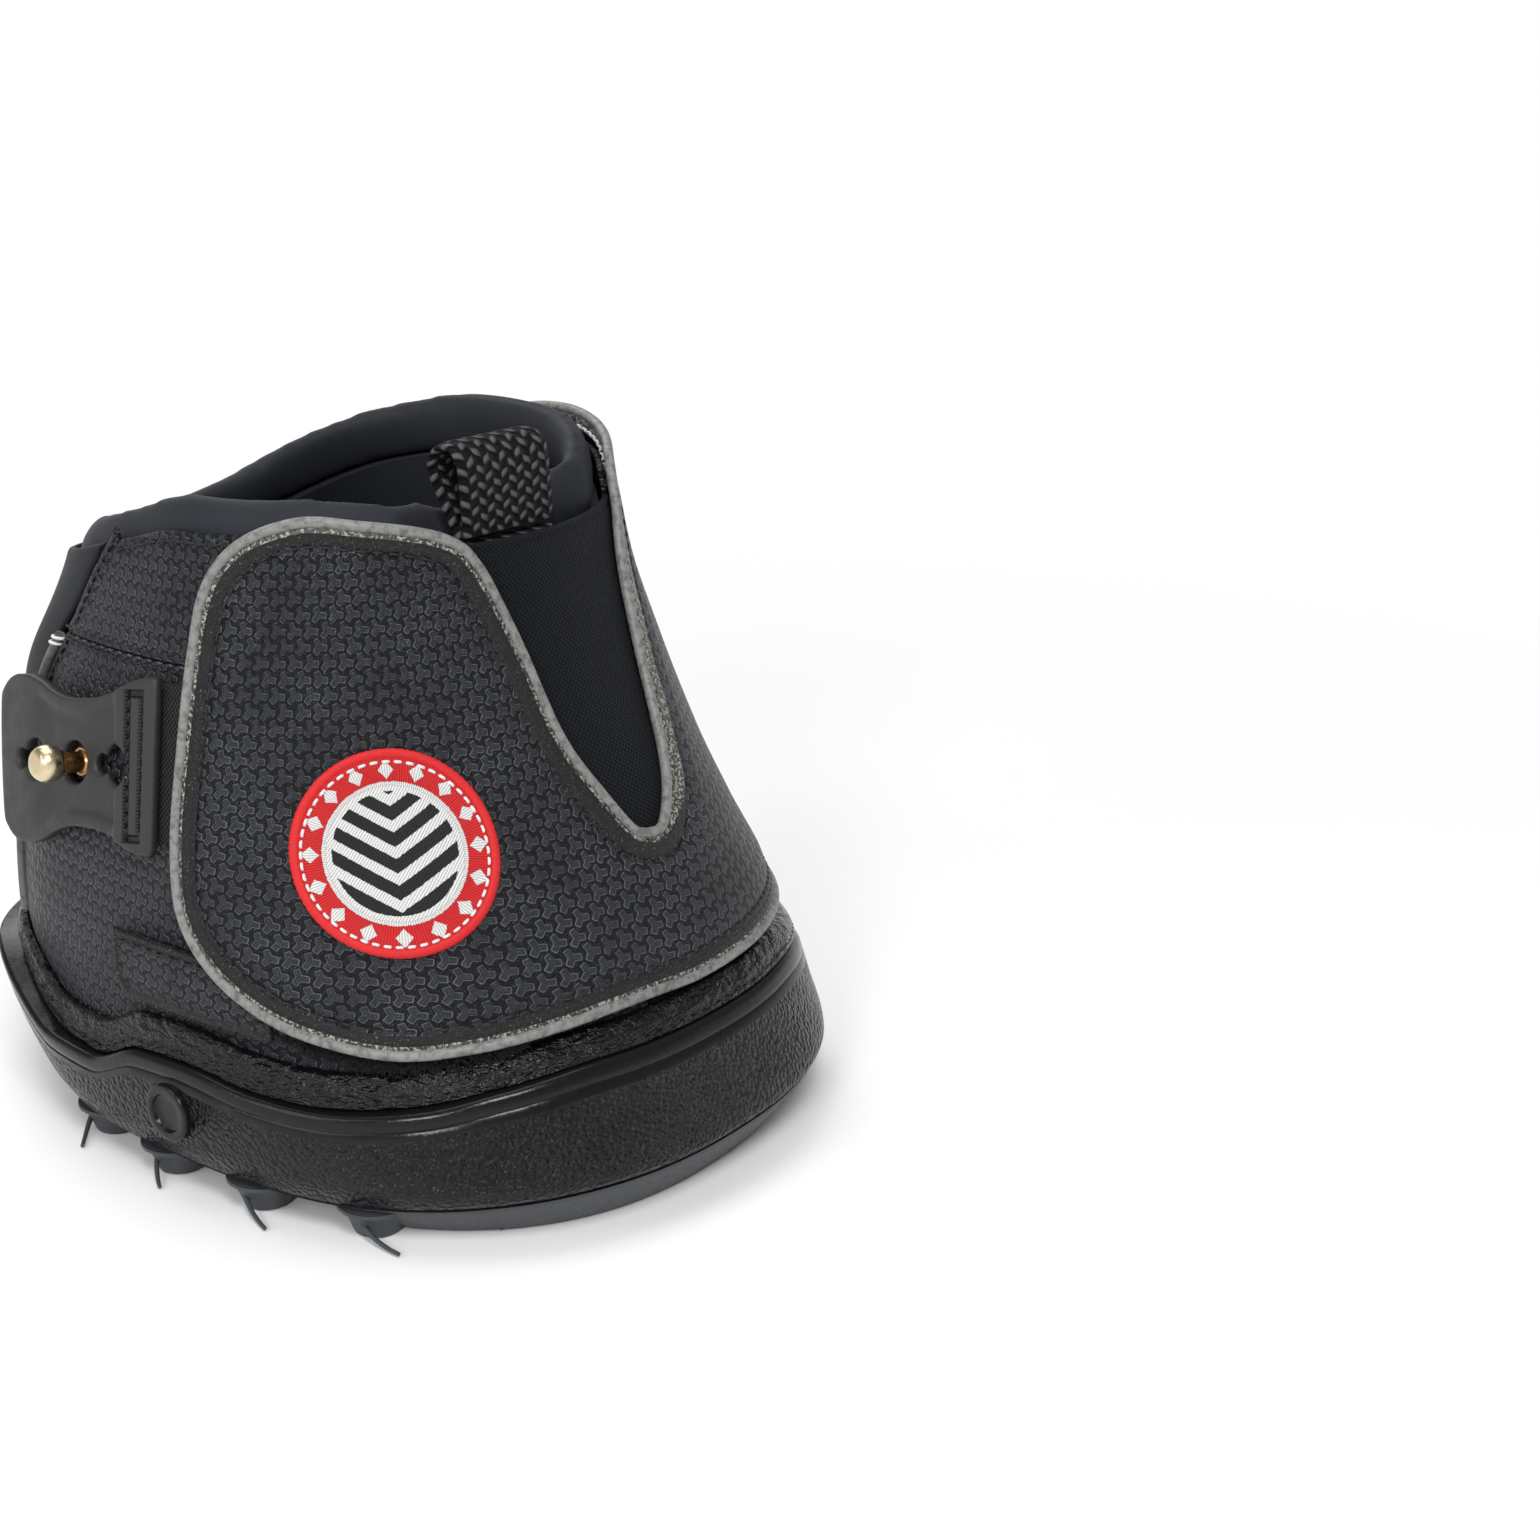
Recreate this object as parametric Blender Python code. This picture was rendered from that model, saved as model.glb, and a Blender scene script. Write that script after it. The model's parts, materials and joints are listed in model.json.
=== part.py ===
"""Horse hoof boot, left front, with an elastic front gusset and a keyhole side strap.

Metres, +Z up, toe towards -Y, outer (lateral) side towards -X.
The origin is under the middle of the sole, on the ground.

Every upper piece lies on one oval column, the last. A place on it is an angle
(0 at the toe, positive towards the lateral side, 180 at the heel), a height
above the ground and an offset outwards from the base panels' outer face.
"""
import math

import bmesh
import bpy
from mathutils import Matrix, Vector
from mathutils.geometry import delaunay_2d_cdt

# General
GAP = 0.0003                    # clearance between touching pieces
LAYER_GAP = 0.0005              # clearance between sheets that lie on each other
SHELL_STEPS = 60                # facets round a ring
ANGLE_STEP = 360 / SHELL_STEPS
HEIGHT_STEP = 0.0090            # facets up a panel
EDGE_STEP = 0.0045              # facets along a panel's edge
SLIVER = 0.001                  # smallest triangle kept, in square degrees

# Sole cup, outer wall
SOLE_SIDE_ROOM = 0.0038         # from the last's widest place out to the sole's
SOLE_TOE_ROOM = 0.0108
SOLE_HEEL_ROOM = 0.0053
SOLE_HEIGHT = 0.0340
SOLE_CENTRE_BACK = -0.0030      # widest place of the sole, back from the origin
SOLE_HEIGHT_SHARES = (0.0, 0.21, 0.41, 0.70, 1.0)
SOLE_WIDTH_SHARES = (0.892, 0.960, 0.993, 1.0, 0.993)
SOLE_TOE_SHARES = (0.913, 0.965, 1.0, 0.950, 0.900)
SOLE_HEEL_SHARES = (0.620, 0.690, 0.800, 0.925, 1.02)
SOLE_TOE_POWER = 2.35
SOLE_HEEL_POWER = 3.2

# Wall edges that follow the angle
LIP_ANGLES = (-180, -90, -60, -40, -20, 0, 20, 34, 46, 60, 180)
SIDE_ANGLES = (0, 20, 35, 46, 60, 72, 84, 96, 108, 118, 128, 140, 160, 180)
RIM_SHARES = (1.0, 1.0, 0.94, 0.86, 0.81, 0.83, 0.88, 0.86, 0.70, 0.70, 0.85, 0.99, 1.03, 1.03)
RAND_SHARES = (0.76, 0.74, 0.76, 0.86, 0.95, 1.0, 1.0, 1.0, 1.0, 1.0, 1.0, 0.95, 0.90, 0.90)
LIP_SHARES = (0.60, 0.60, 0.80, 1.0, 1.0, 0.96, 0.88, 0.77, 0.66, 0.58, 0.60)
LIP_HEIGHT = 0.0135             # lower edge of the grained wall, at the toe
CUP_FLOOR_HEIGHT = 0.0075       # underside of the cup
CUP_FLOOR_THICKNESS = 0.0048
CUP_EASE = 0.0006               # more room round the upper below the rim
CUP_FLOOR_INSET = 0.0090        # from the lip to the flat underside
RIM_ROUND = 0.0012

# Boss on the lateral wall
BOSS_ANGLE = 88
BOSS_HEIGHT = 0.0195
BOSS_RADIUS = 0.0060
BOSS_DISH_RADIUS = 0.0040
BOSS_DISH_DEPTH = 0.0008
BOSS_PROUD = 0.0013
BOSS_ROOT = 0.0020              # how far the boss reaches into the wall

# Tread under the cup
TREAD_PLATE_HEIGHT = 0.0060     # underside of the plate between the lugs
TREAD_EDGE_INSET = 0.0022       # from the lip to the lower edge of the bevel
TREAD_STEP_INSET = 0.0008       # the tread's upper edge stands back from the wall
TOE_BAR_BREADTH = 0.0150
TOE_BAR_ANGLE = 48
TOE_BAR_FADE_ANGLE = 12
LUG_RADIUS = 0.0061
LUG_FOOT_RADIUS = 0.0047
LUG_ROOT = 0.0006
LUG_SIDES = 10
LUG_INSET = 0.0074              # from the lip to the outer lugs' centres
LUG_ROW_PITCH = 0.0200          # from one row of lugs to the next, inwards
LUG_PITCH_ANGLE = 17.5
LUG_FIRST_ANGLE = 55

# Last, the outer face of the base panels
LAST_HALF_WIDTH = 0.0702
LAST_TOE_REACH = 0.0812
LAST_HEEL_REACH = 0.0797
LAST_HEIGHT = 0.1500
LAST_SIDE_SHIFT = 0.0008        # the upper leans towards the medial side
LAST_CENTRE_BACK = 0.0130       # widest place at the top, back from the origin
LAST_HEIGHT_SHARES = (0.08, 0.20, 0.28, 0.40, 0.50, 0.633, 0.733, 0.853, 1.0)
LAST_WIDTH_SHARES = (0.977, 0.996, 0.990, 0.959, 0.923, 0.866, 0.819, 0.777, 0.740)
LAST_TOE_SHARES = (1.0, 0.983, 0.940, 0.820, 0.718, 0.608, 0.544, 0.484, 0.400)
LAST_HEEL_SHARES = (0.74, 0.95, 1.020, 1.030, 1.000, 0.925, 0.840, 0.735, 0.625)
LAST_TOE_POWERS = (2.35, 2.35, 2.25, 2.05, 1.95, 1.90, 1.90, 2.00, 2.2)
LAST_HEEL_POWER = 2.9
LAST_CENTRE_SHARES = (-0.23, -0.19, -0.12, 0.05, 0.20, 0.42, 0.60, 0.80, 1.0)

# Insole, liner and collar
INSOLE_THICKNESS = 0.0044
INSOLE_INSET = 0.0006
INSOLE_FIELD_INSET = 0.0010     # the raised field keeps this far off the liner
INSOLE_FIELD_RISE = 0.0004
LINER_THICKNESS = 0.0032
LINER_ROOM = 0.0010              # between the base panels and the liner
LINER_OUTER_SHARES = (0.0, 0.07, 0.15, 0.25, 0.37, 0.51, 0.66, 0.82, 1.0)
LINER_INNER_SHARES = (1.0, 0.82, 0.51, 0.25, 0.07, 0.0)
COLLAR_HEIGHT = 0.1420          # highest place of the collar, medial side
COLLAR_THICKNESS = 0.0078
COLLAR_DEPTH = 0.0125
COLLAR_SIDES = 8
COLLAR_ANGLES = (-180, -160, -130, -95, -60, -30, 0, 30, 55, 83, 100, 130, 160, 180)
COLLAR_SHARES = (0.887, 0.925, 0.975, 1.0, 0.990, 0.950, 0.915, 0.945, 0.965, 0.965, 0.940, 0.890, 0.868, 0.887)
LOOP_ROOM = 0.0074              # the collar stands back behind the pull loop
LOOP_ROOM_ANGLE = 22
LOOP_ROOM_FADE_ANGLE = 14

# Base panels
BASE_THICKNESS = 0.0016
BASE_FOOT_HEIGHT = 0.0200
PANEL_DROP = 0.0062             # from the collar's top down to the panels' top edge
SEAM_HEIGHT = 0.1055            # stitched seam across the lateral quarter
HEEL_PUFF = 0.0030              # crown of the padded heel panel
REAR_EDGE_ANGLES = (136, 136, 133, 128, 121, 112, 100)
REAR_EDGE_SHARES = (0.0, 0.30, 0.49, 0.66, 0.76, 0.88, 1.0)
REAR_EDGE_HEIGHT = 0.1320       # where the quarter's rear edge meets its top edge
HEEL_PIPING_TOP_HEIGHT = 0.1045

# Gusset in the front
GUSSET_TIP_HEIGHT = 0.0680
GUSSET_TOP_HEIGHT = 0.1270
GUSSET_THICKNESS = 0.0014
GUSSET_LAP_ANGLE = 5            # hidden under the cover and the wing
GUSSET_ROOT_ANGLE = 8

# Front cover and wing, with piped edges
COVER_THICKNESS = 0.0016
PIPING_RADIUS = 0.0011
PIPING_SIDES = 6
COVER_FOOT_HEIGHT = 0.0413
COVER_TOP_HEIGHT = 0.1345
HINGE_ANGLE = -1
HINGE_GAP = 0.0012
HINGE_PROUD = 0.0012            # the fold line lies this far outside the cover
WING_EDGE_SHARES = (
    (4.0, 0.15), (9.4, 0.35), (13.6, 0.65), (18.0, 0.86), (21.0, 0.96))
WING_TOP_SHARES = (
    (24.5, 0.935), (31.6, 0.966), (43.5, 0.989), (54.9, 1.0), (66.6, 0.955), (74.3, 0.863), (78.4, 0.721))
WING_REAR_SHARES = (
    (81.3, 0.521), (82.9, 0.338), (81.7, 0.20), (75.7, 0.103), (66.3, 0.034), (57.3, 0.0))
WING_FOOT_SHARES = ((47.8, -0.018), (37.2, -0.009), (19.6, 0.013))
COVER_EDGE_SHARES = (
    (-6.5, -0.01), (-11.2, 0.04), (-17.0, 0.15), (-22.5, 0.34), (-28.0, 0.60), (-34.0, 0.865), (-38.5, 0.965))
COVER_TOP_SHARES = ((-44, 1.0), (-52, 1.03), (-63, 1.05), (-78, 1.06), (-93, 1.04), (-102, 0.96))
COVER_REAR_SHARES = (
    (-106, 0.80), (-107, 0.60), (-107, 0.40), (-106, 0.20), (-103, 0.08), (-96, 0.01), (-84, 0.0))
COVER_FOOT_SHARES = ((-60, 0.0), (-36, 0.0), (-16, 0.0))

# Hook-and-loop closure under the wing
LOOP_PATCH_THICKNESS = 0.0007
HOOK_PATCH_THICKNESS = 0.0008
PATCH_FIRST_ANGLE = 30
PATCH_LAST_ANGLE = 64
PATCH_FOOT_HEIGHT = 0.0400
PATCH_TOP_HEIGHT = 0.1200
HOOK_INSET_ANGLE = 4
HOOK_INSET = 0.0060
WING_RISE_FIRST_ANGLE = 6
WING_RISE_LAST_ANGLE = 26

# Reinforcing strip low on the lateral quarter
STRIP_FIRST_ANGLE = 67
STRIP_LAST_ANGLE = 102
STRIP_FOOT_HEIGHT = 0.0392
STRIP_BREADTH = 0.0130
STRIP_THICKNESS = 0.0014

# Rand over the joint of cup and upper
RAND_BREADTH = 0.0072
RAND_FOOT_OUT = 0.0032
RAND_BELLY_OUT = 0.0030
RAND_TOP_OUT = 0.0014

# Badge
BADGE_ANGLE = 45.5
BADGE_HEIGHT = 0.0750
BADGE_RADIUS = 0.0172
BADGE_THICKNESS = 0.0008
BADGE_STEPS = 36

# Pull loop
LOOP_WIDTH = 0.0255
LOOP_WEB = 0.0019
LOOP_LENGTH = 0.0195
LOOP_EYE_RADIUS = 0.0034        # inside radius of the fold at the top
LOOP_LEAN_ANGLE = 16            # backwards from upright
LOOP_SIDE_SHIFT = -0.0030
LOOP_TAIL_LENGTH = 0.0062
LOOP_STEPS = 8

# Side strap
STRAP_AXIS_ANGLE = 85.2
STRAP_HEIGHT = 0.0876           # middle of the strap at the axis
STRAP_AXIS_DROP = 0.0136        # ends of the fold line the strap swings about
STRAP_AXIS_RISE = 0.0144
STRAP_SLOPE_ANGLE = 10
ELASTIC_WIDTH = 0.0300
ELASTIC_THICKNESS = 0.0016
ANCHOR_FIRST_ANGLE = 70
ELASTIC_LENGTH = 0.0105
TAB_BEND_RADIUS = 0.2000        # the tab is almost flat
TAB_LENGTH = 0.0565
TAB_STUD_REACH = 0.0268         # from the tab's front lip to the stud
TAB_BASE_OUT = 0.0010           # underside, out from the quarter at the stud
TAB_REBATE = 0.0016             # the elastic's end lies in this
TAB_REBATE_LENGTH = 0.0105
TAB_END_WIDTH = 0.0348
TAB_WAIST_WIDTH = 0.0256
TAB_THICKNESS = 0.0026
TAB_LIP_THICKNESS = 0.0036
TAB_LIP_LENGTH = 0.0110
TAB_SLOT_DEPTH = 0.0009         # stitched channel behind the lip
TAB_SLOT_START = 0.0030
TAB_SLOT_WIDTH = 0.0056
TAB_SLOT_LENGTH = 0.0300
TAB_RIB_WIDTH = 0.0026
TAB_FIELD_DEPTH = 0.0008        # the middle lies below the raised rim
TAB_SKEW = 0.0013               # the front lip stands a little out of square
TAB_OUTLINE_SHARES = (
    (0.0, 1.0), (0.06, 0.97), (0.13, 0.78), (0.24, 0.30), (0.36, 0.04), (0.47, 0.0), (0.58, 0.24),
    (0.69, 0.76), (0.78, 0.98), (0.86, 0.96), (0.93, 0.66), (0.975, 0.22))
KEYHOLE_PITCH = 0.0144
KEYHOLE_RADIUS = 0.0046
KEYHOLE_NARROW_RADIUS = 0.0023
KEYHOLE_REACH = 0.0050          # from the wide centre to the narrow centre
KEYHOLE_STEPS = 16

# Brass stud
STUD_HEAD_RADIUS = 0.0038
STUD_NECK_RADIUS = 0.0016
STUD_HEAD_OUT = 0.0088          # head's centre, out from the quarter
STUD_FLANGE_RADIUS = 0.0030
STUD_FLANGE_THICKNESS = 0.0010
STUD_FROM_AXIS = 0.0310         # from the strap's fold line back to the stud
STUD_DROP = 0.0052              # below the strap's middle at the axis
STUD_STEPS = 16
NUT_RADIUS = 0.0045
NUT_THICKNESS = 0.0009
NUT_ROOM = 0.0030               # the liner gives way to the nut
NUT_ROOM_RADIUS = 0.0260

METRES_PER_DEGREE = math.radians(LAST_HALF_WIDTH)
SOLE_HALF_WIDTH = LAST_HALF_WIDTH + SOLE_SIDE_ROOM
SOLE_TOE_REACH = LAST_TOE_REACH + SOLE_TOE_ROOM
SOLE_HEEL_REACH = LAST_HEEL_REACH + SOLE_HEEL_ROOM
STRAP_LOW_HEIGHT = STRAP_HEIGHT - STRAP_AXIS_DROP
STRAP_HIGH_HEIGHT = STRAP_HEIGHT + STRAP_AXIS_RISE
STUD_ANGLE = STRAP_AXIS_ANGLE + STUD_FROM_AXIS / METRES_PER_DEGREE
STUD_HEIGHT = STRAP_HEIGHT - STUD_DROP
ELASTIC_OUT = LAYER_GAP + ELASTIC_THICKNESS
LOOP_PATCH_OUT = LAYER_GAP + LOOP_PATCH_THICKNESS
HOOK_PATCH_OUT = LOOP_PATCH_OUT + LAYER_GAP + HOOK_PATCH_THICKNESS
WING_STANDOFF = HOOK_PATCH_OUT + LAYER_GAP
CUP_INNER_FLOOR = CUP_FLOOR_HEIGHT + CUP_FLOOR_THICKNESS
INSOLE_TOP = CUP_INNER_FLOOR + GAP + INSOLE_THICKNESS


def clean_scene():
    for item in list(bpy.data.objects):
        bpy.data.objects.remove(item, do_unlink=True)


# Interpolation

def smooth(value, knots, values):
    """Monotone cubic through a table, level beyond its ends."""
    if value <= knots[0]:
        return values[0]
    if value >= knots[-1]:
        return values[-1]
    steps = [b - a for a, b in zip(knots, knots[1:])]
    rises = [(b - a) / s for a, b, s in zip(values, values[1:], steps)]
    slopes = [rises[0]]
    for before, after, rise, climb in zip(steps, steps[1:], rises, rises[1:]):
        if rise * climb <= 0:
            slopes.append(0)
        else:
            first = 2 * after + before
            second = after + 2 * before
            slopes.append((first + second) / (first / rise + second / climb))
    slopes.append(rises[-1])
    place = max(i for i in range(len(steps)) if knots[i] <= value)
    step = steps[place]
    t = (value - knots[place]) / step
    return (
        (2 * t ** 3 - 3 * t ** 2 + 1) * values[place]
        + (t ** 3 - 2 * t ** 2 + t) * step * slopes[place]
        + (3 * t ** 2 - 2 * t ** 3) * values[place + 1]
        + (t ** 3 - t ** 2) * step * slopes[place + 1])


def ease(value, low, high):
    t = min(max((value - low) / (high - low), 0), 1)
    return t * t * (3 - 2 * t)


def around(angle):
    """The angle brought between -180 and 180."""
    return (angle + 180) % 360 - 180


# The two oval columns

def oval(half_width, toe, heel, powers, centre, shift, angle, offset):
    """Place in plan on an oval, moved outwards square to it by the offset."""
    turn = math.radians(angle)
    across = -math.sin(turn)
    along = -math.cos(turn)
    reach = toe + centre if along < 0 else heel - centre
    power = powers[0] if along < 0 else powers[1]
    radius = ((abs(across) / half_width) ** power + (abs(along) / reach) ** power) ** (-1 / power)
    x = radius * across
    y = radius * along
    normal_x = math.copysign((abs(x) / half_width) ** (power - 1) / half_width, x)
    normal_y = math.copysign((abs(y) / reach) ** (power - 1) / reach, y)
    size = math.hypot(normal_x, normal_y)
    return shift + x + offset * normal_x / size, centre + y + offset * normal_y / size


def sole_point(angle, height, offset=0):
    share = height / SOLE_HEIGHT
    half_width = SOLE_HALF_WIDTH * smooth(share, SOLE_HEIGHT_SHARES, SOLE_WIDTH_SHARES)
    toe = SOLE_TOE_REACH * smooth(share, SOLE_HEIGHT_SHARES, SOLE_TOE_SHARES)
    heel = SOLE_HEEL_REACH * smooth(share, SOLE_HEIGHT_SHARES, SOLE_HEEL_SHARES)
    powers = (SOLE_TOE_POWER, SOLE_HEEL_POWER)
    x, y = oval(half_width, toe, heel, powers, SOLE_CENTRE_BACK, 0, angle, offset)
    return Vector((x, y, height))


def last_point(angle, height, offset=0):
    share = height / LAST_HEIGHT
    half_width = LAST_HALF_WIDTH * smooth(share, LAST_HEIGHT_SHARES, LAST_WIDTH_SHARES)
    toe = LAST_TOE_REACH * smooth(share, LAST_HEIGHT_SHARES, LAST_TOE_SHARES)
    heel = LAST_HEEL_REACH * smooth(share, LAST_HEIGHT_SHARES, LAST_HEEL_SHARES)
    centre = LAST_CENTRE_BACK * smooth(share, LAST_HEIGHT_SHARES, LAST_CENTRE_SHARES)
    powers = (smooth(share, LAST_HEIGHT_SHARES, LAST_TOE_POWERS), LAST_HEEL_POWER)
    x, y = oval(half_width, toe, heel, powers, centre, LAST_SIDE_SHIFT, angle, offset)
    return Vector((x, y, height))


def rim_height(angle):
    return SOLE_HEIGHT * smooth(abs(around(angle)), SIDE_ANGLES, RIM_SHARES)


def rand_height(angle):
    breadth = RAND_BREADTH * smooth(abs(around(angle)), SIDE_ANGLES, RAND_SHARES)
    return rim_height(angle) + breadth


def lip_height(angle):
    return LIP_HEIGHT * smooth(around(angle), LIP_ANGLES, LIP_SHARES)


def collar_height(angle):
    return COLLAR_HEIGHT * smooth(around(angle), COLLAR_ANGLES, COLLAR_SHARES)


# Solids

def make_object(name, points, faces, material, smooth_angle=40):
    mesh = bpy.data.meshes.new(name)
    mesh.from_pydata([tuple(point) for point in points], [], faces)
    form = bmesh.new()
    form.from_mesh(mesh)
    bmesh.ops.recalc_face_normals(form, faces=form.faces)
    form.to_mesh(mesh)
    form.free()
    mesh.shade_smooth()
    mesh.set_sharp_from_angle(angle=math.radians(smooth_angle))
    mesh.materials.append(material)
    item = bpy.data.objects.new(name, mesh)
    bpy.context.scene.collection.objects.link(item)
    return item


def bowl(rows):
    """Closed body from rows of points; the first and last rows close in one point."""
    count = len(rows[1])
    points = [rows[0][0]]
    for row in rows[1:-1]:
        points.extend(row)
    points.append(rows[-1][0])
    faces = []
    for i in range(count):
        faces.append((0, 1 + (i + 1) % count, 1 + i))
    for level in range(len(rows) - 3):
        base = 1 + level * count
        for i in range(count):
            j = (i + 1) % count
            faces.append((base + i, base + j, base + count + j, base + count + i))
    base = 1 + (len(rows) - 3) * count
    top = len(points) - 1
    for i in range(count):
        faces.append((base + i, base + (i + 1) % count, top))
    return points, faces


def ring(sections):
    """Closed body from sections, each a closed loop of points, set round a circle."""
    count = len(sections)
    size = len(sections[0])
    points = [point for section in sections for point in section]
    faces = []
    for i in range(count):
        j = (i + 1) % count
        for a in range(size):
            b = (a + 1) % size
            faces.append((i * size + a, j * size + a, j * size + b, i * size + b))
    return points, faces


def ring_angles():
    return [ANGLE_STEP * i for i in range(SHELL_STEPS)]


def tube(path, normals, radius, sides, closed=False):
    """Round bar along a path; the normals say which way is outwards."""
    count = len(path)
    points = []
    for i, place in enumerate(path):
        before = path[i - 1] if closed or i else path[i]
        after = path[(i + 1) % count] if closed or i < count - 1 else path[i]
        along = (after - before).normalized()
        side = along.cross(normals[i]).normalized()
        out = side.cross(along)
        for k in range(sides):
            turn = 2 * math.pi * k / sides
            points.append(place + radius * (math.cos(turn) * side + math.sin(turn) * out))
    faces = []
    for i in range(count if closed else count - 1):
        j = (i + 1) % count
        for k in range(sides):
            m = (k + 1) % sides
            faces.append((i * sides + k, i * sides + m, j * sides + m, j * sides + k))
    if not closed:
        faces.append(tuple(reversed(range(sides))))
        faces.append(tuple(range((count - 1) * sides, count * sides)))
    return points, faces


# Outlines in angle and height

def flat(place):
    """Angle and height as two lengths in degrees, for measuring on the flat."""
    return Vector((place[0], place[1] / METRES_PER_DEGREE))


def curve(knots, closed=False):
    """Smooth line through places, with a point about every edge step."""
    count = len(knots)
    result = []
    for i in range(count if closed else count - 1):
        a = knots[i - 1] if closed or i else knots[i]
        b = knots[i]
        c = knots[(i + 1) % count]
        d = knots[(i + 2) % count] if closed or i < count - 2 else c
        span = (flat(c) - flat(b)).length * METRES_PER_DEGREE
        steps = max(1, round(span / EDGE_STEP))
        for k in range(steps):
            t = k / steps
            weights = (
                (-t + 2 * t * t - t ** 3) / 2, (2 - 5 * t * t + 3 * t ** 3) / 2,
                (t + 4 * t * t - 3 * t ** 3) / 2, (t ** 3 - t * t) / 2)
            result.append(tuple(
                sum(w * p[axis] for w, p in zip(weights, (a, b, c, d))) for axis in (0, 1)))
    if not closed:
        result.append(tuple(knots[-1]))
    return result


def straight(knots):
    """Points about every edge step along straight lines, all but the last knot."""
    result = []
    for a, b in zip(knots, knots[1:]):
        span = (flat(b) - flat(a)).length * METRES_PER_DEGREE
        steps = max(1, round(span / EDGE_STEP))
        for k in range(steps):
            t = k / steps
            result.append((a[0] + t * (b[0] - a[0]), a[1] + t * (b[1] - a[1])))
    return result


def outward(angle, height):
    """Outward direction of the last's surface."""
    nudge = HEIGHT_STEP / SHELL_STEPS
    turn = (last_point(angle + 1, height) - last_point(angle - 1, height)).normalized()
    rise = (last_point(angle, height + nudge) - last_point(angle, height - nudge)).normalized()
    return rise.cross(turn).normalized()


def shift_path(path, distance, closed=False):
    """The path moved sideways over the last; positive is to the right of travel."""
    count = len(path)
    result = []
    for i, (angle, height) in enumerate(path):
        before = path[i - 1] if closed or i else path[i]
        after = path[(i + 1) % count] if closed or i < count - 1 else path[i]
        along = last_point(*after) - last_point(*before)
        side = along.cross(outward(angle, height)).normalized()
        turn = last_point(angle + 1, height) - last_point(angle - 1, height)
        nudge = HEIGHT_STEP / SHELL_STEPS
        rise = (last_point(angle, height + nudge) - last_point(angle, height - nudge)) / (2 * nudge)
        level = side - rise * side.z
        angle_move = 2 * level.dot(turn) / turn.length_squared
        result.append((angle + distance * angle_move, height + distance * side.z))
    return result


def inside(place, outline):
    x, y = place
    hit = False
    for (ax, ay), (bx, by) in zip(outline, outline[1:] + outline[:1]):
        if (ay > y) != (by > y) and x < (bx - ax) * (y - ay) / (by - ay) + ax:
            hit = not hit
    return hit


def edge_distance(place, outline):
    best = None
    for a, b in zip(outline, outline[1:] + outline[:1]):
        a = Vector(a)
        span = Vector(b) - a
        t = min(max((place - a).dot(span) / max(span.length_squared, 1e-9), 0), 1)
        reach = (place - a - t * span).length
        if best is None or reach < best:
            best = reach
    return best


def value_at(value, angle, height):
    return value(angle, height) if callable(value) else value


def panel(name, outline, inner, outer, material, holes=(), place=last_point, mesh_step=1):
    """Curved sheet with an outline and holes, from an inner to an outer offset."""
    loops = [[tuple(flat(p)) for p in loop] for loop in (outline, *holes)]
    coords = []
    edges = []
    for loop in loops:
        first = len(coords)
        coords.extend(Vector(p) for p in loop)
        edges.extend((first + i, first + (i + 1) % len(loop)) for i in range(len(loop)))
    column_step = ANGLE_STEP * mesh_step
    row_step = HEIGHT_STEP / METRES_PER_DEGREE * mesh_step
    margin = min(column_step, row_step) * 0.45
    low_x = min(p[0] for p in loops[0])
    high_x = max(p[0] for p in loops[0])
    low_y = min(p[1] for p in loops[0])
    high_y = max(p[1] for p in loops[0])
    for column in range(math.ceil(low_x / column_step), math.floor(high_x / column_step) + 1):
        for row in range(math.ceil(low_y / row_step), math.floor(high_y / row_step) + 1):
            spot = Vector((column * column_step, row * row_step))
            if not inside(spot, loops[0]) or any(inside(spot, loop) for loop in loops[1:]):
                continue
            if min(edge_distance(spot, loop) for loop in loops) > margin:
                coords.append(spot)
    flat_points, _, triangles, _, _, _ = delaunay_2d_cdt(coords, edges, [], 0, 1e-6)
    kept = []
    for triangle in triangles:
        a, b, c = (flat_points[i] for i in triangle)
        middle = (a + b + c) / 3
        if inside(middle, loops[0]) and not any(inside(middle, loop) for loop in loops[1:]):
            if abs((b - a).cross(c - a)) < SLIVER:
                continue
            if (b - a).cross(c - a) < 0:
                triangle = tuple(reversed(triangle))
            kept.append(tuple(triangle))
    used = sorted({i for triangle in kept for i in triangle})
    number = {old: new for new, old in enumerate(used)}
    places = [(flat_points[i].x, flat_points[i].y * METRES_PER_DEGREE) for i in used]
    count = len(places)
    points = [place(a, h, value_at(outer, a, h)) for a, h in places]
    points += [place(a, h, value_at(inner, a, h)) for a, h in places]
    faces = []
    borders = {}
    for triangle in kept:
        a, b, c = (number[i] for i in triangle)
        faces.append((a, c, b))
        faces.append((a + count, b + count, c + count))
        for pair in ((a, b), (b, c), (c, a)):
            if (pair[1], pair[0]) in borders:
                del borders[(pair[1], pair[0])]
            else:
                borders[pair] = True
    for a, b in borders:
        faces.append((a, b, b + count, a + count))
    return make_object(name, points, faces, material)


def piping(name, path, offset, material, closed=False):
    centres = [last_point(a, h, value_at(offset, a, h)) for a, h in path]
    normals = [outward(a, h) for a, h in path]
    points, faces = tube(centres, normals, PIPING_RADIUS, PIPING_SIDES, closed)
    return make_object(name, points, faces, material)


def combine(target, tool, operation):
    """Cut or join a helper into a target and drop the helper."""
    change = target.modifiers.new(operation.title(), 'BOOLEAN')
    change.operation = operation
    change.solver = 'EXACT'
    change.object = tool
    tool.hide_render = True
    tool.display_type = 'WIRE'
    return change


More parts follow.
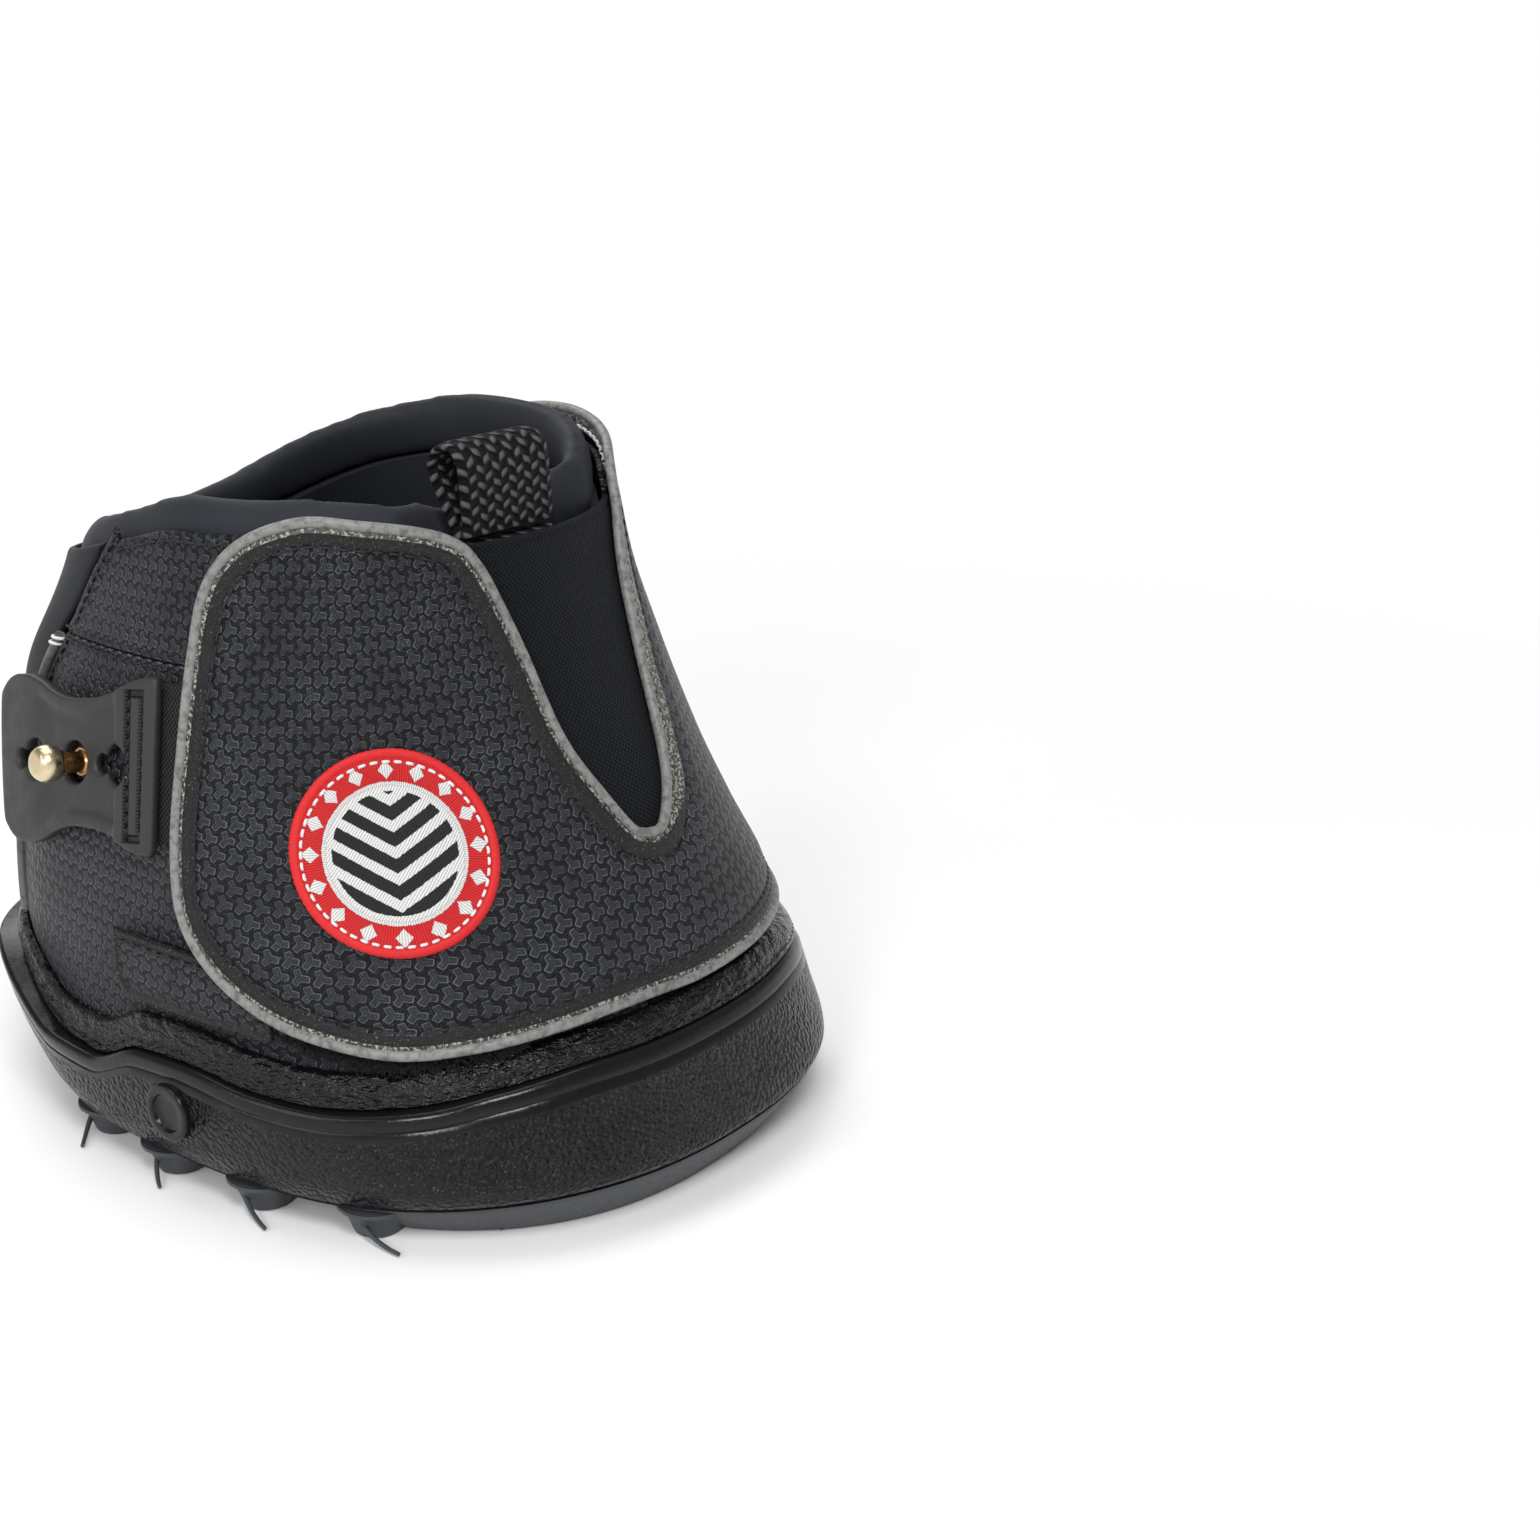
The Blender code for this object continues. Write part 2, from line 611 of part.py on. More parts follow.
def settle():
    """Bring the middle of the whole part's underside to the origin."""
    items = [item for item in bpy.data.objects if item.type == 'MESH']
    corners = [vertex.co for item in items for vertex in item.data.vertices]
    low = [min(corner[axis] for corner in corners) for axis in range(3)]
    high = [max(corner[axis] for corner in corners) for axis in range(3)]
    shift = Vector((-(low[0] + high[0]) / 2, -(low[1] + high[1]) / 2, -low[2]))
    for item in items:
        item.data.transform(Matrix.Translation(shift))
    return shift


def hang(name, low, high, names):
    """Empty in the middle of a joint's axis, as the parent of what turns on it."""
    empty = bpy.data.objects.new(name, None)
    bpy.context.scene.collection.objects.link(empty)
    empty.location = (low + high) / 2
    for piece in names:
        item = bpy.data.objects[piece]
        item.parent = empty
        item.matrix_parent_inverse = Matrix.Translation(-empty.location)


def material(name, colour, roughness, metallic=0):
    item = bpy.data.materials.new(name)
    item.use_nodes = True
    shader = item.node_tree.nodes["Principled BSDF"]
    shader.inputs["Base Color"].default_value = (*colour, 1)
    shader.inputs["Roughness"].default_value = roughness
    shader.inputs["Metallic"].default_value = metallic
    item.diffuse_color = (*colour, 1)
    return item


def turned(profile, steps, base, axis):
    """Body turned about an axis; the profile gives radius and place along it."""
    axis = axis.normalized()
    side = axis.orthogonal().normalized()
    other = axis.cross(side)
    rows = []
    for radius, along in profile:
        middle = base + along * axis
        if radius == 0:
            rows.append([middle])
            continue
        rows.append([
            middle + radius * (math.cos(turn) * side + math.sin(turn) * other)
            for turn in (2 * math.pi * k / steps for k in range(steps))])
    return bowl(rows)


# Sole cup

def make_cup():
    centre = Vector((0, SOLE_CENTRE_BACK, 0))
    angles = ring_angles()
    mid_share = 0.5

    def wall(angle, share):
        low = lip_height(angle)
        return low + share * (rim_height(angle) - RIM_ROUND - low)

    rows = [[centre + Vector((0, 0, CUP_FLOOR_HEIGHT))]]
    rows.append([sole_point(a, CUP_FLOOR_HEIGHT, -CUP_FLOOR_INSET) for a in angles])
    rows.append([sole_point(a, lip_height(a)) for a in angles])
    for share in (0.25, mid_share, 0.78, 1.0):
        rows.append([sole_point(a, wall(a, share)) for a in angles])
    rows.append([
        sole_point(a, rim_height(a), -RIM_ROUND) for a in angles])
    rows.append([last_point(a, rim_height(a), GAP) for a in angles])
    for share in (0.7, 0.35, 0):
        rows.append([
            last_point(a, CUP_INNER_FLOOR + share * (rim_height(a) - CUP_INNER_FLOOR), GAP + CUP_EASE)
            for a in angles])
    rows.append([centre + Vector((0, 0, CUP_INNER_FLOOR))])
    points, faces = bowl([[Vector(p) for p in row] for row in rows])
    cup = make_object("sole_cup", points, faces, RUBBER_BLACK)

    boss_seat = sole_point(BOSS_ANGLE, BOSS_HEIGHT)
    boss_axis = sole_point(BOSS_ANGLE, BOSS_HEIGHT, BOSS_ROOT) - boss_seat
    profile = (
        (0, -BOSS_ROOT), (BOSS_RADIUS, -BOSS_ROOT), (BOSS_RADIUS, BOSS_PROUD * 0.7),
        (BOSS_RADIUS * 0.92, BOSS_PROUD), (BOSS_DISH_RADIUS, BOSS_PROUD),
        (BOSS_DISH_RADIUS * 0.94, BOSS_PROUD - BOSS_DISH_DEPTH), (0, BOSS_PROUD - BOSS_DISH_DEPTH))
    points, faces = turned(profile, 24, boss_seat, boss_axis)
    boss = make_object("boss_form", points, faces, RUBBER_BLACK)
    combine(cup, boss, 'UNION')
    return cup


# Tread

def toe_bar(angle):
    """1 on the smooth toe bar, 0 where the lugs are."""
    return 1 - ease(abs(around(angle)), TOE_BAR_ANGLE, TOE_BAR_ANGLE + TOE_BAR_FADE_ANGLE)


def lug_places():
    """Centres of the lugs, in rows that step inwards from the sole's outline."""
    places = []
    row = 0
    inset = LUG_INSET
    while inset < SOLE_HALF_WIDTH - LUG_RADIUS:
        narrow = max(1 - inset / SOLE_HALF_WIDTH, LUG_RADIUS / SOLE_HALF_WIDTH)
        pitch = LUG_PITCH_ANGLE / narrow
        first = LUG_FIRST_ANGLE if row == 0 else 0
        count = max(1, math.floor((180 - first) / pitch))
        spread = (180 - first) / count
        for i in range(count + 1):
            angle = 180 - i * spread
            near = row == 1 and angle < LUG_FIRST_ANGLE - TOE_BAR_FADE_ANGLE
            for side in ((1,) if angle in (0, 180) else (1, -1)):
                lip = lip_height(side * angle)
                spot = sole_point(side * angle, lip, -inset - (LUG_RADIUS if near else 0))
                spot.z = 0
                if all((spot - other).length > 2 * LUG_RADIUS + GAP for other in places):
                    places.append(spot)
        row += 1
        inset += LUG_ROW_PITCH
    return places


def tread_top(angle):
    """Height of the cup's underside above the tread's upper edge."""
    low = lip_height(angle)
    return low - TREAD_STEP_INSET / CUP_FLOOR_INSET * (low - CUP_FLOOR_HEIGHT)


def make_tread():
    centre = Vector((0, SOLE_CENTRE_BACK, 0))
    angles = ring_angles()
    top = CUP_FLOOR_HEIGHT - GAP

    def foot(angle):
        return TREAD_PLATE_HEIGHT * (1 - toe_bar(angle))

    def brow(angle):
        return tread_top(angle) - 2 * LAYER_GAP

    rows = [[centre + Vector((0, 0, TREAD_PLATE_HEIGHT))]]
    rows.append([
        sole_point(a, TREAD_PLATE_HEIGHT, -TREAD_EDGE_INSET - TOE_BAR_BREADTH - RIM_ROUND)
        for a in angles])
    rows.append([sole_point(a, foot(a), -TREAD_EDGE_INSET - TOE_BAR_BREADTH) for a in angles])
    rows.append([sole_point(a, foot(a), -TREAD_EDGE_INSET) for a in angles])
    rows.append([
        sole_point(a, (foot(a) + brow(a)) / 2, -(TREAD_EDGE_INSET + TREAD_STEP_INSET) / 2)
        for a in angles])
    rows.append([sole_point(a, brow(a), -TREAD_STEP_INSET) for a in angles])
    rows.append([sole_point(a, top, -CUP_FLOOR_INSET) for a in angles])
    rows.append([centre + Vector((0, 0, top))])
    points, faces = bowl(rows)
    tread = make_object("tread", points, faces, RUBBER_GREY)

    lug_points = []
    lug_faces = []
    profile = (
        (0, 0), (LUG_FOOT_RADIUS, 0), (LUG_RADIUS, TREAD_PLATE_HEIGHT * 0.6),
        (LUG_RADIUS, TREAD_PLATE_HEIGHT + LUG_ROOT), (0, TREAD_PLATE_HEIGHT + LUG_ROOT))
    for spot in lug_places():
        points, faces = turned(profile, LUG_SIDES, spot, Vector((0, 0, 1)))
        first = len(lug_points)
        lug_points.extend(points)
        lug_faces.extend(tuple(first + i for i in face) for face in faces)
    lugs = make_object("lug_forms", lug_points, lug_faces, RUBBER_GREY)
    combine(tread, lugs, 'UNION')
    return tread


# Insole, rand, liner and collar

def make_insole():
    angles = ring_angles()
    low = CUP_INNER_FLOOR + GAP
    high = INSOLE_TOP + INSOLE_FIELD_RISE
    field = -BASE_THICKNESS - LINER_ROOM - LINER_THICKNESS - INSOLE_FIELD_INSET
    centre = Vector((LAST_SIDE_SHIFT, SOLE_CENTRE_BACK, 0))
    rows = [[centre + Vector((0, 0, low))]]
    rows.append([last_point(a, low, -INSOLE_INSET) for a in angles])
    rows.append([last_point(a, INSOLE_TOP, -INSOLE_INSET) for a in angles])
    rows.append([last_point(a, INSOLE_TOP, field) for a in angles])
    rows.append([last_point(a, high, field - INSOLE_FIELD_RISE) for a in angles])
    rows.append([centre + Vector((0, 0, high))])
    points, faces = bowl(rows)
    return make_object("insole_pad", points, faces, FOAM)


def make_rand():
    sections = []
    for angle in ring_angles():
        foot = rim_height(angle) + GAP
        top = rand_height(angle)
        tall = top - foot
        sections.append([
            last_point(angle, foot, GAP),
            last_point(angle, foot, RAND_FOOT_OUT - RIM_ROUND / 2),
            last_point(angle, foot + tall * 0.10, RAND_FOOT_OUT),
            last_point(angle, foot + tall * 0.50, RAND_BELLY_OUT),
            last_point(angle, foot + tall * 0.88, RAND_TOP_OUT + RIM_ROUND / 2),
            last_point(angle, top, RAND_TOP_OUT - RIM_ROUND / 2),
            last_point(angle, top, GAP),
            last_point(angle, foot + tall * 0.50, GAP)])
    points, faces = ring(sections)
    return make_object("rand", points, faces, RUBBER_GLOSS)


def nut_room(angle, height):
    """How far the liner gives way round the stud's nut."""
    reach = (last_point(angle, height) - STUD_SEAT).length
    return NUT_ROOM * (1 - ease(reach, 2 * NUT_RADIUS, NUT_ROOM_RADIUS))


def make_liner():
    sections = []
    for angle in ring_angles():
        low = INSOLE_TOP + GAP
        high = collar_height(angle) - COLLAR_DEPTH - GAP
        face = -BASE_THICKNESS - LINER_ROOM
        section = []
        for share in LINER_OUTER_SHARES:
            height = low + (high - low) * share
            section.append(last_point(angle, height, face - nut_room(angle, height)))
        for share in LINER_INNER_SHARES:
            height = low + (high - low) * share
            offset = face - LINER_THICKNESS - nut_room(angle, height) / 2
            section.append(last_point(angle, height, offset))
        sections.append(section)
    points, faces = ring(sections)
    return make_object("liner", points, faces, NEOPRENE)


def loop_room(angle):
    turn = abs(around(angle))
    return LOOP_ROOM * (1 - ease(turn, LOOP_ROOM_ANGLE, LOOP_ROOM_ANGLE + LOOP_ROOM_FADE_ANGLE))


def make_collar():
    sections = []
    for angle in ring_angles():
        middle = collar_height(angle) - COLLAR_DEPTH / 2
        offset = -BASE_THICKNESS - GAP - COLLAR_THICKNESS / 2 - loop_room(angle)
        section = []
        for k in range(COLLAR_SIDES):
            turn = 2 * math.pi * (k + 0.5) / COLLAR_SIDES
            out = COLLAR_THICKNESS / 2 * math.cos(turn)
            up = COLLAR_DEPTH / 2 * math.sin(turn)
            section.append(last_point(angle, middle + up, offset + out))
        sections.append(section)
    points, faces = ring(sections)
    return make_object("collar_roll", points, faces, NEOPRENE)


# Base panels

def gusset_edge(side, height):
    """Angle of the gusset's edge at a height, on the lateral (1) or medial (-1) side."""
    shares = WING_EDGE_SHARES if side > 0 else COVER_EDGE_SHARES[1:]
    share = (height - GUSSET_TIP_HEIGHT) / (GUSSET_TOP_HEIGHT - GUSSET_TIP_HEIGHT)
    knots = [s for _, s in shares]
    angles = [abs(a) for a, _ in shares]
    angle = smooth(share, knots, angles) + GUSSET_LAP_ANGLE
    return side * max(angle, GUSSET_ROOT_ANGLE)


def panel_top(angle):
    return collar_height(angle) - PANEL_DROP


def levels_between(low, high):
    """Heights at the common steps, with both ends."""
    first = math.floor(low / HEIGHT_STEP) + 1
    last = math.ceil(high / HEIGHT_STEP)
    steps = [HEIGHT_STEP * i for i in range(first, last)]
    room = HEIGHT_STEP / 4
    return [low] + [h for h in steps if low + room < h < high - room] + [high]


def degree_size(angle, height):
    """Length of one degree round the last."""
    return (last_point(angle + 0.5, height) - last_point(angle - 0.5, height)).length


def rear_edge(low, high):
    """Rear edge of a quarter between two heights, as lateral angles."""
    span = REAR_EDGE_HEIGHT - BASE_FOOT_HEIGHT
    result = []
    for height in levels_between(low, high):
        share = (height - BASE_FOOT_HEIGHT) / span
        result.append((smooth(share, REAR_EDGE_SHARES, REAR_EDGE_ANGLES), height))
    return result


def top_edge(first, last, drop=0):
    count = max(2, round(abs(last - first) / ANGLE_STEP))
    result = []
    for i in range(count + 1):
        angle = first + (last - first) * i / count
        result.append((angle, panel_top(angle) - drop))
    return result


def front_edge(side, low, high):
    result = []
    for height in levels_between(low, high):
        edge = gusset_edge(side, height)
        result.append((edge + side * LAYER_GAP / degree_size(edge, height), height))
    return result


def make_gusset():
    heights = levels_between(BASE_FOOT_HEIGHT, GUSSET_TOP_HEIGHT)
    medial = [(gusset_edge(-1, h), h) for h in heights]
    lateral = [(gusset_edge(1, h), h) for h in heights]
    outline = straight([medial[0], lateral[0]]) + lateral
    outline += straight([lateral[-1], medial[-1]])[1:] + medial[:0:-1]
    return panel("elastic_gusset", outline, -GUSSET_THICKNESS, 0, ELASTIC)


def make_lateral_quarter():
    """Lower and upper lateral panels, parted at the stitched seam."""
    front = front_edge(1, BASE_FOOT_HEIGHT, SEAM_HEIGHT)
    rear = rear_edge(BASE_FOOT_HEIGHT, SEAM_HEIGHT)
    outline = straight([front[0], rear[0]]) + rear
    outline += straight([rear[-1], front[-1]])[1:] + front[:0:-1]
    seat_angle, seat_height = STUD_PLACE
    hole = [
        (seat_angle + (STUD_NECK_RADIUS + LAYER_GAP) * math.cos(t) / degree_size(*STUD_PLACE),
         seat_height + (STUD_NECK_RADIUS + LAYER_GAP) * math.sin(t))
        for t in (2 * math.pi * k / STUD_STEPS for k in range(STUD_STEPS))]
    panel("lateral_quarter_lower", outline, -BASE_THICKNESS, 0, TEXTILE, holes=(hole,))

    seam = SEAM_HEIGHT + GAP
    top_front = GUSSET_TOP_HEIGHT - PIPING_RADIUS
    front = front_edge(1, seam, top_front)
    rear = rear_edge(seam, REAR_EDGE_HEIGHT - PANEL_DROP / 2)
    top = top_edge(rear[-1][0], front[-1][0])
    outline = straight([front[0], rear[0]]) + rear + top[1:-1] + front[:0:-1]
    panel("lateral_quarter_upper", outline, -BASE_THICKNESS, 0, TEXTILE)


def make_medial_quarter():
    top_front = GUSSET_TOP_HEIGHT - PIPING_RADIUS
    front = front_edge(-1, BASE_FOOT_HEIGHT, top_front)
    rear = [(-a, h) for a, h in rear_edge(BASE_FOOT_HEIGHT, REAR_EDGE_HEIGHT)]
    top = top_edge(rear[-1][0], front[-1][0])
    outline = straight([front[0], rear[0]]) + rear + top[1:-1] + front[:0:-1]
    panel("medial_quarter", outline, -BASE_THICKNESS, 0, TEXTILE)


def heel_side(side):
    """Edge of the heel panel beside a quarter, bottom to top."""
    top = REAR_EDGE_HEIGHT - (PANEL_DROP / 2 if side > 0 else 0)
    result = []
    for angle, height in rear_edge(BASE_FOOT_HEIGHT, top):
        piped = height < HEEL_PIPING_TOP_HEIGHT + HEIGHT_STEP
        room = 2 * (PIPING_RADIUS + LAYER_GAP) if piped else 2 * LAYER_GAP
        width = room / degree_size(angle, height)
        result.append((angle + width if side > 0 else 360 - angle - width, height))
    return result


def heel_puff(angle, height):
    """Crown of the heel panel, level at its side edges."""
    share = (height - BASE_FOOT_HEIGHT) / (REAR_EDGE_HEIGHT - BASE_FOOT_HEIGHT)
    edge = smooth(share, REAR_EDGE_SHARES, REAR_EDGE_ANGLES)
    inward_angle = 180 - abs(angle - 180) - edge
    above = ease(height, rand_height(angle), rand_height(angle) + 2 * HEIGHT_STEP)
    below = ease(panel_top(angle) - height, 0, 3 * HEIGHT_STEP)
    return HEEL_PUFF * ease(inward_angle, 2, 2 + 2 * ANGLE_STEP) * above * below


def make_heel():
    lateral = heel_side(1)
    medial = heel_side(-1)
    top = top_edge(lateral[-1][0], medial[-1][0])
    outline = straight([medial[0], lateral[0]])[1:]
    outline = [medial[0]] + outline + lateral + top[1:-1] + medial[:0:-1]
    panel("heel_panel", outline, -BASE_THICKNESS, heel_puff, NEOPRENE)
    for side, name in ((1, "heel_piping_lateral"), (-1, "heel_piping_medial")):
        path = []
        lowest = rand_height(REAR_EDGE_ANGLES[0] + ANGLE_STEP) + GAP
        for angle, height in rear_edge(lowest, HEEL_PIPING_TOP_HEIGHT):
            middle = angle + (PIPING_RADIUS + LAYER_GAP) / degree_size(angle, height)
            path.append((side * middle, height))
        piping(name, path, PIPING_RADIUS - BASE_THICKNESS / 2, PIPING_GREY)


# Cover and wing

def cover_places(shares, low, high):
    return [(angle, low + share * (high - low)) for angle, share in shares]


def wing_offset(angle, _height=0):
    """Inner face of the cover and wing: the wing stands off over its patches."""
    rise = ease(angle, WING_RISE_FIRST_ANGLE, WING_RISE_LAST_ANGLE)
    return LAYER_GAP + (WING_STANDOFF - LAYER_GAP) * rise


def wing_edge():
    """Middle of the wing's piping, from the gusset's tip round to the front foot."""
    split = (HINGE_GAP / 2 + PIPING_RADIUS) / METRES_PER_DEGREE
    tip = [(HINGE_ANGLE + split / 2, GUSSET_TIP_HEIGHT)]
    knots = tip + cover_places(WING_EDGE_SHARES, GUSSET_TIP_HEIGHT, GUSSET_TOP_HEIGHT)
    knots += cover_places(
        WING_TOP_SHARES + WING_REAR_SHARES + WING_FOOT_SHARES, COVER_FOOT_HEIGHT, COVER_TOP_HEIGHT)
    knots.append((HINGE_ANGLE + split / 2, COVER_FOOT_HEIGHT))
    return curve(knots)


def cover_edge():
    """Middle of the cover's piping, from the front foot round to the gusset's tip."""
    split = (HINGE_GAP / 2 + PIPING_RADIUS) / METRES_PER_DEGREE
    knots = [(HINGE_ANGLE - split / 2, COVER_FOOT_HEIGHT)]
    knots += cover_places(reversed(COVER_FOOT_SHARES), COVER_FOOT_HEIGHT, COVER_TOP_HEIGHT)
    knots += cover_places(reversed(COVER_REAR_SHARES), COVER_FOOT_HEIGHT, COVER_TOP_HEIGHT)
    knots += cover_places(reversed(COVER_TOP_SHARES), COVER_FOOT_HEIGHT, COVER_TOP_HEIGHT)
    knots += cover_places(reversed(COVER_EDGE_SHARES), GUSSET_TIP_HEIGHT, GUSSET_TOP_HEIGHT)
    knots.append((HINGE_ANGLE - split / 2, GUSSET_TIP_HEIGHT))
    return curve(knots)


def covered(path, side, name, material_slot):
    """Panel inside a piped edge; its last side is the straight fold line."""
    room = PIPING_RADIUS + LAYER_GAP
    inset = shift_path(path, -room)
    fold = HINGE_ANGLE + side * HINGE_GAP / 2 / METRES_PER_DEGREE
    inset = [p for p in inset if side * (p[0] - fold) > HINGE_GAP / METRES_PER_DEGREE]
    first = (fold, GUSSET_TIP_HEIGHT - room)
    last = (fold, COVER_FOOT_HEIGHT + room)
    if side < 0:
        first, last = last, first
    outline = [first] + inset + straight([last, first])
    return panel(
        name, outline, wing_offset,
        lambda a, h: wing_offset(a) + COVER_THICKNESS, material_slot)


def bead_offset(angle, height):
    return wing_offset(angle, height) + COVER_THICKNESS / 2 + GAP


def make_cover_and_wing():
    covered(cover_edge(), -1, "front_cover", TEXTILE)
    piping("cover_piping", cover_edge(), bead_offset, PIPING_GREY)
    covered(wing_edge(), 1, "wing", TEXTILE)
    piping("wing_piping", wing_edge(), bead_offset, PIPING_GREY)


def make_patches():
    low = PATCH_FOOT_HEIGHT
    corners = (
        (PATCH_FIRST_ANGLE, low), (PATCH_LAST_ANGLE, low),
        (PATCH_LAST_ANGLE, PATCH_TOP_HEIGHT), (PATCH_FIRST_ANGLE, PATCH_TOP_HEIGHT))
    outline = straight(corners + corners[:1])
    panel("side_loop_patch", outline, LAYER_GAP, LOOP_PATCH_OUT, HOOK_LOOP)
    first = PATCH_FIRST_ANGLE + HOOK_INSET_ANGLE
    last = PATCH_LAST_ANGLE - HOOK_INSET_ANGLE
    corners = (
        (first, low + HOOK_INSET), (last, low + HOOK_INSET),
        (last, PATCH_TOP_HEIGHT - HOOK_INSET), (first, PATCH_TOP_HEIGHT - HOOK_INSET))
    outline = straight(corners + corners[:1])
    panel("wing_hook_patch", outline, LOOP_PATCH_OUT + LAYER_GAP, HOOK_PATCH_OUT, HOOK_LOOP)


def make_strip():
    low = STRIP_FOOT_HEIGHT
    high = low + STRIP_BREADTH
    nose = STRIP_LAST_ANGLE - STRIP_BREADTH / METRES_PER_DEGREE / 4
    corners = (
        (STRIP_FIRST_ANGLE, low), (nose, low), (STRIP_LAST_ANGLE, low + STRIP_BREADTH / 4),
        (STRIP_LAST_ANGLE, high), (STRIP_FIRST_ANGLE, high))
    outline = straight(corners + corners[:1])
    panel("quarter_strip", outline, LAYER_GAP, LAYER_GAP + STRIP_THICKNESS, TEXTILE)


def make_badge():
    outline = []
    for k in range(BADGE_STEPS):
        turn = 2 * math.pi * k / BADGE_STEPS
        outline.append((
            BADGE_ANGLE + BADGE_RADIUS * math.cos(turn) / BADGE_METRES_PER_DEGREE,
            BADGE_HEIGHT + BADGE_RADIUS * math.sin(turn)))
    inner = WING_STANDOFF + COVER_THICKNESS + LAYER_GAP
    panel("badge_patch", outline, inner, inner + BADGE_THICKNESS, BADGE_RED)


# Pull loop

def make_pull_loop():
    """Webbing folded into an eye, on a short tail sewn behind the gusset."""
    lean = math.radians(LOOP_LEAN_ANGLE)
    up = Vector((0, math.sin(lean), math.cos(lean)))
    back = Vector((0, math.cos(lean), -math.sin(lean)))
    side = Vector((1, 0, 0))
    root = LOOP_AXIS
    half = LOOP_WIDTH / 2
    eye = LOOP_LENGTH - LOOP_EYE_RADIUS - LOOP_WEB
    outer = [(-LOOP_WEB - GAP / 2, GAP)]
    inner = [(-GAP / 2, GAP + LOOP_WEB)]
    for k in range(LOOP_STEPS + 1):
        turn = math.pi * k / LOOP_STEPS
        across = -math.cos(turn)
        rise = math.sin(turn)
        outer.append((
            (LOOP_EYE_RADIUS + LOOP_WEB) * across, eye + (LOOP_EYE_RADIUS + LOOP_WEB) * rise))
        inner.append((LOOP_EYE_RADIUS * across, eye + LOOP_EYE_RADIUS * rise))
    outer.append((LOOP_WEB + GAP / 2, GAP))
    inner.append((GAP / 2, GAP + LOOP_WEB))
    profile = outer + inner[::-1]
    count = len(profile)
    points = []
    for edge in (-half, half):
        points += [root + edge * side + a * back + b * up for a, b in profile]
    faces = [tuple(range(count)), tuple(range(2 * count - 1, count - 1, -1))]
    for i in range(count):
        j = (i + 1) % count
        faces.append((j, i, i + count, j + count))
    make_object("pull_loop", points, faces, WEBBING)

    tail_in = -BASE_THICKNESS - 2 * LAYER_GAP
    tail_top = (LOOP_WEB + GAP / 2) * math.sin(lean) + GAP * (1 - math.cos(lean))
    corners = (
        (-half, -LOOP_TAIL_LENGTH), (half, -LOOP_TAIL_LENGTH), (half, -tail_top), (-half, -tail_top))
    points = []
    for offset in (tail_in, tail_in - 2 * LOOP_WEB):
        for across, rise in corners:
            spot = last_point(0, LOOP_AXIS.z + rise, offset)
            points.append(Vector((LOOP_AXIS.x + across, spot.y + LOOP_BOW, spot.z)))
    faces = [(0, 1, 2, 3), (7, 6, 5, 4), (1, 0, 4, 5), (2, 1, 5, 6), (3, 2, 6, 7), (0, 3, 7, 4)]
    make_object("pull_loop_tail", points, faces, WEBBING)


# Strap

def strap_point(scaled_along, across, offset):
    """Place on the elastic, which follows the quarter from the strap's axis."""
    slope = math.radians(STRAP_SLOPE_ANGLE)
    along = scaled_along * METRES_PER_DEGREE
    run = along * math.cos(slope) + across * math.sin(slope)
    height = STRAP_HEIGHT - along * math.sin(slope) + across * math.cos(slope)
    size = degree_size(STRAP_AXIS_ANGLE, STRAP_HEIGHT)
    return last_point(STRAP_AXIS_ANGLE + run / size, height, offset)


def tab_point(scaled_along, across, offset):
    """Place on the tab, an almost flat plate that touches the quarter at the stud."""
    along = scaled_along * METRES_PER_DEGREE
    along += TAB_SKEW * across / TAB_END_WIDTH * -2 * (1 - ease(along, 0, TAB_STUD_REACH))
    bend = (along - TAB_STUD_REACH) / TAB_BEND_RADIUS
    reach = TAB_BEND_RADIUS + offset
    spot = STUD_SEAT + reach * math.sin(bend) * TAB_ALONG + across * TAB_ACROSS
    return spot + (reach * math.cos(bend) - TAB_BEND_RADIUS) * STUD_AXIS


def make_elastic():
    low = STRAP_HEIGHT - ELASTIC_WIDTH / 2
    high = STRAP_HEIGHT + ELASTIC_WIDTH / 2
    gap_angle = GAP / METRES_PER_DEGREE
    corners = (
        (ANCHOR_FIRST_ANGLE, low), (STRAP_AXIS_ANGLE - gap_angle, low),
        (STRAP_AXIS_ANGLE - gap_angle, high), (ANCHOR_FIRST_ANGLE, high))
    outline = straight(corners + corners[:1])
    panel("strap_anchor", outline, LAYER_GAP, ELASTIC_OUT, ELASTIC)

    half = ELASTIC_WIDTH / 2
    lean = half * math.tan(math.radians(STRAP_SLOPE_ANGLE)) / METRES_PER_DEGREE
    start = 2 * GAP / METRES_PER_DEGREE
    end = ELASTIC_LENGTH / METRES_PER_DEGREE
    corners = ((start + lean, -half), (end, -half), (end, half), (start - lean, half))
    outline = straight(corners + corners[:1])
    return panel(
        "strap_elastic", outline, LAYER_GAP, ELASTIC_OUT, ELASTIC, place=strap_point, mesh_step=0.55)


def tab_half_width(share):
    knots = [s for s, _ in TAB_OUTLINE_SHARES]
    shares = [w for _, w in TAB_OUTLINE_SHARES]
    wide = smooth(share, knots, shares)
    return (TAB_WAIST_WIDTH + wide * (TAB_END_WIDTH - TAB_WAIST_WIDTH)) / 2


def tab_inner(scaled_along, across):
    """Underside of the tab, with a rebate over the elastic's end."""
    along = scaled_along * METRES_PER_DEGREE
    return TAB_BASE_OUT + TAB_REBATE * (1 - ease(along, TAB_REBATE_LENGTH, TAB_REBATE_LENGTH + EDGE_STEP))


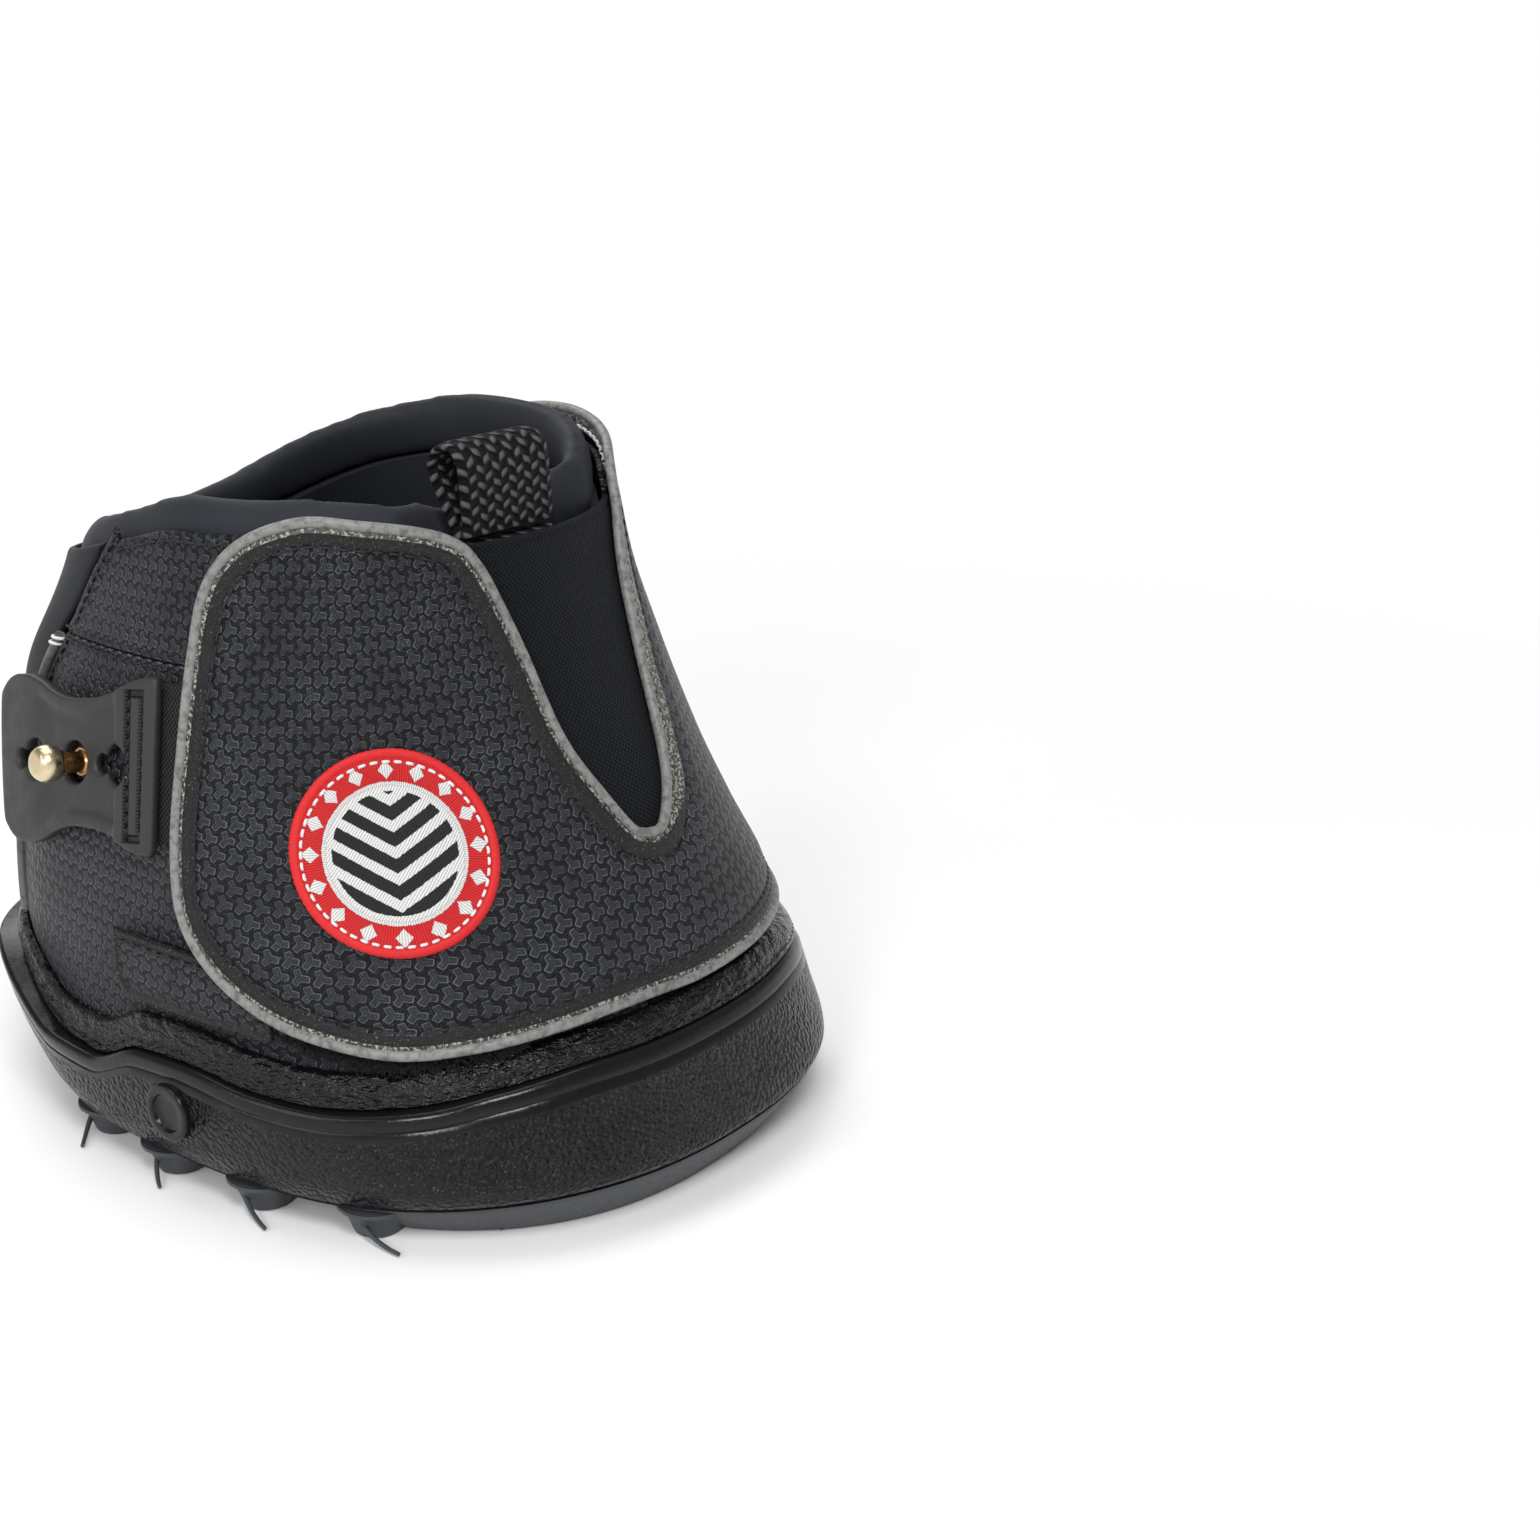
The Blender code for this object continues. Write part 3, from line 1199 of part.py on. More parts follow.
def tab_outer(scaled_along, across):
    """Outer face of the tab: a thick lip with a channel, and a rim round a lower field."""
    along = scaled_along * METRES_PER_DEGREE
    lip = 1 - ease(along, TAB_LIP_LENGTH, TAB_LIP_LENGTH + EDGE_STEP / 2)
    top = TAB_BASE_OUT + TAB_THICKNESS + lip * (TAB_LIP_THICKNESS - TAB_THICKNESS)
    margin = tab_half_width(along / TAB_LENGTH) - abs(across)
    field = ease(margin, TAB_RIB_WIDTH, TAB_RIB_WIDTH + EDGE_STEP / 4)
    fade = 1 - ease(along / TAB_LENGTH, TAB_OUTLINE_SHARES[6][0], TAB_OUTLINE_SHARES[8][0])
    return top - TAB_FIELD_DEPTH * field * fade * (1 - lip)


def keyhole(middle):
    """Outline of one keyhole: a wide round end and a narrow end towards the heel."""
    cling = math.acos((KEYHOLE_RADIUS - KEYHOLE_NARROW_RADIUS) / KEYHOLE_REACH)
    outline = []
    for k in range(KEYHOLE_STEPS + 1):
        turn = cling + (2 * math.pi - 2 * cling) * k / KEYHOLE_STEPS
        outline.append((
            (middle + KEYHOLE_RADIUS * math.cos(turn)) / METRES_PER_DEGREE,
            KEYHOLE_RADIUS * math.sin(turn)))
    small_turns = KEYHOLE_STEPS // 3
    for k in range(small_turns + 1):
        turn = -cling + 2 * cling * k / small_turns
        outline.append((
            (middle + KEYHOLE_REACH + KEYHOLE_NARROW_RADIUS * math.cos(turn)) / METRES_PER_DEGREE,
            KEYHOLE_NARROW_RADIUS * math.sin(turn)))
    return outline


def make_tab():
    count = round(TAB_LENGTH / EDGE_STEP * 1.5)
    upper = []
    end_share = TAB_OUTLINE_SHARES[-1][0]
    for i in range(count + 1):
        share = end_share * i / count
        upper.append((share * TAB_LENGTH / METRES_PER_DEGREE, tab_half_width(share)))
    front = straight([(upper[0][0], -upper[0][1]), (upper[0][0], upper[0][1])])
    half = tab_half_width(end_share)
    nose = []
    for rise, wide in ((0.6, 0.86), (0.85, 0.62), (0.97, 0.32), (1.0, 0), (0.97, -0.32), (0.85, -0.62), (0.6, -0.86)):
        share = end_share + (1 - end_share) * rise
        nose.append((share * TAB_LENGTH / METRES_PER_DEGREE, half * wide))
    lower = [(a, -h) for a, h in reversed(upper)]
    outline = front + upper + nose + lower[:-1]
    holes = [keyhole(TAB_STUD_REACH + step * KEYHOLE_PITCH) for step in (-1, 0, 1)]
    tab = panel(
        "strap_tab", outline, tab_inner, tab_outer, RUBBER_TAB, holes=holes,
        place=tab_point, mesh_step=0.5)

    points = []
    middle = TAB_SLOT_START + TAB_SLOT_WIDTH / 2
    for along in (middle - TAB_SLOT_WIDTH / 2, middle + TAB_SLOT_WIDTH / 2):
        for across in (-TAB_SLOT_LENGTH / 2, TAB_SLOT_LENGTH / 2):
            for out in (TAB_LIP_THICKNESS - TAB_SLOT_DEPTH, TAB_LIP_THICKNESS + TAB_SLOT_DEPTH):
                points.append(tab_point(along / METRES_PER_DEGREE, across, TAB_BASE_OUT + out))
    faces = [(0, 1, 3, 2), (4, 6, 7, 5), (0, 4, 5, 1), (2, 3, 7, 6), (0, 2, 6, 4), (1, 5, 7, 3)]
    slot = make_object("slot_form", points, faces, RUBBER_TAB)
    combine(tab, slot, 'DIFFERENCE')
    return tab


# Stud

def make_stud():
    seat = STUD_SEAT
    axis = STUD_AXIS
    head = STUD_HEAD_RADIUS
    neck = STUD_NECK_RADIUS
    foot = -BASE_THICKNESS - 2 * GAP - NUT_THICKNESS
    profile = [(0, foot), (neck, foot), (neck, GAP), (STUD_FLANGE_RADIUS, GAP)]
    profile.append((STUD_FLANGE_RADIUS, GAP + STUD_FLANGE_THICKNESS))
    profile.append((neck, GAP + STUD_FLANGE_THICKNESS))
    start = math.asin(neck / head)
    for k in range(8):
        turn = start + (math.pi - start) * k / 8
        profile.append((head * math.sin(turn), STUD_HEAD_OUT - head * math.cos(turn)))
    profile.append((0, STUD_HEAD_OUT + head))
    points, faces = turned(profile, STUD_STEPS, seat, axis)
    make_object("stud", points, faces, BRASS)

    bore = neck + GAP
    inner = -BASE_THICKNESS - 2 * GAP
    outer = inner - NUT_THICKNESS
    side = axis.orthogonal().normalized()
    other = axis.cross(side)
    sections = []
    for k in range(STUD_STEPS):
        turn = 2 * math.pi * k / STUD_STEPS
        radial = math.cos(turn) * side + math.sin(turn) * other
        sections.append([
            seat + radial * bore + axis * outer, seat + radial * NUT_RADIUS + axis * outer,
            seat + radial * NUT_RADIUS + axis * inner, seat + radial * bore + axis * inner])
    points, faces = ring(sections)
    make_object("stud_nut", points, faces, BRASS)


clean_scene()

RUBBER_BLACK = material("rubber_black", (0.012, 0.012, 0.013), 0.45)
RUBBER_GREY = material("rubber_grey", (0.035, 0.036, 0.040), 0.60)
RUBBER_GLOSS = material("rubber_gloss", (0.010, 0.010, 0.011), 0.25)
RUBBER_TAB = material("rubber_tab", (0.020, 0.020, 0.022), 0.55)
NEOPRENE = material("neoprene", (0.010, 0.011, 0.016), 0.80)
TEXTILE = material("embossed_textile", (0.016, 0.016, 0.018), 0.55)
ELASTIC = material("elastic_web", (0.010, 0.010, 0.012), 0.85)
WEBBING = material("webbing", (0.014, 0.014, 0.015), 0.75)
PIPING_GREY = material("reflective_piping", (0.30, 0.30, 0.30), 0.45)
HOOK_LOOP = material("hook_and_loop", (0.012, 0.012, 0.012), 0.95)
FOAM = material("insole_foam", (0.020, 0.020, 0.022), 0.90)
BADGE_RED = material("badge_red", (0.60, 0.02, 0.02), 0.70)
BRASS = material("brass", (0.65, 0.45, 0.18), 0.30, 1)

# The stud stands square to the quarter, and the tab lies square to the stud
STUD_PLACE = (STUD_ANGLE, STUD_HEIGHT)
STUD_SEAT = last_point(*STUD_PLACE)
STUD_AXIS = outward(*STUD_PLACE)
level_along = Vector((0, 0, 1)).cross(STUD_AXIS).normalized()
if level_along.y < 0:
    level_along = -level_along
tab_slope = math.radians(STRAP_SLOPE_ANGLE)
steep_across = STUD_AXIS.cross(level_along)
if steep_across.z < 0:
    steep_across = -steep_across
TAB_ALONG = math.cos(tab_slope) * level_along - math.sin(tab_slope) * steep_across
TAB_ACROSS = math.cos(tab_slope) * steep_across + math.sin(tab_slope) * level_along

BADGE_METRES_PER_DEGREE = (
    last_point(BADGE_ANGLE + 1, BADGE_HEIGHT) - last_point(BADGE_ANGLE, BADGE_HEIGHT)).length

# The pull loop folds about a level line just above the gusset's top edge
loop_side_angle = math.degrees(math.atan2(
    LOOP_WIDTH / 2 - LOOP_SIDE_SHIFT, LAST_CENTRE_BACK - last_point(0, GUSSET_TOP_HEIGHT).y))
LOOP_BOW = last_point(loop_side_angle, GUSSET_TOP_HEIGHT).y - last_point(0, GUSSET_TOP_HEIGHT).y
loop_seat = last_point(0, GUSSET_TOP_HEIGHT + GAP, -BASE_THICKNESS - LAYER_GAP - LOOP_WEB)
LOOP_AXIS = loop_seat + Vector((LOOP_SIDE_SHIFT, LOOP_BOW, 0))

make_cup()
make_tread()
make_insole()
make_rand()
make_liner()
make_collar()
make_gusset()
make_lateral_quarter()
make_medial_quarter()
make_heel()
make_cover_and_wing()
make_patches()
make_strip()
make_badge()
make_pull_loop()
make_elastic()
make_tab()
make_stud()

FRAME_SHIFT = settle()
fold_out = LAYER_GAP + COVER_THICKNESS + HINGE_PROUD
WING_AXIS_FOOT = last_point(HINGE_ANGLE, COVER_FOOT_HEIGHT, fold_out) + FRAME_SHIFT
WING_AXIS_TIP = last_point(HINGE_ANGLE, GUSSET_TIP_HEIGHT, fold_out) + FRAME_SHIFT
strap_out = LAYER_GAP + ELASTIC_THICKNESS / 2
STRAP_AXIS_FOOT = last_point(STRAP_AXIS_ANGLE, STRAP_LOW_HEIGHT, strap_out) + FRAME_SHIFT
STRAP_AXIS_TIP = last_point(STRAP_AXIS_ANGLE, STRAP_HIGH_HEIGHT, strap_out) + FRAME_SHIFT
hang("wing_axis", WING_AXIS_FOOT, WING_AXIS_TIP, ("wing", "wing_piping", "wing_hook_patch", "badge_patch"))
hang("strap_axis", STRAP_AXIS_FOOT, STRAP_AXIS_TIP, ("strap_elastic", "strap_tab"))
hang("loop_axis", LOOP_AXIS + FRAME_SHIFT, LOOP_AXIS + FRAME_SHIFT, ("pull_loop",))
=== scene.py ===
"""Looks of the horse hoof boot: fine cloth, rubber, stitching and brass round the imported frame.

Metres, +Z up, toe towards -Y, outer (lateral) side towards -X.
A place on the upper is an angle (0 at the toe, positive towards the lateral
side, 180 at the heel), a height above the ground and an offset outwards from
the base panels' outer face. The surfaces follow the same oval columns as the frame.
"""
import json
import math

import bpy
import numpy as np
from mathutils import Matrix, Vector
from mathutils.bvhtree import BVHTree
from mathutils.geometry import delaunay_2d_cdt


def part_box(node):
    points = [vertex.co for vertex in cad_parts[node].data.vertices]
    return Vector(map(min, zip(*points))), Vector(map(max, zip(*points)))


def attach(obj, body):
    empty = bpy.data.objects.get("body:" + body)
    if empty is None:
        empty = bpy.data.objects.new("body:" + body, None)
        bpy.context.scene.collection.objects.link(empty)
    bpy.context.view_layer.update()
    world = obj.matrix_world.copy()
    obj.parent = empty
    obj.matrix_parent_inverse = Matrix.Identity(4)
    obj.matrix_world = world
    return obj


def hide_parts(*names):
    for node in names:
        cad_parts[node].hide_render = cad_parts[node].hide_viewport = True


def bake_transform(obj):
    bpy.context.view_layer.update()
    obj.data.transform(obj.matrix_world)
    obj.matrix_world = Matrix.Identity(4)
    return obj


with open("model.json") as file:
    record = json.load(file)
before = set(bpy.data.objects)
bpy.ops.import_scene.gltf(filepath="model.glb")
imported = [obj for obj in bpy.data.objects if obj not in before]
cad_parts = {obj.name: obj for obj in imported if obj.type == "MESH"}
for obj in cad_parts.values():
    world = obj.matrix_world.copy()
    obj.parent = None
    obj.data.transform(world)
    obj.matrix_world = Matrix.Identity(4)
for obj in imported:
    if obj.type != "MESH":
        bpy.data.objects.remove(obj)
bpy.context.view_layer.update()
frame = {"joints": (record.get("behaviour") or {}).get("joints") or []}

GAP = 0.0003
LAYER_GAP = 0.0005

# Sole column
SOLE_HALF_WIDTH = 0.0740
SOLE_TOE_REACH = 0.0920
SOLE_HEEL_REACH = 0.0850
SOLE_HEIGHT = 0.0340
SOLE_CENTRE_BACK = -0.0030
SOLE_HEIGHT_SHARES = (0.0, 0.21, 0.41, 0.70, 1.0)
SOLE_WIDTH_SHARES = (0.892, 0.960, 0.993, 1.0, 0.993)
SOLE_TOE_SHARES = (0.913, 0.965, 1.0, 0.950, 0.900)
SOLE_HEEL_SHARES = (0.620, 0.690, 0.800, 0.925, 1.02)
SOLE_TOE_POWER = 2.35
SOLE_HEEL_POWER = 3.2
LIP_ANGLES = (-180, -90, -60, -40, -20, 0, 20, 34, 46, 60, 180)
LIP_SHARES = (0.60, 0.60, 0.80, 1.0, 1.0, 0.96, 0.88, 0.77, 0.66, 0.58, 0.60)
LIP_HEIGHT = 0.0135
SIDE_ANGLES = (0, 20, 35, 46, 60, 72, 84, 96, 108, 118, 128, 140, 160, 180)
RIM_SHARES = (1.0, 1.0, 0.94, 0.86, 0.81, 0.83, 0.88, 0.86, 0.70, 0.70, 0.85, 0.99, 1.03, 1.03)
RAND_SHARES = (0.76, 0.74, 0.76, 0.86, 0.95, 1.0, 1.0, 1.0, 1.0, 1.0, 1.0, 0.95, 0.90, 0.90)
RAND_BREADTH = 0.0072
CUP_FLOOR_HEIGHT = 0.0075
CUP_FLOOR_THICKNESS = 0.0048
CUP_FLOOR_INSET = 0.0090
CUP_EASE = 0.0006
RIM_ROUND = 0.0012

# Upper column
LAST_HALF_WIDTH = 0.0702
LAST_TOE_REACH = 0.0812
LAST_HEEL_REACH = 0.0797
LAST_HEIGHT = 0.1500
LAST_SIDE_SHIFT = 0.0008
LAST_CENTRE_BACK = 0.0130
LAST_HEIGHT_SHARES = (0.08, 0.20, 0.28, 0.40, 0.50, 0.633, 0.733, 0.853, 1.0)
LAST_WIDTH_SHARES = (0.977, 0.996, 0.990, 0.959, 0.923, 0.866, 0.819, 0.777, 0.740)
LAST_TOE_SHARES = (1.0, 0.983, 0.940, 0.820, 0.718, 0.608, 0.544, 0.484, 0.400)
LAST_HEEL_SHARES = (0.74, 0.95, 1.020, 1.030, 1.000, 0.925, 0.840, 0.735, 0.625)
LAST_TOE_POWERS = (2.35, 2.35, 2.25, 2.05, 1.95, 1.90, 1.90, 2.00, 2.2)
LAST_HEEL_POWER = 2.9
LAST_CENTRE_SHARES = (-0.23, -0.19, -0.12, 0.05, 0.20, 0.42, 0.60, 0.80, 1.0)
METRES_PER_DEGREE = math.radians(LAST_HALF_WIDTH)

# Collar, lining and insole
COLLAR_HEIGHT = 0.1420
COLLAR_THICKNESS = 0.0078
COLLAR_DEPTH = 0.0125
COLLAR_ANGLES = (-180, -160, -130, -95, -60, -30, 0, 30, 55, 83, 100, 130, 160, 180)
COLLAR_SHARES = (
    0.887, 0.925, 0.975, 1.0, 0.990, 0.950, 0.915, 0.945, 0.965, 0.965, 0.940, 0.890, 0.868, 0.887)
LOOP_ROOM = 0.0074
LOOP_ROOM_ANGLE = 22
LOOP_ROOM_FADE_ANGLE = 14
LINER_THICKNESS = 0.0032
LINER_ROOM = 0.0010
INSOLE_THICKNESS = 0.0044
INSOLE_INSET = 0.0006
CUP_INNER_FLOOR = CUP_FLOOR_HEIGHT + CUP_FLOOR_THICKNESS
INSOLE_TOP = CUP_INNER_FLOOR + GAP + INSOLE_THICKNESS

# Panels of the upper
BASE_THICKNESS = 0.0016
BASE_FOOT_HEIGHT = 0.0200
PANEL_DROP = 0.0062
SEAM_HEIGHT = 0.1055
HEEL_PUFF = 0.0030
REAR_EDGE_ANGLES = (136, 136, 133, 128, 121, 112, 100)
REAR_EDGE_SHARES = (0.0, 0.30, 0.49, 0.66, 0.76, 0.88, 1.0)
REAR_EDGE_HEIGHT = 0.1320
HEEL_PIPING_TOP_HEIGHT = 0.1045
GUSSET_TIP_HEIGHT = 0.0680
GUSSET_TOP_HEIGHT = 0.1270
GUSSET_LAP_ANGLE = 5
GUSSET_ROOT_ANGLE = 8

# Wrap: the cover and the wing
COVER_THICKNESS = 0.0016
PIPING_RADIUS = 0.0011
COVER_FOOT_HEIGHT = 0.0413
COVER_TOP_HEIGHT = 0.1345
HINGE_ANGLE = -1
WING_EDGE_SHARES = (
    (4.0, 0.15), (9.4, 0.35), (13.6, 0.65), (18.0, 0.86), (21.0, 0.96))
WING_TOP_SHARES = (
    (24.5, 0.935), (31.6, 0.966), (43.5, 0.989), (54.9, 1.0), (66.6, 0.955), (74.3, 0.863), (78.4, 0.721))
WING_REAR_SHARES = (
    (81.3, 0.521), (82.9, 0.338), (81.7, 0.20), (75.7, 0.103), (66.3, 0.034), (57.3, 0.0))
WING_FOOT_SHARES = ((47.8, -0.018), (37.2, -0.009), (19.6, 0.013))
COVER_EDGE_SHARES = (
    (-6.5, -0.01), (-11.2, 0.04), (-17.0, 0.15), (-22.5, 0.34), (-28.0, 0.60), (-34.0, 0.865), (-38.5, 0.965))
COVER_TOP_SHARES = ((-44, 1.0), (-52, 1.03), (-63, 1.05), (-78, 1.06), (-93, 1.04), (-102, 0.96))
COVER_REAR_SHARES = (
    (-106, 0.80), (-107, 0.60), (-107, 0.40), (-106, 0.20), (-103, 0.08), (-96, 0.01), (-84, 0.0))
COVER_FOOT_SHARES = ((-60, 0.0), (-36, 0.0), (-16, 0.0))
LOOP_PATCH_THICKNESS = 0.0007
HOOK_PATCH_THICKNESS = 0.0008
LOOP_PATCH_OUT = LAYER_GAP + LOOP_PATCH_THICKNESS
HOOK_PATCH_OUT = LOOP_PATCH_OUT + LAYER_GAP + HOOK_PATCH_THICKNESS
WING_STANDOFF = HOOK_PATCH_OUT + LAYER_GAP
WING_RISE_FIRST_ANGLE = 6
WING_RISE_LAST_ANGLE = 26

# Steps of the fine meshes
ROUND_STEPS = 288
CLOTH_STEP = 0.0017
EDGE_STEP = 0.0011
NUDGE = 0.0002                  # small step that reads a surface's slope

# One stitch: places along it, widths there, and how it arches and dives
STITCH_MARKS = (-0.5, -0.44, -0.28, 0, 0.28, 0.44, 0.5)
STITCH_WIDTHS = (0.35, 0.8, 1, 1, 1, 0.8, 0.35)
STITCH_SIDES = 6
STITCH_RISE = 0.35
STITCH_DIVE = 5.5


# Arrays and interpolation

def interpolant(knots, values):
    """Monotone cubic through a table, level beyond its ends."""
    x = np.array(knots, float)
    y = np.array(values, float)
    h = np.diff(x)
    d = np.diff(y) / h
    m = np.zeros(len(x))
    m[0] = d[0]
    m[-1] = d[-1]
    for i in range(1, len(x) - 1):
        if d[i - 1] * d[i] > 0:
            first = 2 * h[i] + h[i - 1]
            second = h[i] + 2 * h[i - 1]
            m[i] = (first + second) / (first / d[i - 1] + second / d[i])

    def read(value):
        v = np.clip(value, x[0], x[-1])
        k = np.clip(np.searchsorted(x, v, side="right") - 1, 0, len(h) - 1)
        t = (v - x[k]) / h[k]
        return (
            (2 * t ** 3 - 3 * t ** 2 + 1) * y[k] + (t ** 3 - 2 * t ** 2 + t) * h[k] * m[k]
            + (3 * t ** 2 - 2 * t ** 3) * y[k + 1] + (t ** 3 - t ** 2) * h[k] * m[k + 1])
    return read


def ease(value, low, high):
    t = np.clip((value - low) / (high - low), 0, 1)
    return t * t * (3 - 2 * t)


def around(angle):
    return (np.asarray(angle, float) + 180) % 360 - 180


def spread(*values):
    return np.broadcast_arrays(*(np.asarray(value, float) for value in values))


def turns(steps):
    """Angles in radians, evenly round a circle."""
    return 2 * np.pi * np.arange(steps) / steps


def run_along(points):
    """Distance from the first point of an open line to each of its points."""
    return np.concatenate([[0], np.cumsum(np.linalg.norm(np.diff(points, axis=0), axis=1))])


def unit(vectors):
    size = np.linalg.norm(vectors, axis=-1, keepdims=True)
    return vectors / np.maximum(size, 1e-12)


def ripple(points, size, seed=0):
    """Gentle uneven waves over an array of points, between about -1 and 1."""
    p = np.asarray(points) / size + seed * 7.31
    x, y, z = p[..., 0], p[..., 1], p[..., 2]
    return (
        np.sin(1.7 * x + 0.9 * np.sin(1.3 * y)) + np.sin(1.9 * y + 1.1 * np.sin(1.1 * z + 2.0))
        + np.sin(1.5 * z + 1.2 * np.sin(1.4 * x + 1.0))) / 3


# The two oval columns

sole_width, sole_toe, sole_heel = (
    interpolant(SOLE_HEIGHT_SHARES, shares) for shares in (
        SOLE_WIDTH_SHARES, SOLE_TOE_SHARES, SOLE_HEEL_SHARES))
last_width, last_toe, last_heel, last_power, last_centre = (
    interpolant(LAST_HEIGHT_SHARES, shares) for shares in (
        LAST_WIDTH_SHARES, LAST_TOE_SHARES, LAST_HEEL_SHARES, LAST_TOE_POWERS, LAST_CENTRE_SHARES))
rim_shape = interpolant(SIDE_ANGLES, RIM_SHARES)
rand_shape = interpolant(SIDE_ANGLES, RAND_SHARES)
lip_shape = interpolant(LIP_ANGLES, LIP_SHARES)
collar_shape = interpolant(COLLAR_ANGLES, COLLAR_SHARES)
rear_shape = interpolant(REAR_EDGE_SHARES, REAR_EDGE_ANGLES)


def oval(half_width, toe, heel, toe_power, heel_power, centre, angle, offset):
    turn = np.radians(angle)
    across = -np.sin(turn)
    along = -np.cos(turn)
    reach = np.where(along < 0, toe + centre, heel - centre)
    power = np.where(along < 0, toe_power, heel_power)
    radius = ((np.abs(across) / half_width) ** power + (np.abs(along) / reach) ** power) ** (-1 / power)
    x = radius * across
    y = radius * along
    normal_x = np.copysign((np.abs(x) / half_width) ** (power - 1) / half_width, x)
    normal_y = np.copysign((np.abs(y) / reach) ** (power - 1) / reach, y)
    size = np.hypot(normal_x, normal_y)
    return x + offset * normal_x / size, centre + y + offset * normal_y / size


def raw_upper(angle, height, offset=0.0):
    angle, height, offset = spread(angle, height, offset)
    share = height / LAST_HEIGHT
    x, y = oval(
        LAST_HALF_WIDTH * last_width(share), LAST_TOE_REACH * last_toe(share),
        LAST_HEEL_REACH * last_heel(share), last_power(share), LAST_HEEL_POWER,
        LAST_CENTRE_BACK * last_centre(share), angle, offset)
    return np.stack([x + LAST_SIDE_SHIFT, y, height], -1)


def find_shift():
    """From the columns' own origin to the frame's, read from the insole's place."""
    low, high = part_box("insole_pad")
    levels = raw_upper(0.0, np.array([CUP_INNER_FLOOR + GAP, INSOLE_TOP]), -INSOLE_INSET)
    return np.array([(low.x + high.x) / 2 - LAST_SIDE_SHIFT, low.y - levels[:, 1].min(), 0])


SHIFT = find_shift()


def upper(angle, height, offset=0.0):
    return raw_upper(angle, height, offset) + SHIFT


def sole(angle, height, offset=0.0):
    angle, height, offset = spread(angle, height, offset)
    share = height / SOLE_HEIGHT
    x, y = oval(
        SOLE_HALF_WIDTH * sole_width(share), SOLE_TOE_REACH * sole_toe(share),
        SOLE_HEEL_REACH * sole_heel(share), SOLE_TOE_POWER, SOLE_HEEL_POWER,
        SOLE_CENTRE_BACK, angle, offset)
    return np.stack([x, y, height], -1) + SHIFT


def rim_height(angle):
    return SOLE_HEIGHT * rim_shape(np.abs(around(angle)))


def rand_height(angle):
    return rim_height(angle) + RAND_BREADTH * rand_shape(np.abs(around(angle)))


def lip_height(angle):
    return LIP_HEIGHT * lip_shape(around(angle))


def collar_height(angle):
    return COLLAR_HEIGHT * collar_shape(around(angle))


def panel_top(angle):
    return collar_height(angle) - PANEL_DROP


def outward(angle, height, place=upper):
    turn = place(angle + 0.5, height) - place(angle - 0.5, height)
    rise = place(angle, height + NUDGE) - place(angle, height - NUDGE)
    return unit(np.cross(rise, turn))


def degree_size(angle, height):
    return np.linalg.norm(upper(angle + 0.5, height) - upper(angle - 0.5, height), axis=-1)


# Paths in angle and height, as arrays of two columns

def flat(path):
    return np.stack([path[:, 0] * METRES_PER_DEGREE, path[:, 1]], -1)


def curve(knots, step=EDGE_STEP):
    knots = np.array(knots, float)
    result = []
    for i in range(len(knots) - 1):
        a = knots[max(i - 1, 0)]
        b, c = knots[i], knots[i + 1]
        d = knots[min(i + 2, len(knots) - 1)]
        span = np.linalg.norm((c - b) * (METRES_PER_DEGREE, 1))
        t = np.linspace(0, 1, max(1, round(span / step)), endpoint=False)[:, None]
        result.append((
            (-t + 2 * t * t - t ** 3) * a + (2 - 5 * t * t + 3 * t ** 3) * b
            + (t + 4 * t * t - 3 * t ** 3) * c + (t ** 3 - t * t) * d) / 2)
    return np.concatenate([*result, knots[-1:]])


def straight(knots, step=EDGE_STEP):
    """Points along straight lines, without the last knot."""
    knots = np.array(knots, float)
    result = []
    for a, b in zip(knots, knots[1:]):
        span = np.linalg.norm((b - a) * (METRES_PER_DEGREE, 1))
        t = np.linspace(0, 1, max(1, round(span / step)), endpoint=False)[:, None]
        result.append(a + t * (b - a))
    return np.concatenate(result)


def spaced(path, step, place=upper):
    """The open path with its points at even distances."""
    places = place(path[:, 0], path[:, 1])
    run = run_along(places)
    marks = np.linspace(0, run[-1], max(2, round(run[-1] / step) + 1))
    return np.stack([np.interp(marks, run, path[:, k]) for k in (0, 1)], -1)


def along_path(points, closed=False):
    if closed:
        return unit(np.roll(points, -1, 0) - np.roll(points, 1, 0))
    return unit(np.gradient(points, axis=0))


def shift_path(path, distance, closed=False):
    """The path moved sideways over the upper; positive is to the right of travel."""
    angle, height = path.T
    side = unit(np.cross(along_path(upper(angle, height), closed), outward(angle, height)))
    turn = upper(angle + 1, height) - upper(angle - 1, height)
    rise = (upper(angle, height + NUDGE) - upper(angle, height - NUDGE)) / (2 * NUDGE)
    level = side - rise * side[:, 2:]
    move = 2 * np.sum(level * turn, 1) / np.sum(turn * turn, 1)
    return path + distance * np.stack([move, side[:, 2]], -1)


def inside(points, loop):
    x, y = points[:, :1], points[:, 1:]
    a = loop
    b = np.roll(loop, -1, 0)
    with np.errstate(divide="ignore", invalid="ignore"):
        cross = (b[:, 0] - a[:, 0]) * (y - a[:, 1]) / (b[:, 1] - a[:, 1]) + a[:, 0]
    hits = ((a[:, 1] > y) != (b[:, 1] > y)) & (x < cross)
    return hits.sum(1) % 2 == 1


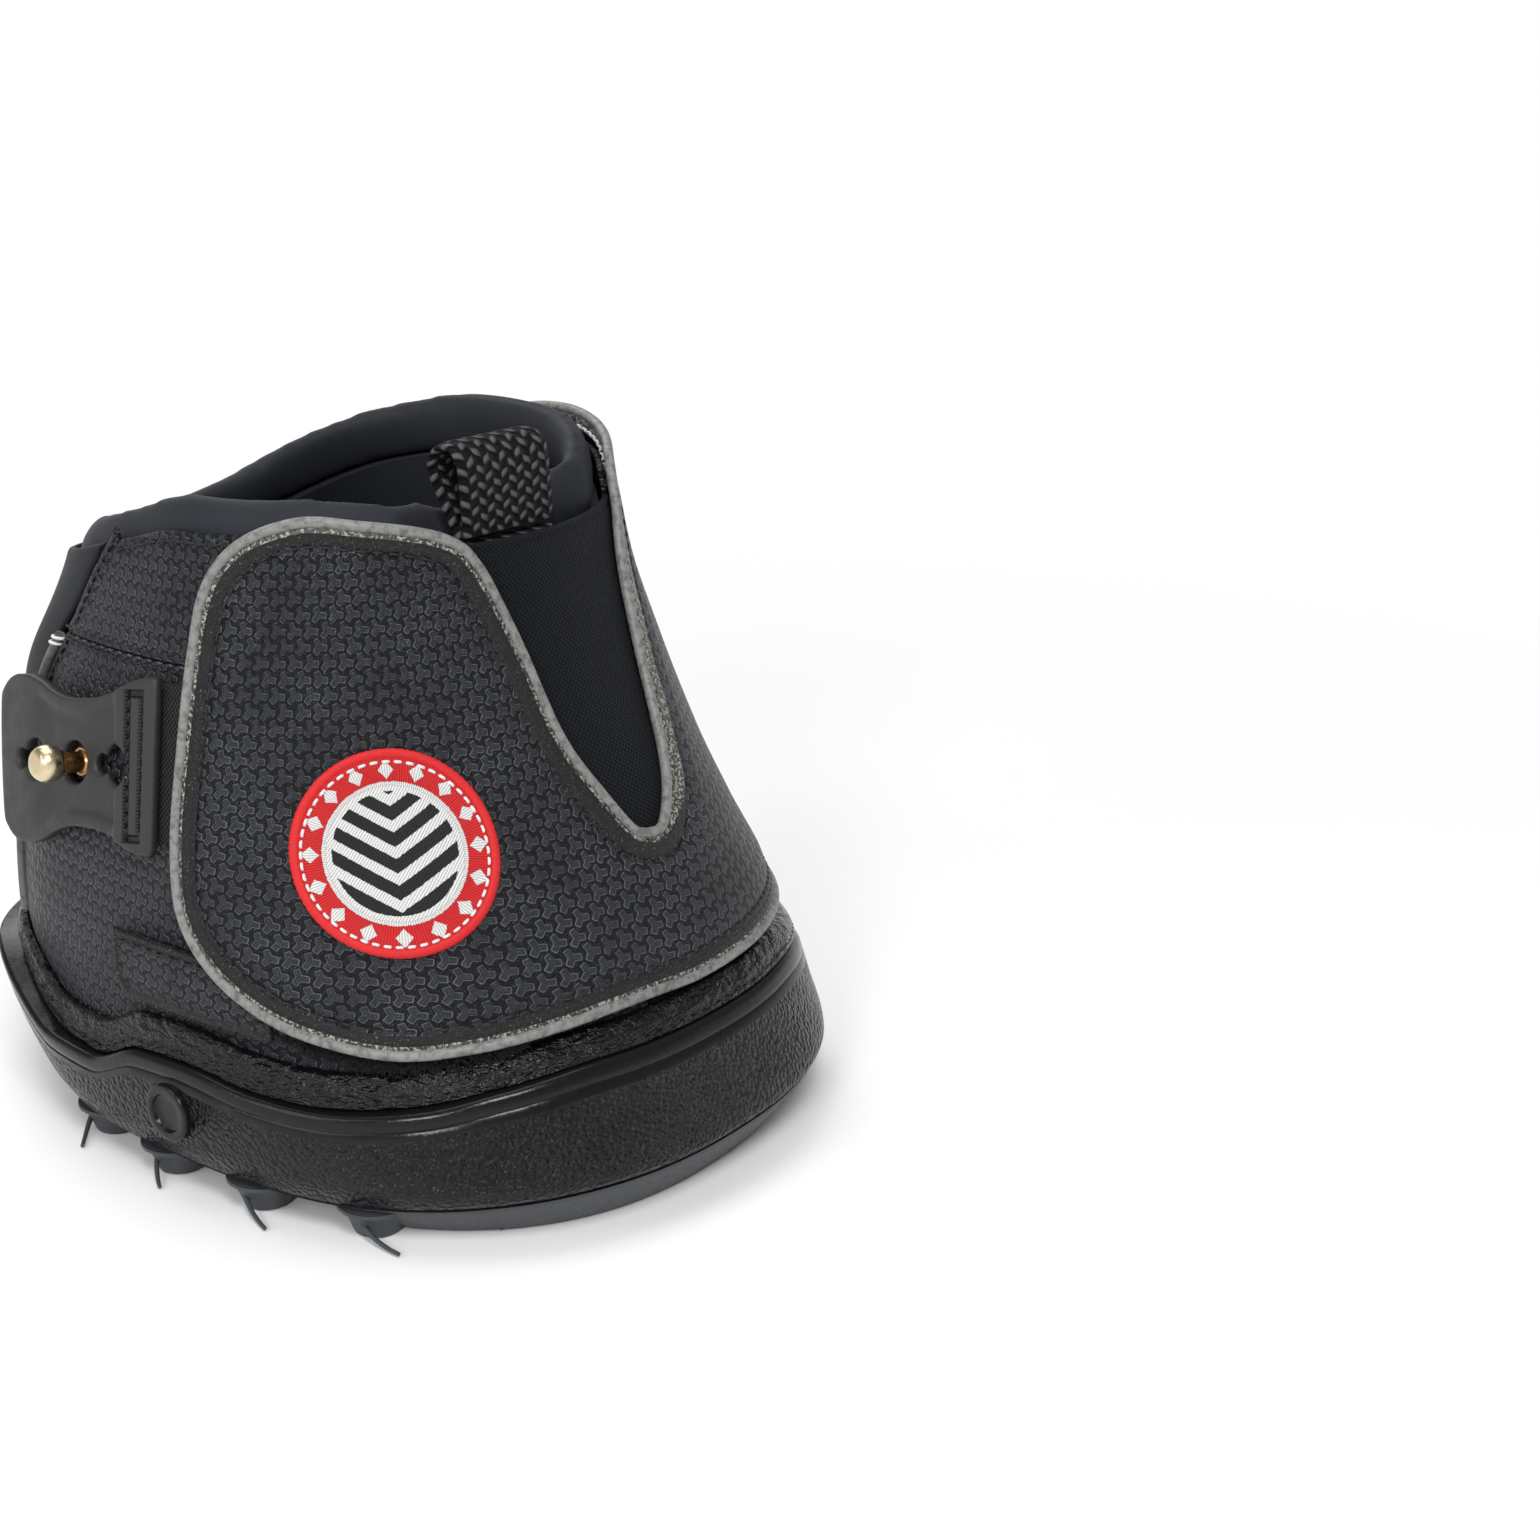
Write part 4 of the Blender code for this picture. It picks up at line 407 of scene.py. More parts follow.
def reach_to(points, loop, closed=True):
    """Distance from each point to a line of points, in two or three dimensions."""
    a = loop if closed else loop[:-1]
    span = (np.roll(loop, -1, 0) if closed else loop[1:]) - a
    size = np.maximum((span * span).sum(1), 1e-14)
    result = []
    for part in np.array_split(points, max(1, len(points) // 1500)):
        gap = part[:, None] - a
        t = np.clip((gap * span).sum(2) / size, 0, 1)
        result.append(np.linalg.norm(gap - t[..., None] * span, axis=2).min(1))
    return np.concatenate(result)


def read_value(value, angle, height):
    return value(angle, height) if callable(value) else np.full(np.shape(angle), float(value))


# Meshes

def signed_volume(points, faces):
    points = points - points.mean(0)
    corners = np.array([(f[0], f[k], f[k + 1]) for f in faces for k in range(1, len(f) - 1)])
    a, b, c = (points[corners[:, k]] for k in range(3))
    return (a * np.cross(b, c)).sum()


def make_piece(name, points, faces, materials, sharp=50, zones=None):
    points = np.asarray(points, float)
    faces = [tuple(map(int, f)) for f in faces]
    if len(faces) > 1 and signed_volume(points, faces) < 0:
        faces = [face[::-1] for face in faces]
    mesh = bpy.data.meshes.new(name)
    mesh.from_pydata(points.tolist(), [], faces)
    mesh.shade_smooth()
    for item in materials if isinstance(materials, (list, tuple)) else [materials]:
        mesh.materials.append(item)
    if zones is not None:
        mesh.polygons.foreach_set("material_index", np.asarray(zones, np.int32))
    mesh.set_sharp_from_angle(angle=math.radians(sharp))
    piece = bpy.data.objects.new(name, mesh)
    bpy.context.scene.collection.objects.link(piece)
    return piece


def dress(piece, body, slot, *nodes):
    """The piece rides on a body and stands for the nodes named."""
    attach(piece, body)
    if nodes:
        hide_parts(*nodes)


def bowl(rows):
    """Closed body from rows of points round a middle; its ends close in one point."""
    rows = [np.asarray(row, float) for row in rows]
    count = len(rows[1])
    points = np.concatenate([rows[0][None], *rows[1:-1], rows[-1][None]])
    i = np.arange(count)
    j = (i + 1) % count
    faces = [(0, 1 + b, 1 + a) for a, b in zip(i, j)]
    for level in range(len(rows) - 3):
        base = 1 + level * count
        faces += list(zip(base + i, base + j, base + count + j, base + count + i))
    base = 1 + (len(rows) - 3) * count
    faces += [(base + a, base + b, len(points) - 1) for a, b in zip(i, j)]
    return points, faces


def ring(sections):
    """Closed body from sections, an array of closed loops set round a circle."""
    count, size = sections.shape[:2]
    index = np.arange(count * size).reshape(count, size)
    across = np.roll(index, -1, 0)
    faces = np.stack([index, across, np.roll(across, -1, 1), np.roll(index, -1, 1)], -1)
    return sections.reshape(-1, 3), faces.reshape(-1, 4)


def tube(path, normals, radii, sides=12, closed=False, flatten=1.0):
    along = along_path(path, closed)
    side = unit(np.cross(along, normals))
    out = np.cross(side, along)
    turn = turns(sides)
    radii = np.broadcast_to(np.asarray(radii, float), len(path))[:, None, None]
    points = path[:, None] + radii * (
        np.cos(turn)[:, None] * side[:, None] + flatten * np.sin(turn)[:, None] * out[:, None])
    index = np.arange(len(path) * sides).reshape(-1, sides)
    after = np.roll(index, -1, 0) if closed else index[1:]
    before = index if closed else index[:-1]
    faces = np.stack([before, np.roll(before, -1, 1), np.roll(after, -1, 1), after], -1)
    faces = faces.reshape(-1, 4).tolist()
    if not closed:
        faces += [index[0, ::-1].tolist(), index[-1].tolist()]
    return points.reshape(-1, 3), faces


def turned(profile, steps, base, axis):
    """Body turned about an axis; the profile gives radius and place along it."""
    axis = Vector(axis).normalized()
    side = np.array(axis.orthogonal().normalized())
    axis = np.array(axis)
    other = np.cross(axis, side)
    turn = turns(steps)
    circle = np.cos(turn)[:, None] * side + np.sin(turn)[:, None] * other
    rows = []
    for radius, along in profile:
        middle = np.asarray(base) + along * axis
        rows.append(middle if radius == 0 else middle + radius * circle)
    return bowl(rows)


def joined(parts):
    """Several (points, faces) pairs as one."""
    points = []
    faces = []
    first = 0
    for some, its_faces in parts:
        points.append(np.asarray(some, float))
        faces += [[first + int(i) for i in face] for face in its_faces]
        first += len(some)
    return np.concatenate(points), faces


def cloth(name, outline, outer, inner, materials, holes=(), place=upper, step=CLOTH_STEP,
          reaches=(0.00025, 0.0006, 0.0011), roll=0.0007, relief=None, zone=None, guides=(),
          flatten=flat, scale=(1 / METRES_PER_DEGREE, 1), lining=None):
    """Closed curved sheet with rounded edges; relief and zone read the distance to its edge."""
    loops = [flatten(np.asarray(loop, float)) * 1000 for loop in (outline, *holes)]
    coords = []
    edges = []
    count = 0
    for loop in loops:
        edges += [(count + i, count + (i + 1) % len(loop)) for i in range(len(loop))]
        coords.append(loop)
        count += len(loop)
    extra = []
    for k, loop in enumerate(loops):
        after = np.roll(loop, -1, 0)
        area = np.sum(loop[:, 0] * after[:, 1] - after[:, 0] * loop[:, 1])
        heading = along_path(loop, True)
        inward = np.stack([-heading[:, 1], heading[:, 0]], -1) * (1 if area > 0 else -1)
        inward *= 1 if k == 0 else -1
        for reach in reaches:
            ringed = loop + inward * reach * 1000
            extra.append((ringed, reach * 850))
    for guide in guides:
        extra.append((flatten(np.asarray(guide, float)) * 1000, 100 * reaches[0]))
    low = loops[0].min(0)
    high = loops[0].max(0)
    size = step * 1000
    columns = np.arange(low[0], high[0], size)
    rows = np.arange(low[1], high[1], size * 0.866)
    grid = np.array([(x + (size / 2 if k % 2 else 0), y) for k, y in enumerate(rows) for x in columns])
    extra.append((grid, (reaches[-1] + 0.55 * step) * 1000))
    for points, margin in extra:
        if not len(points):
            continue
        keep = inside(points, loops[0])
        for loop in loops[1:]:
            keep &= ~inside(points, loop)
        points = points[keep]
        for loop in loops:
            if len(points):
                points = points[reach_to(points, loop) > margin]
        if len(points) and margin > reaches[-1] * 1000:
            for guide in guides:
                line = flatten(np.asarray(guide, float)) * 1000
                points = points[reach_to(points, line, False) > 0.3 * size]
        coords.append(points)
    coords = np.concatenate(coords)
    spots, _, triangles, _, _, _ = delaunay_2d_cdt(
        [Vector(p) for p in coords.tolist()], edges, [], 0, 1e-4)
    spots = np.array([tuple(p) for p in spots])
    triangles = np.array([t for t in triangles if len(t) == 3])
    middle = spots[triangles].mean(1)
    keep = inside(middle, loops[0])
    for loop in loops[1:]:
        keep &= ~inside(middle, loop)
    triangles = triangles[keep]
    a, b, c = (spots[triangles[:, k]] for k in range(3))
    area = (b[:, 0] - a[:, 0]) * (c[:, 1] - a[:, 1]) - (b[:, 1] - a[:, 1]) * (c[:, 0] - a[:, 0])
    triangles = triangles[np.abs(area) > 1e-5]
    area = area[np.abs(area) > 1e-5]
    triangles[area < 0] = triangles[area < 0][:, ::-1]
    used = np.unique(triangles)
    number = np.zeros(len(spots), int)
    number[used] = np.arange(len(used))
    triangles = number[triangles]
    spots = spots[used] / 1000 * scale
    angle, height = spots.T
    base = place(angle, height, 0)
    near = np.min([
        reach_to(base, place(*np.asarray(loop, float).T, 0)) for loop in (outline, *holes)], axis=0)
    bend = 1 - np.sqrt(1 - (1 - np.clip(near / roll, 0, 1)) ** 2)
    top = read_value(outer, angle, height) - roll * bend
    under = read_value(inner, angle, height) + 0.5 * roll * bend
    if relief is not None:
        top = top + relief(near, angle, height)
    points = np.concatenate([place(angle, height, top), place(angle, height, under)])
    size = len(angle)
    faces = [(i, k, j) for i, j, k in triangles.tolist()]
    faces += [(i + size, j + size, k + size) for i, j, k in triangles.tolist()]
    borders = set()
    for i, j, k in triangles.tolist():
        for pair in ((i, j), (j, k), (k, i)):
            if (pair[1], pair[0]) in borders:
                borders.discard((pair[1], pair[0]))
            else:
                borders.add(pair)
    borders = sorted(borders)
    faces += [(i, j, j + size, i + size) for i, j in borders]
    zones = None
    if zone is not None:
        mean = near[triangles].mean(1)
        kind = zone(mean, angle[triangles].mean(1), height[triangles].mean(1))
        under_kind = lining(mean) if lining else np.zeros(len(triangles), int)
        zones = np.concatenate([kind, under_kind, np.zeros(len(borders), int)])
    return make_piece(name, points, faces, materials, zones=zones)


def stitches(path, offset, pitch=0.0029, length=0.0023, radius=0.00028, place=upper):
    """A row of sewn stitches, each a short thread that dives in at both ends."""
    path = spaced(path, pitch, place)
    angle, height = path.T
    lift = read_value(offset, angle, height)
    centres = place(angle, height, lift)
    along = along_path(centres)
    out = outward(angle, height, place)
    side = unit(np.cross(along, out))
    out = np.cross(side, along)
    marks = np.array(STITCH_MARKS)
    wide = np.array(STITCH_WIDTHS)
    turn = turns(STITCH_SIDES)
    arch = radius * (STITCH_RISE - STITCH_DIVE * marks ** 2)
    local_side = np.cos(turn)[None] * wide[:, None] * radius
    local_out = np.sin(turn)[None] * wide[:, None] * radius + arch[:, None]
    template = []
    for i in range(len(marks) - 1):
        first = i * STITCH_SIDES
        after = first + STITCH_SIDES
        for k in range(STITCH_SIDES):
            m = (k + 1) % STITCH_SIDES
            template.append((first + k, first + m, after + m, after + k))
    template.append(tuple(reversed(range(STITCH_SIDES))))
    template.append(tuple(range(after, after + STITCH_SIDES)))
    parts = []
    for c, t, s, n in zip(centres, along, side, out):
        points = (
            c + (marks[:, None] * length)[..., None] * t + local_side[..., None] * s
            + local_out[..., None] * n)
        parts.append((points.reshape(-1, 3), template))
    return joined(parts)


# Materials

GRAIN_CENTRE_BACK = 0.012       # cloth patterns run round this point, at this radius
GRAIN_RADIUS = 0.064
HEX_HEIGHT = 1.732
BLADE_TURN = 0.9
BLADE_HALF_ARC = 1.0472
LOZENGE_HALF_ARC = 0.19635
LOZENGE_RING_RADIUS = 0.0146
LOZENGE_HALF_HEIGHT = 0.0017
BADGE_LINE_RADIUS = 0.0122
BADGE_FIELD_RADIUS = 0.0118
CHEVRON_SLOPE = 0.62
CHEVRON_PITCH = 0.0046
CHEVRON_REACH = 0.0108

class Paint:
    """Nodes of a material or a world, written in few lines."""

    def __init__(self, name, owner=None):
        self.owner = owner or bpy.data.materials.new(name)
        self.owner.use_nodes = True
        self.tree = self.owner.node_tree
        self.shader = self.tree.nodes.get("Principled BSDF")

    def put(self, kind, inputs=(), **settings):
        node = self.tree.nodes.new("ShaderNode" + kind)
        for key, value in settings.items():
            setattr(node, key, value)
        for key, value in dict(inputs).items():
            self.feed(node.inputs[key], value)
        return node

    def feed(self, socket, value):
        if isinstance(value, bpy.types.NodeSocket):
            self.tree.links.new(value, socket)
        else:
            socket.default_value = value

    def math(self, operation, first, second=0.0, third=0.0):
        return self.put("Math", {0: first, 1: second, 2: third}, operation=operation).outputs[0]

    def times(self, first, second):
        return self.math("MULTIPLY", first, second)

    def plus(self, first, second):
        return self.math("ADD", first, second)

    def minus(self, first, second):
        return self.math("SUBTRACT", first, second)

    def ramp(self, value, low, high, start=0.0, end=1.0):
        return self.put(
            "MapRange", {0: value, 1: low, 2: high, 3: start, 4: end},
            interpolation_type="SMOOTHSTEP").outputs[0]

    def mix(self, factor, first, second):
        node = self.put("Mix", {0: factor}, data_type="RGBA")
        self.feed(node.inputs[6], (*first, 1) if isinstance(first, tuple) else first)
        self.feed(node.inputs[7], (*second, 1) if isinstance(second, tuple) else second)
        return node.outputs[2]

    def place(self):
        return self.put("TexCoord").outputs["Object"]

    def noise(self, size, detail=2.0, rough=0.5, stretch=None, distortion=0.0):
        vector = self.place()
        if stretch:
            vector = self.put("Mapping", {0: vector, 3: stretch}).outputs[0]
        return self.put(
            "TexNoise", {"Vector": vector, "Scale": 1 / size, "Detail": detail, "Roughness": rough,
                         "Distortion": distortion}).outputs[0]

    def cells(self, size):
        inputs = {"Vector": self.place(), "Scale": 1 / size}
        return self.put("TexVoronoi", inputs, feature="F1").outputs[0]

    def wrapped(self):
        """Distance round the boot and height, in metres."""
        x, y, z = self.put("SeparateXYZ", {0: self.place()}).outputs
        angle = self.math("ARCTAN2", x, self.minus(GRAIN_CENTRE_BACK, y))
        return self.times(angle, -GRAIN_RADIUS), z

    def bump(self, height, distance):
        return self.put("Bump", {"Height": height, "Distance": distance, "Strength": 1.0}).outputs[0]

    def finish(self, colour, roughness, normal=None, metallic=0.0, sheen=0.0, specular=0.5):
        for key, value in (("Base Color", colour), ("Roughness", roughness), ("Normal", normal)):
            if value is None:
                continue
            if key == "Base Color" and isinstance(value, tuple):
                value = (*value, 1)
            self.feed(self.shader.inputs[key], value)
        self.shader.inputs["Metallic"].default_value = metallic
        self.shader.inputs["Sheen Weight"].default_value = sheen
        self.shader.inputs["Specular IOR Level"].default_value = specular
        return self.owner


def blades(paint, pitch):
    """Mask of small three-armed bricks on a hexagonal grid."""
    u, v = paint.wrapped()
    wander = paint.noise(0.004, 1)
    u = paint.plus(u, paint.times(paint.minus(wander, 0.5), 0.0007))
    qx = paint.math("DIVIDE", u, pitch)
    qy = paint.math("DIVIDE", v, pitch * HEX_HEIGHT)

    def centred(value, start):
        part = paint.math("FRACT", paint.plus(value, start))
        return paint.minus(part, 0.5)

    ax, bx = centred(qx, 0.0), centred(qx, 0.5)
    ay = paint.times(centred(qy, 0.0), HEX_HEIGHT)
    by = paint.times(centred(qy, 0.5), HEX_HEIGHT)
    size_a = paint.math("MULTIPLY_ADD", ax, ax, paint.times(ay, ay))
    size_b = paint.math("MULTIPLY_ADD", bx, bx, paint.times(by, by))
    near = paint.math("LESS_THAN", size_a, size_b)
    x = paint.math("MULTIPLY_ADD", near, paint.minus(ax, bx), bx)
    y = paint.math("MULTIPLY_ADD", near, paint.minus(ay, by), by)
    reach = paint.math("SQRT", paint.math("MULTIPLY_ADD", x, x, paint.times(y, y)))
    turn = paint.plus(paint.math("ARCTAN2", y, x), BLADE_TURN)
    turn = paint.math("WRAP", turn, BLADE_HALF_ARC, -BLADE_HALF_ARC)
    along = paint.times(reach, paint.math("COSINE", turn))
    across = paint.math("ABSOLUTE", paint.times(reach, paint.math("SINE", turn)))
    arm = paint.ramp(across, 0.10, 0.22, 1, 0)
    end = paint.ramp(along, 0.38, 0.52, 1, 0)
    mask = paint.times(arm, end)
    slope = paint.math("MULTIPLY_ADD", y, 0.9, paint.math("MULTIPLY_ADD", x, 0.5, 0.75))
    return mask, paint.times(mask, slope)


def embossed():
    p = Paint("embossed_synthetic")
    mask, tilted = blades(p, 0.0034)
    grain = p.noise(0.0006, 4, 0.7)
    worn = p.noise(0.012, 2)
    # rim and glint are a painted highlight along the edges of the raised bricks; the large worn noise only
    # makes this painted highlight patchy
    rim = p.times(p.times(mask, p.minus(1, mask)), 4)
    patchy_rim_glint = p.times(rim, p.math("MULTIPLY_ADD", worn, 0.8, grain))
    glint = p.times(p.ramp(patchy_rim_glint, 0.50, 0.95), 0.70)
    # fine light specks, denser where the worn noise is high, drawn in the same pale colour as the painted
    # highlight
    specks = p.ramp(p.noise(0.00040, 3, 0.75), 0.56, 0.72)
    light_specks = p.times(specks, p.ramp(worn, 0.3, 0.7, 0.25, 0.6))
    # the pits between the raised bricks are painted near black and the bricks lighter: painted shade in the
    # recesses
    colour = p.mix(p.times(mask, p.ramp(grain, 0.2, 0.8, 0.35, 1.2)),
                   (0.0025, 0.0028, 0.0035), (0.0275, 0.0310, 0.0380))
    colour = p.mix(p.math("MAXIMUM", glint, light_specks), colour, (0.195, 0.208, 0.232))
    rough = p.ramp(grain, 0.3, 0.7, 0.28, 0.44)
    height = p.math("MULTIPLY_ADD", grain, 0.55, tilted)
    return p.finish(colour, rough, p.bump(height, 0.00080), specular=0.17)


def binding():
    p = Paint("edge_binding")
    grain = p.noise(0.0006, 3, 0.65)
    folds = p.noise(0.003, 2, 0.5)
    speck = p.ramp(p.noise(0.0005, 2, 0.6), 0.64, 0.74)
    colour = p.mix(p.times(speck, 0.85), (0.0090, 0.0090, 0.0095), (0.21, 0.205, 0.19))
    height = p.math("MULTIPLY_ADD", folds, 0.8, grain)
    return p.finish(colour, 0.34, p.bump(height, 0.00060), specular=0.26)


def bead(name, clean, worn):
    p = Paint(name)
    dirt = p.ramp(p.noise(0.0016, 4, 0.65), 0.40, 0.72)
    fine = p.noise(0.00045, 2)
    return p.finish(p.mix(dirt, clean, worn), 0.42, p.bump(fine, 0.00006), specular=0.35)


def speckled():
    p = Paint("reflective_speckle")
    speck = p.ramp(p.noise(0.00065, 2, 0.65), 0.46, 0.60)
    colour = p.mix(speck, (0.018, 0.017, 0.015), (0.34, 0.32, 0.28))
    return p.finish(colour, 0.5, p.bump(speck, 0.00010))


def wall_rubber():
    p = Paint("pebbled_rubber")
    pebble = p.cells(0.00110)
    small = p.noise(0.0006, 2, 0.5)
    zone = p.ramp(p.noise(0.03, 1), 0.3, 0.7, 0.75, 1.0)
    height = p.times(p.minus(p.times(small, 0.5), pebble), zone)
    colour = p.mix(p.noise(0.02, 2), (0.0045, 0.0048, 0.0055), (0.0080, 0.0084, 0.0092))
    rough = p.ramp(p.noise(0.012, 2), 0.3, 0.7, 0.13, 0.21)
    return p.finish(colour, rough, p.bump(height, 0.00120), specular=0.22)


def plain(name, clouds, dark, light, grain, depth, rough, worn=None, **shine):
    """Two close colours in clouds over a fine grain; where worn is given, roughness is a range."""
    p = Paint(name)
    if worn:
        rough = p.ramp(p.noise(*worn), 0.3, 0.7, *rough)
    return p.finish(p.mix(p.noise(*clouds), dark, light), rough, p.bump(p.noise(*grain), depth), **shine)


def floor_paper():
    p = Paint("floor_paper")
    cloud = p.noise(0.15, 2)
    colour = p.mix(cloud, (0.93, 0.935, 0.94), (0.95, 0.95, 0.955))
    p.finish(colour, 0.85, specular=0.1)
    far = p.ramp(p.put("VectorMath", {0: p.place()}, operation="LENGTH").outputs["Value"], 0.13, 0.55)
    white = p.put("Emission", {"Color": (1, 1, 1, 1), "Strength": seen_rays(p)})
    mixed = p.put("MixShader", {0: far, 1: p.shader.outputs[0], 2: white.outputs[0]})
    p.tree.links.new(mixed.outputs[0], p.tree.nodes["Material Output"].inputs[0])
    return p.owner


def seen_rays(paint, other=0.85):
    """1 for rays that show the backdrop, by eye or in a reflection, and less for plain light."""
    rays = paint.put("LightPath").outputs
    seen = paint.math("MAXIMUM", rays["Is Camera Ray"], paint.math(
        "MAXIMUM", rays["Is Glossy Ray"], rays["Is Transmission Ray"]))
    return paint.put("MapRange", {0: seen, 3: other, 4: 1.0}).outputs[0]


def rand_vinyl():
    p = Paint("rand_vinyl")
    crease = p.noise(0.0035, 3, 0.55, stretch=(1, 1, 2.2))
    grain = p.noise(0.0008, 2, 0.6)
    scuff = p.ramp(p.noise(0.0016, 3, 0.65), 0.62, 0.74)
    colour = p.mix(p.times(scuff, 0.5), (0.0030, 0.0031, 0.0036), (0.060, 0.061, 0.064))
    height = p.math("MULTIPLY_ADD", crease, 3.0, p.times(grain, 0.6))
    return p.finish(colour, p.ramp(crease, 0.3, 0.7, 0.10, 0.20), p.bump(height, 0.00055), specular=0.28)


def neoprene(name, dark, light):
    return plain(name, (0.018, 2), dark, light, (0.0005, 2, 0.5), 0.00008, 0.58, sheen=0.02, specular=0.16)


def woven(name, across, up, dark, light, distance, by_band=False):
    """Cloth with threads at two pitches, raised in turn."""
    p = Paint(name)
    if by_band:
        v, u, _ = p.put("SeparateXYZ", {0: p.put("UVMap", uv_map="band").outputs[0]}).outputs
        slant = p.math("ABSOLUTE", p.math("WRAP", u, across / 2, -across / 2))
        v = p.math("MULTIPLY_ADD", slant, 0.45, v)
    else:
        u, v = p.wrapped()
    column = p.math("SINE", p.times(u, 2 * math.pi / across))
    row = p.math("SINE", p.times(v, 2 * math.pi / up))
    weave = p.times(column, row)
    wander = p.noise(0.0012, 2)
    height = p.math("MULTIPLY_ADD", wander, 0.8, weave)
    # the colour follows the thread height: darker in the hollows between threads, which is painted shade, and
    # lighter on the raised threads, which is painted highlight
    colour = p.mix(p.ramp(height, 0.35 if by_band else -0.2, 1.1), dark, light)
    return p.finish(colour, 0.75, p.bump(height, distance), sheen=0.02, specular=0.12)


def fuzzy():
    p = Paint("fuzzy_tape")
    pile = p.noise(0.0006, 4, 0.7, distortion=1.5)
    # lighter where the pile stands higher: painted highlight on the pile tops and painted shade between them
    colour = p.mix(p.ramp(pile, 0.45, 0.75), (0.006, 0.006, 0.006), (0.05, 0.05, 0.052))
    return p.finish(colour, 0.9, p.bump(pile, 0.0006), sheen=0.05, specular=0.2)


def thread(name, dark, light, roughness=0.55):
    twist = (0.0004, 2, 0.6)
    return plain(name, twist, dark, light, twist, 0.00008, roughness, specular=0.3)


def embroidery():
    """Badge of sewn threads: a red ring with white lozenges round black and white chevrons."""
    p = Paint("embroidery")
    u, v, _ = p.put("SeparateXYZ", {0: p.put("UVMap", uv_map="band").outputs[0]}).outputs
    reach = p.math("SQRT", p.math("MULTIPLY_ADD", u, u, p.times(v, v)))
    turn = p.math("ARCTAN2", v, u)
    rag = p.times(p.minus(p.noise(0.0005, 2), 0.5), 0.0004)
    reach = p.plus(reach, rag)
    block = p.math("ABSOLUTE", p.math("WRAP", turn, LOZENGE_HALF_ARC, -LOZENGE_HALF_ARC))
    off_line = p.math("ABSOLUTE", p.minus(reach, LOZENGE_RING_RADIUS))
    lozenge = p.math("MULTIPLY_ADD", block, 9.8, p.math("DIVIDE", off_line, LOZENGE_HALF_HEIGHT))
    lozenge = p.ramp(lozenge, 0.92, 1.02, 1, 0)
    line = p.math("ABSOLUTE", p.minus(reach, BADGE_LINE_RADIUS))
    line = p.ramp(line, 0.0003, 0.0004, 1, 0)
    field = p.ramp(reach, BADGE_FIELD_RADIUS, 0.0119, 1, 0)
    rise = p.math("MULTIPLY_ADD", p.math("ABSOLUTE", u), -CHEVRON_SLOPE, p.plus(v, rag))
    band = p.math("FRACT", p.math("DIVIDE", rise, CHEVRON_PITCH))
    band = p.math("ABSOLUTE", p.minus(band, 0.5))
    chevrons = p.ramp(band, 0.26, 0.29, 1, 0)
    dark = p.times(chevrons, p.ramp(reach, CHEVRON_REACH, 0.0109, 1, 0))
    white = p.math("MAXIMUM", p.math("MAXIMUM", lozenge, line), field)
    ring = p.math("SINE", p.times(turn, 200))
    slant = p.math("SINE", p.times(p.plus(u, p.times(v, 0.7)), 11000))
    beyond = p.minus(1, field)
    sewn = p.plus(p.times(field, slant), p.times(beyond, ring))
    colour = p.mix(white, (0.62, 0.016, 0.018), (0.74, 0.74, 0.73))
    colour = p.mix(dark, colour, (0.012, 0.012, 0.013))
    shade = p.ramp(sewn, -1.0, 0.4, 0.62, 1.0)
    colour = p.put("VectorMath", {0: colour, "Scale": shade}, operation="SCALE").outputs[0]
    height = p.plus(p.times(sewn, 0.5), p.plus(white, dark))
    return p.finish(colour, 0.6, p.bump(height, 0.00016), specular=0.3)


def brass(name, bright, dull):
    turned_marks = (0.0005, 2, 0.6)
    tarnish = (0.0022, 3, 0.6)
    return plain(name, tarnish, bright, dull, turned_marks, 0.00003, (0.22, 0.36), tarnish, metallic=1.0)


EMBOSSED = embossed()
BINDING = binding()
BEAD = bead("reflective_bead", (0.215, 0.22, 0.212), (0.085, 0.085, 0.078))
# the heel's beads take a darker copy of the reflective bead: painted shade for the heel, which faces away
# from the lamps
SHADED_HEEL_BEAD = bead("heel_bead_painted_shade", (0.12, 0.125, 0.12), (0.06, 0.06, 0.056))
SPECKLED = speckled()
WALL_RUBBER = wall_rubber()
TREAD_RUBBER = plain(
    "tread_rubber", (0.006, 3, 0.6), (0.038, 0.042, 0.047), (0.056, 0.061, 0.067), (0.0009, 3, 0.6),
    0.00004, (0.46, 0.60), (0.0009, 3, 0.6), specular=0.35)
TAB_RUBBER = plain(
    "tab_rubber", (0.010, 3, 0.6), (0.019, 0.019, 0.020), (0.028, 0.028, 0.029), (0.00035, 2, 0.6),
    0.00003, (0.44, 0.54), (0.004, 2), specular=0.35)
RAND_VINYL = rand_vinyl()
NEOPRENE = neoprene("neoprene", (0.0060, 0.0072, 0.0100), (0.0100, 0.0118, 0.0160))
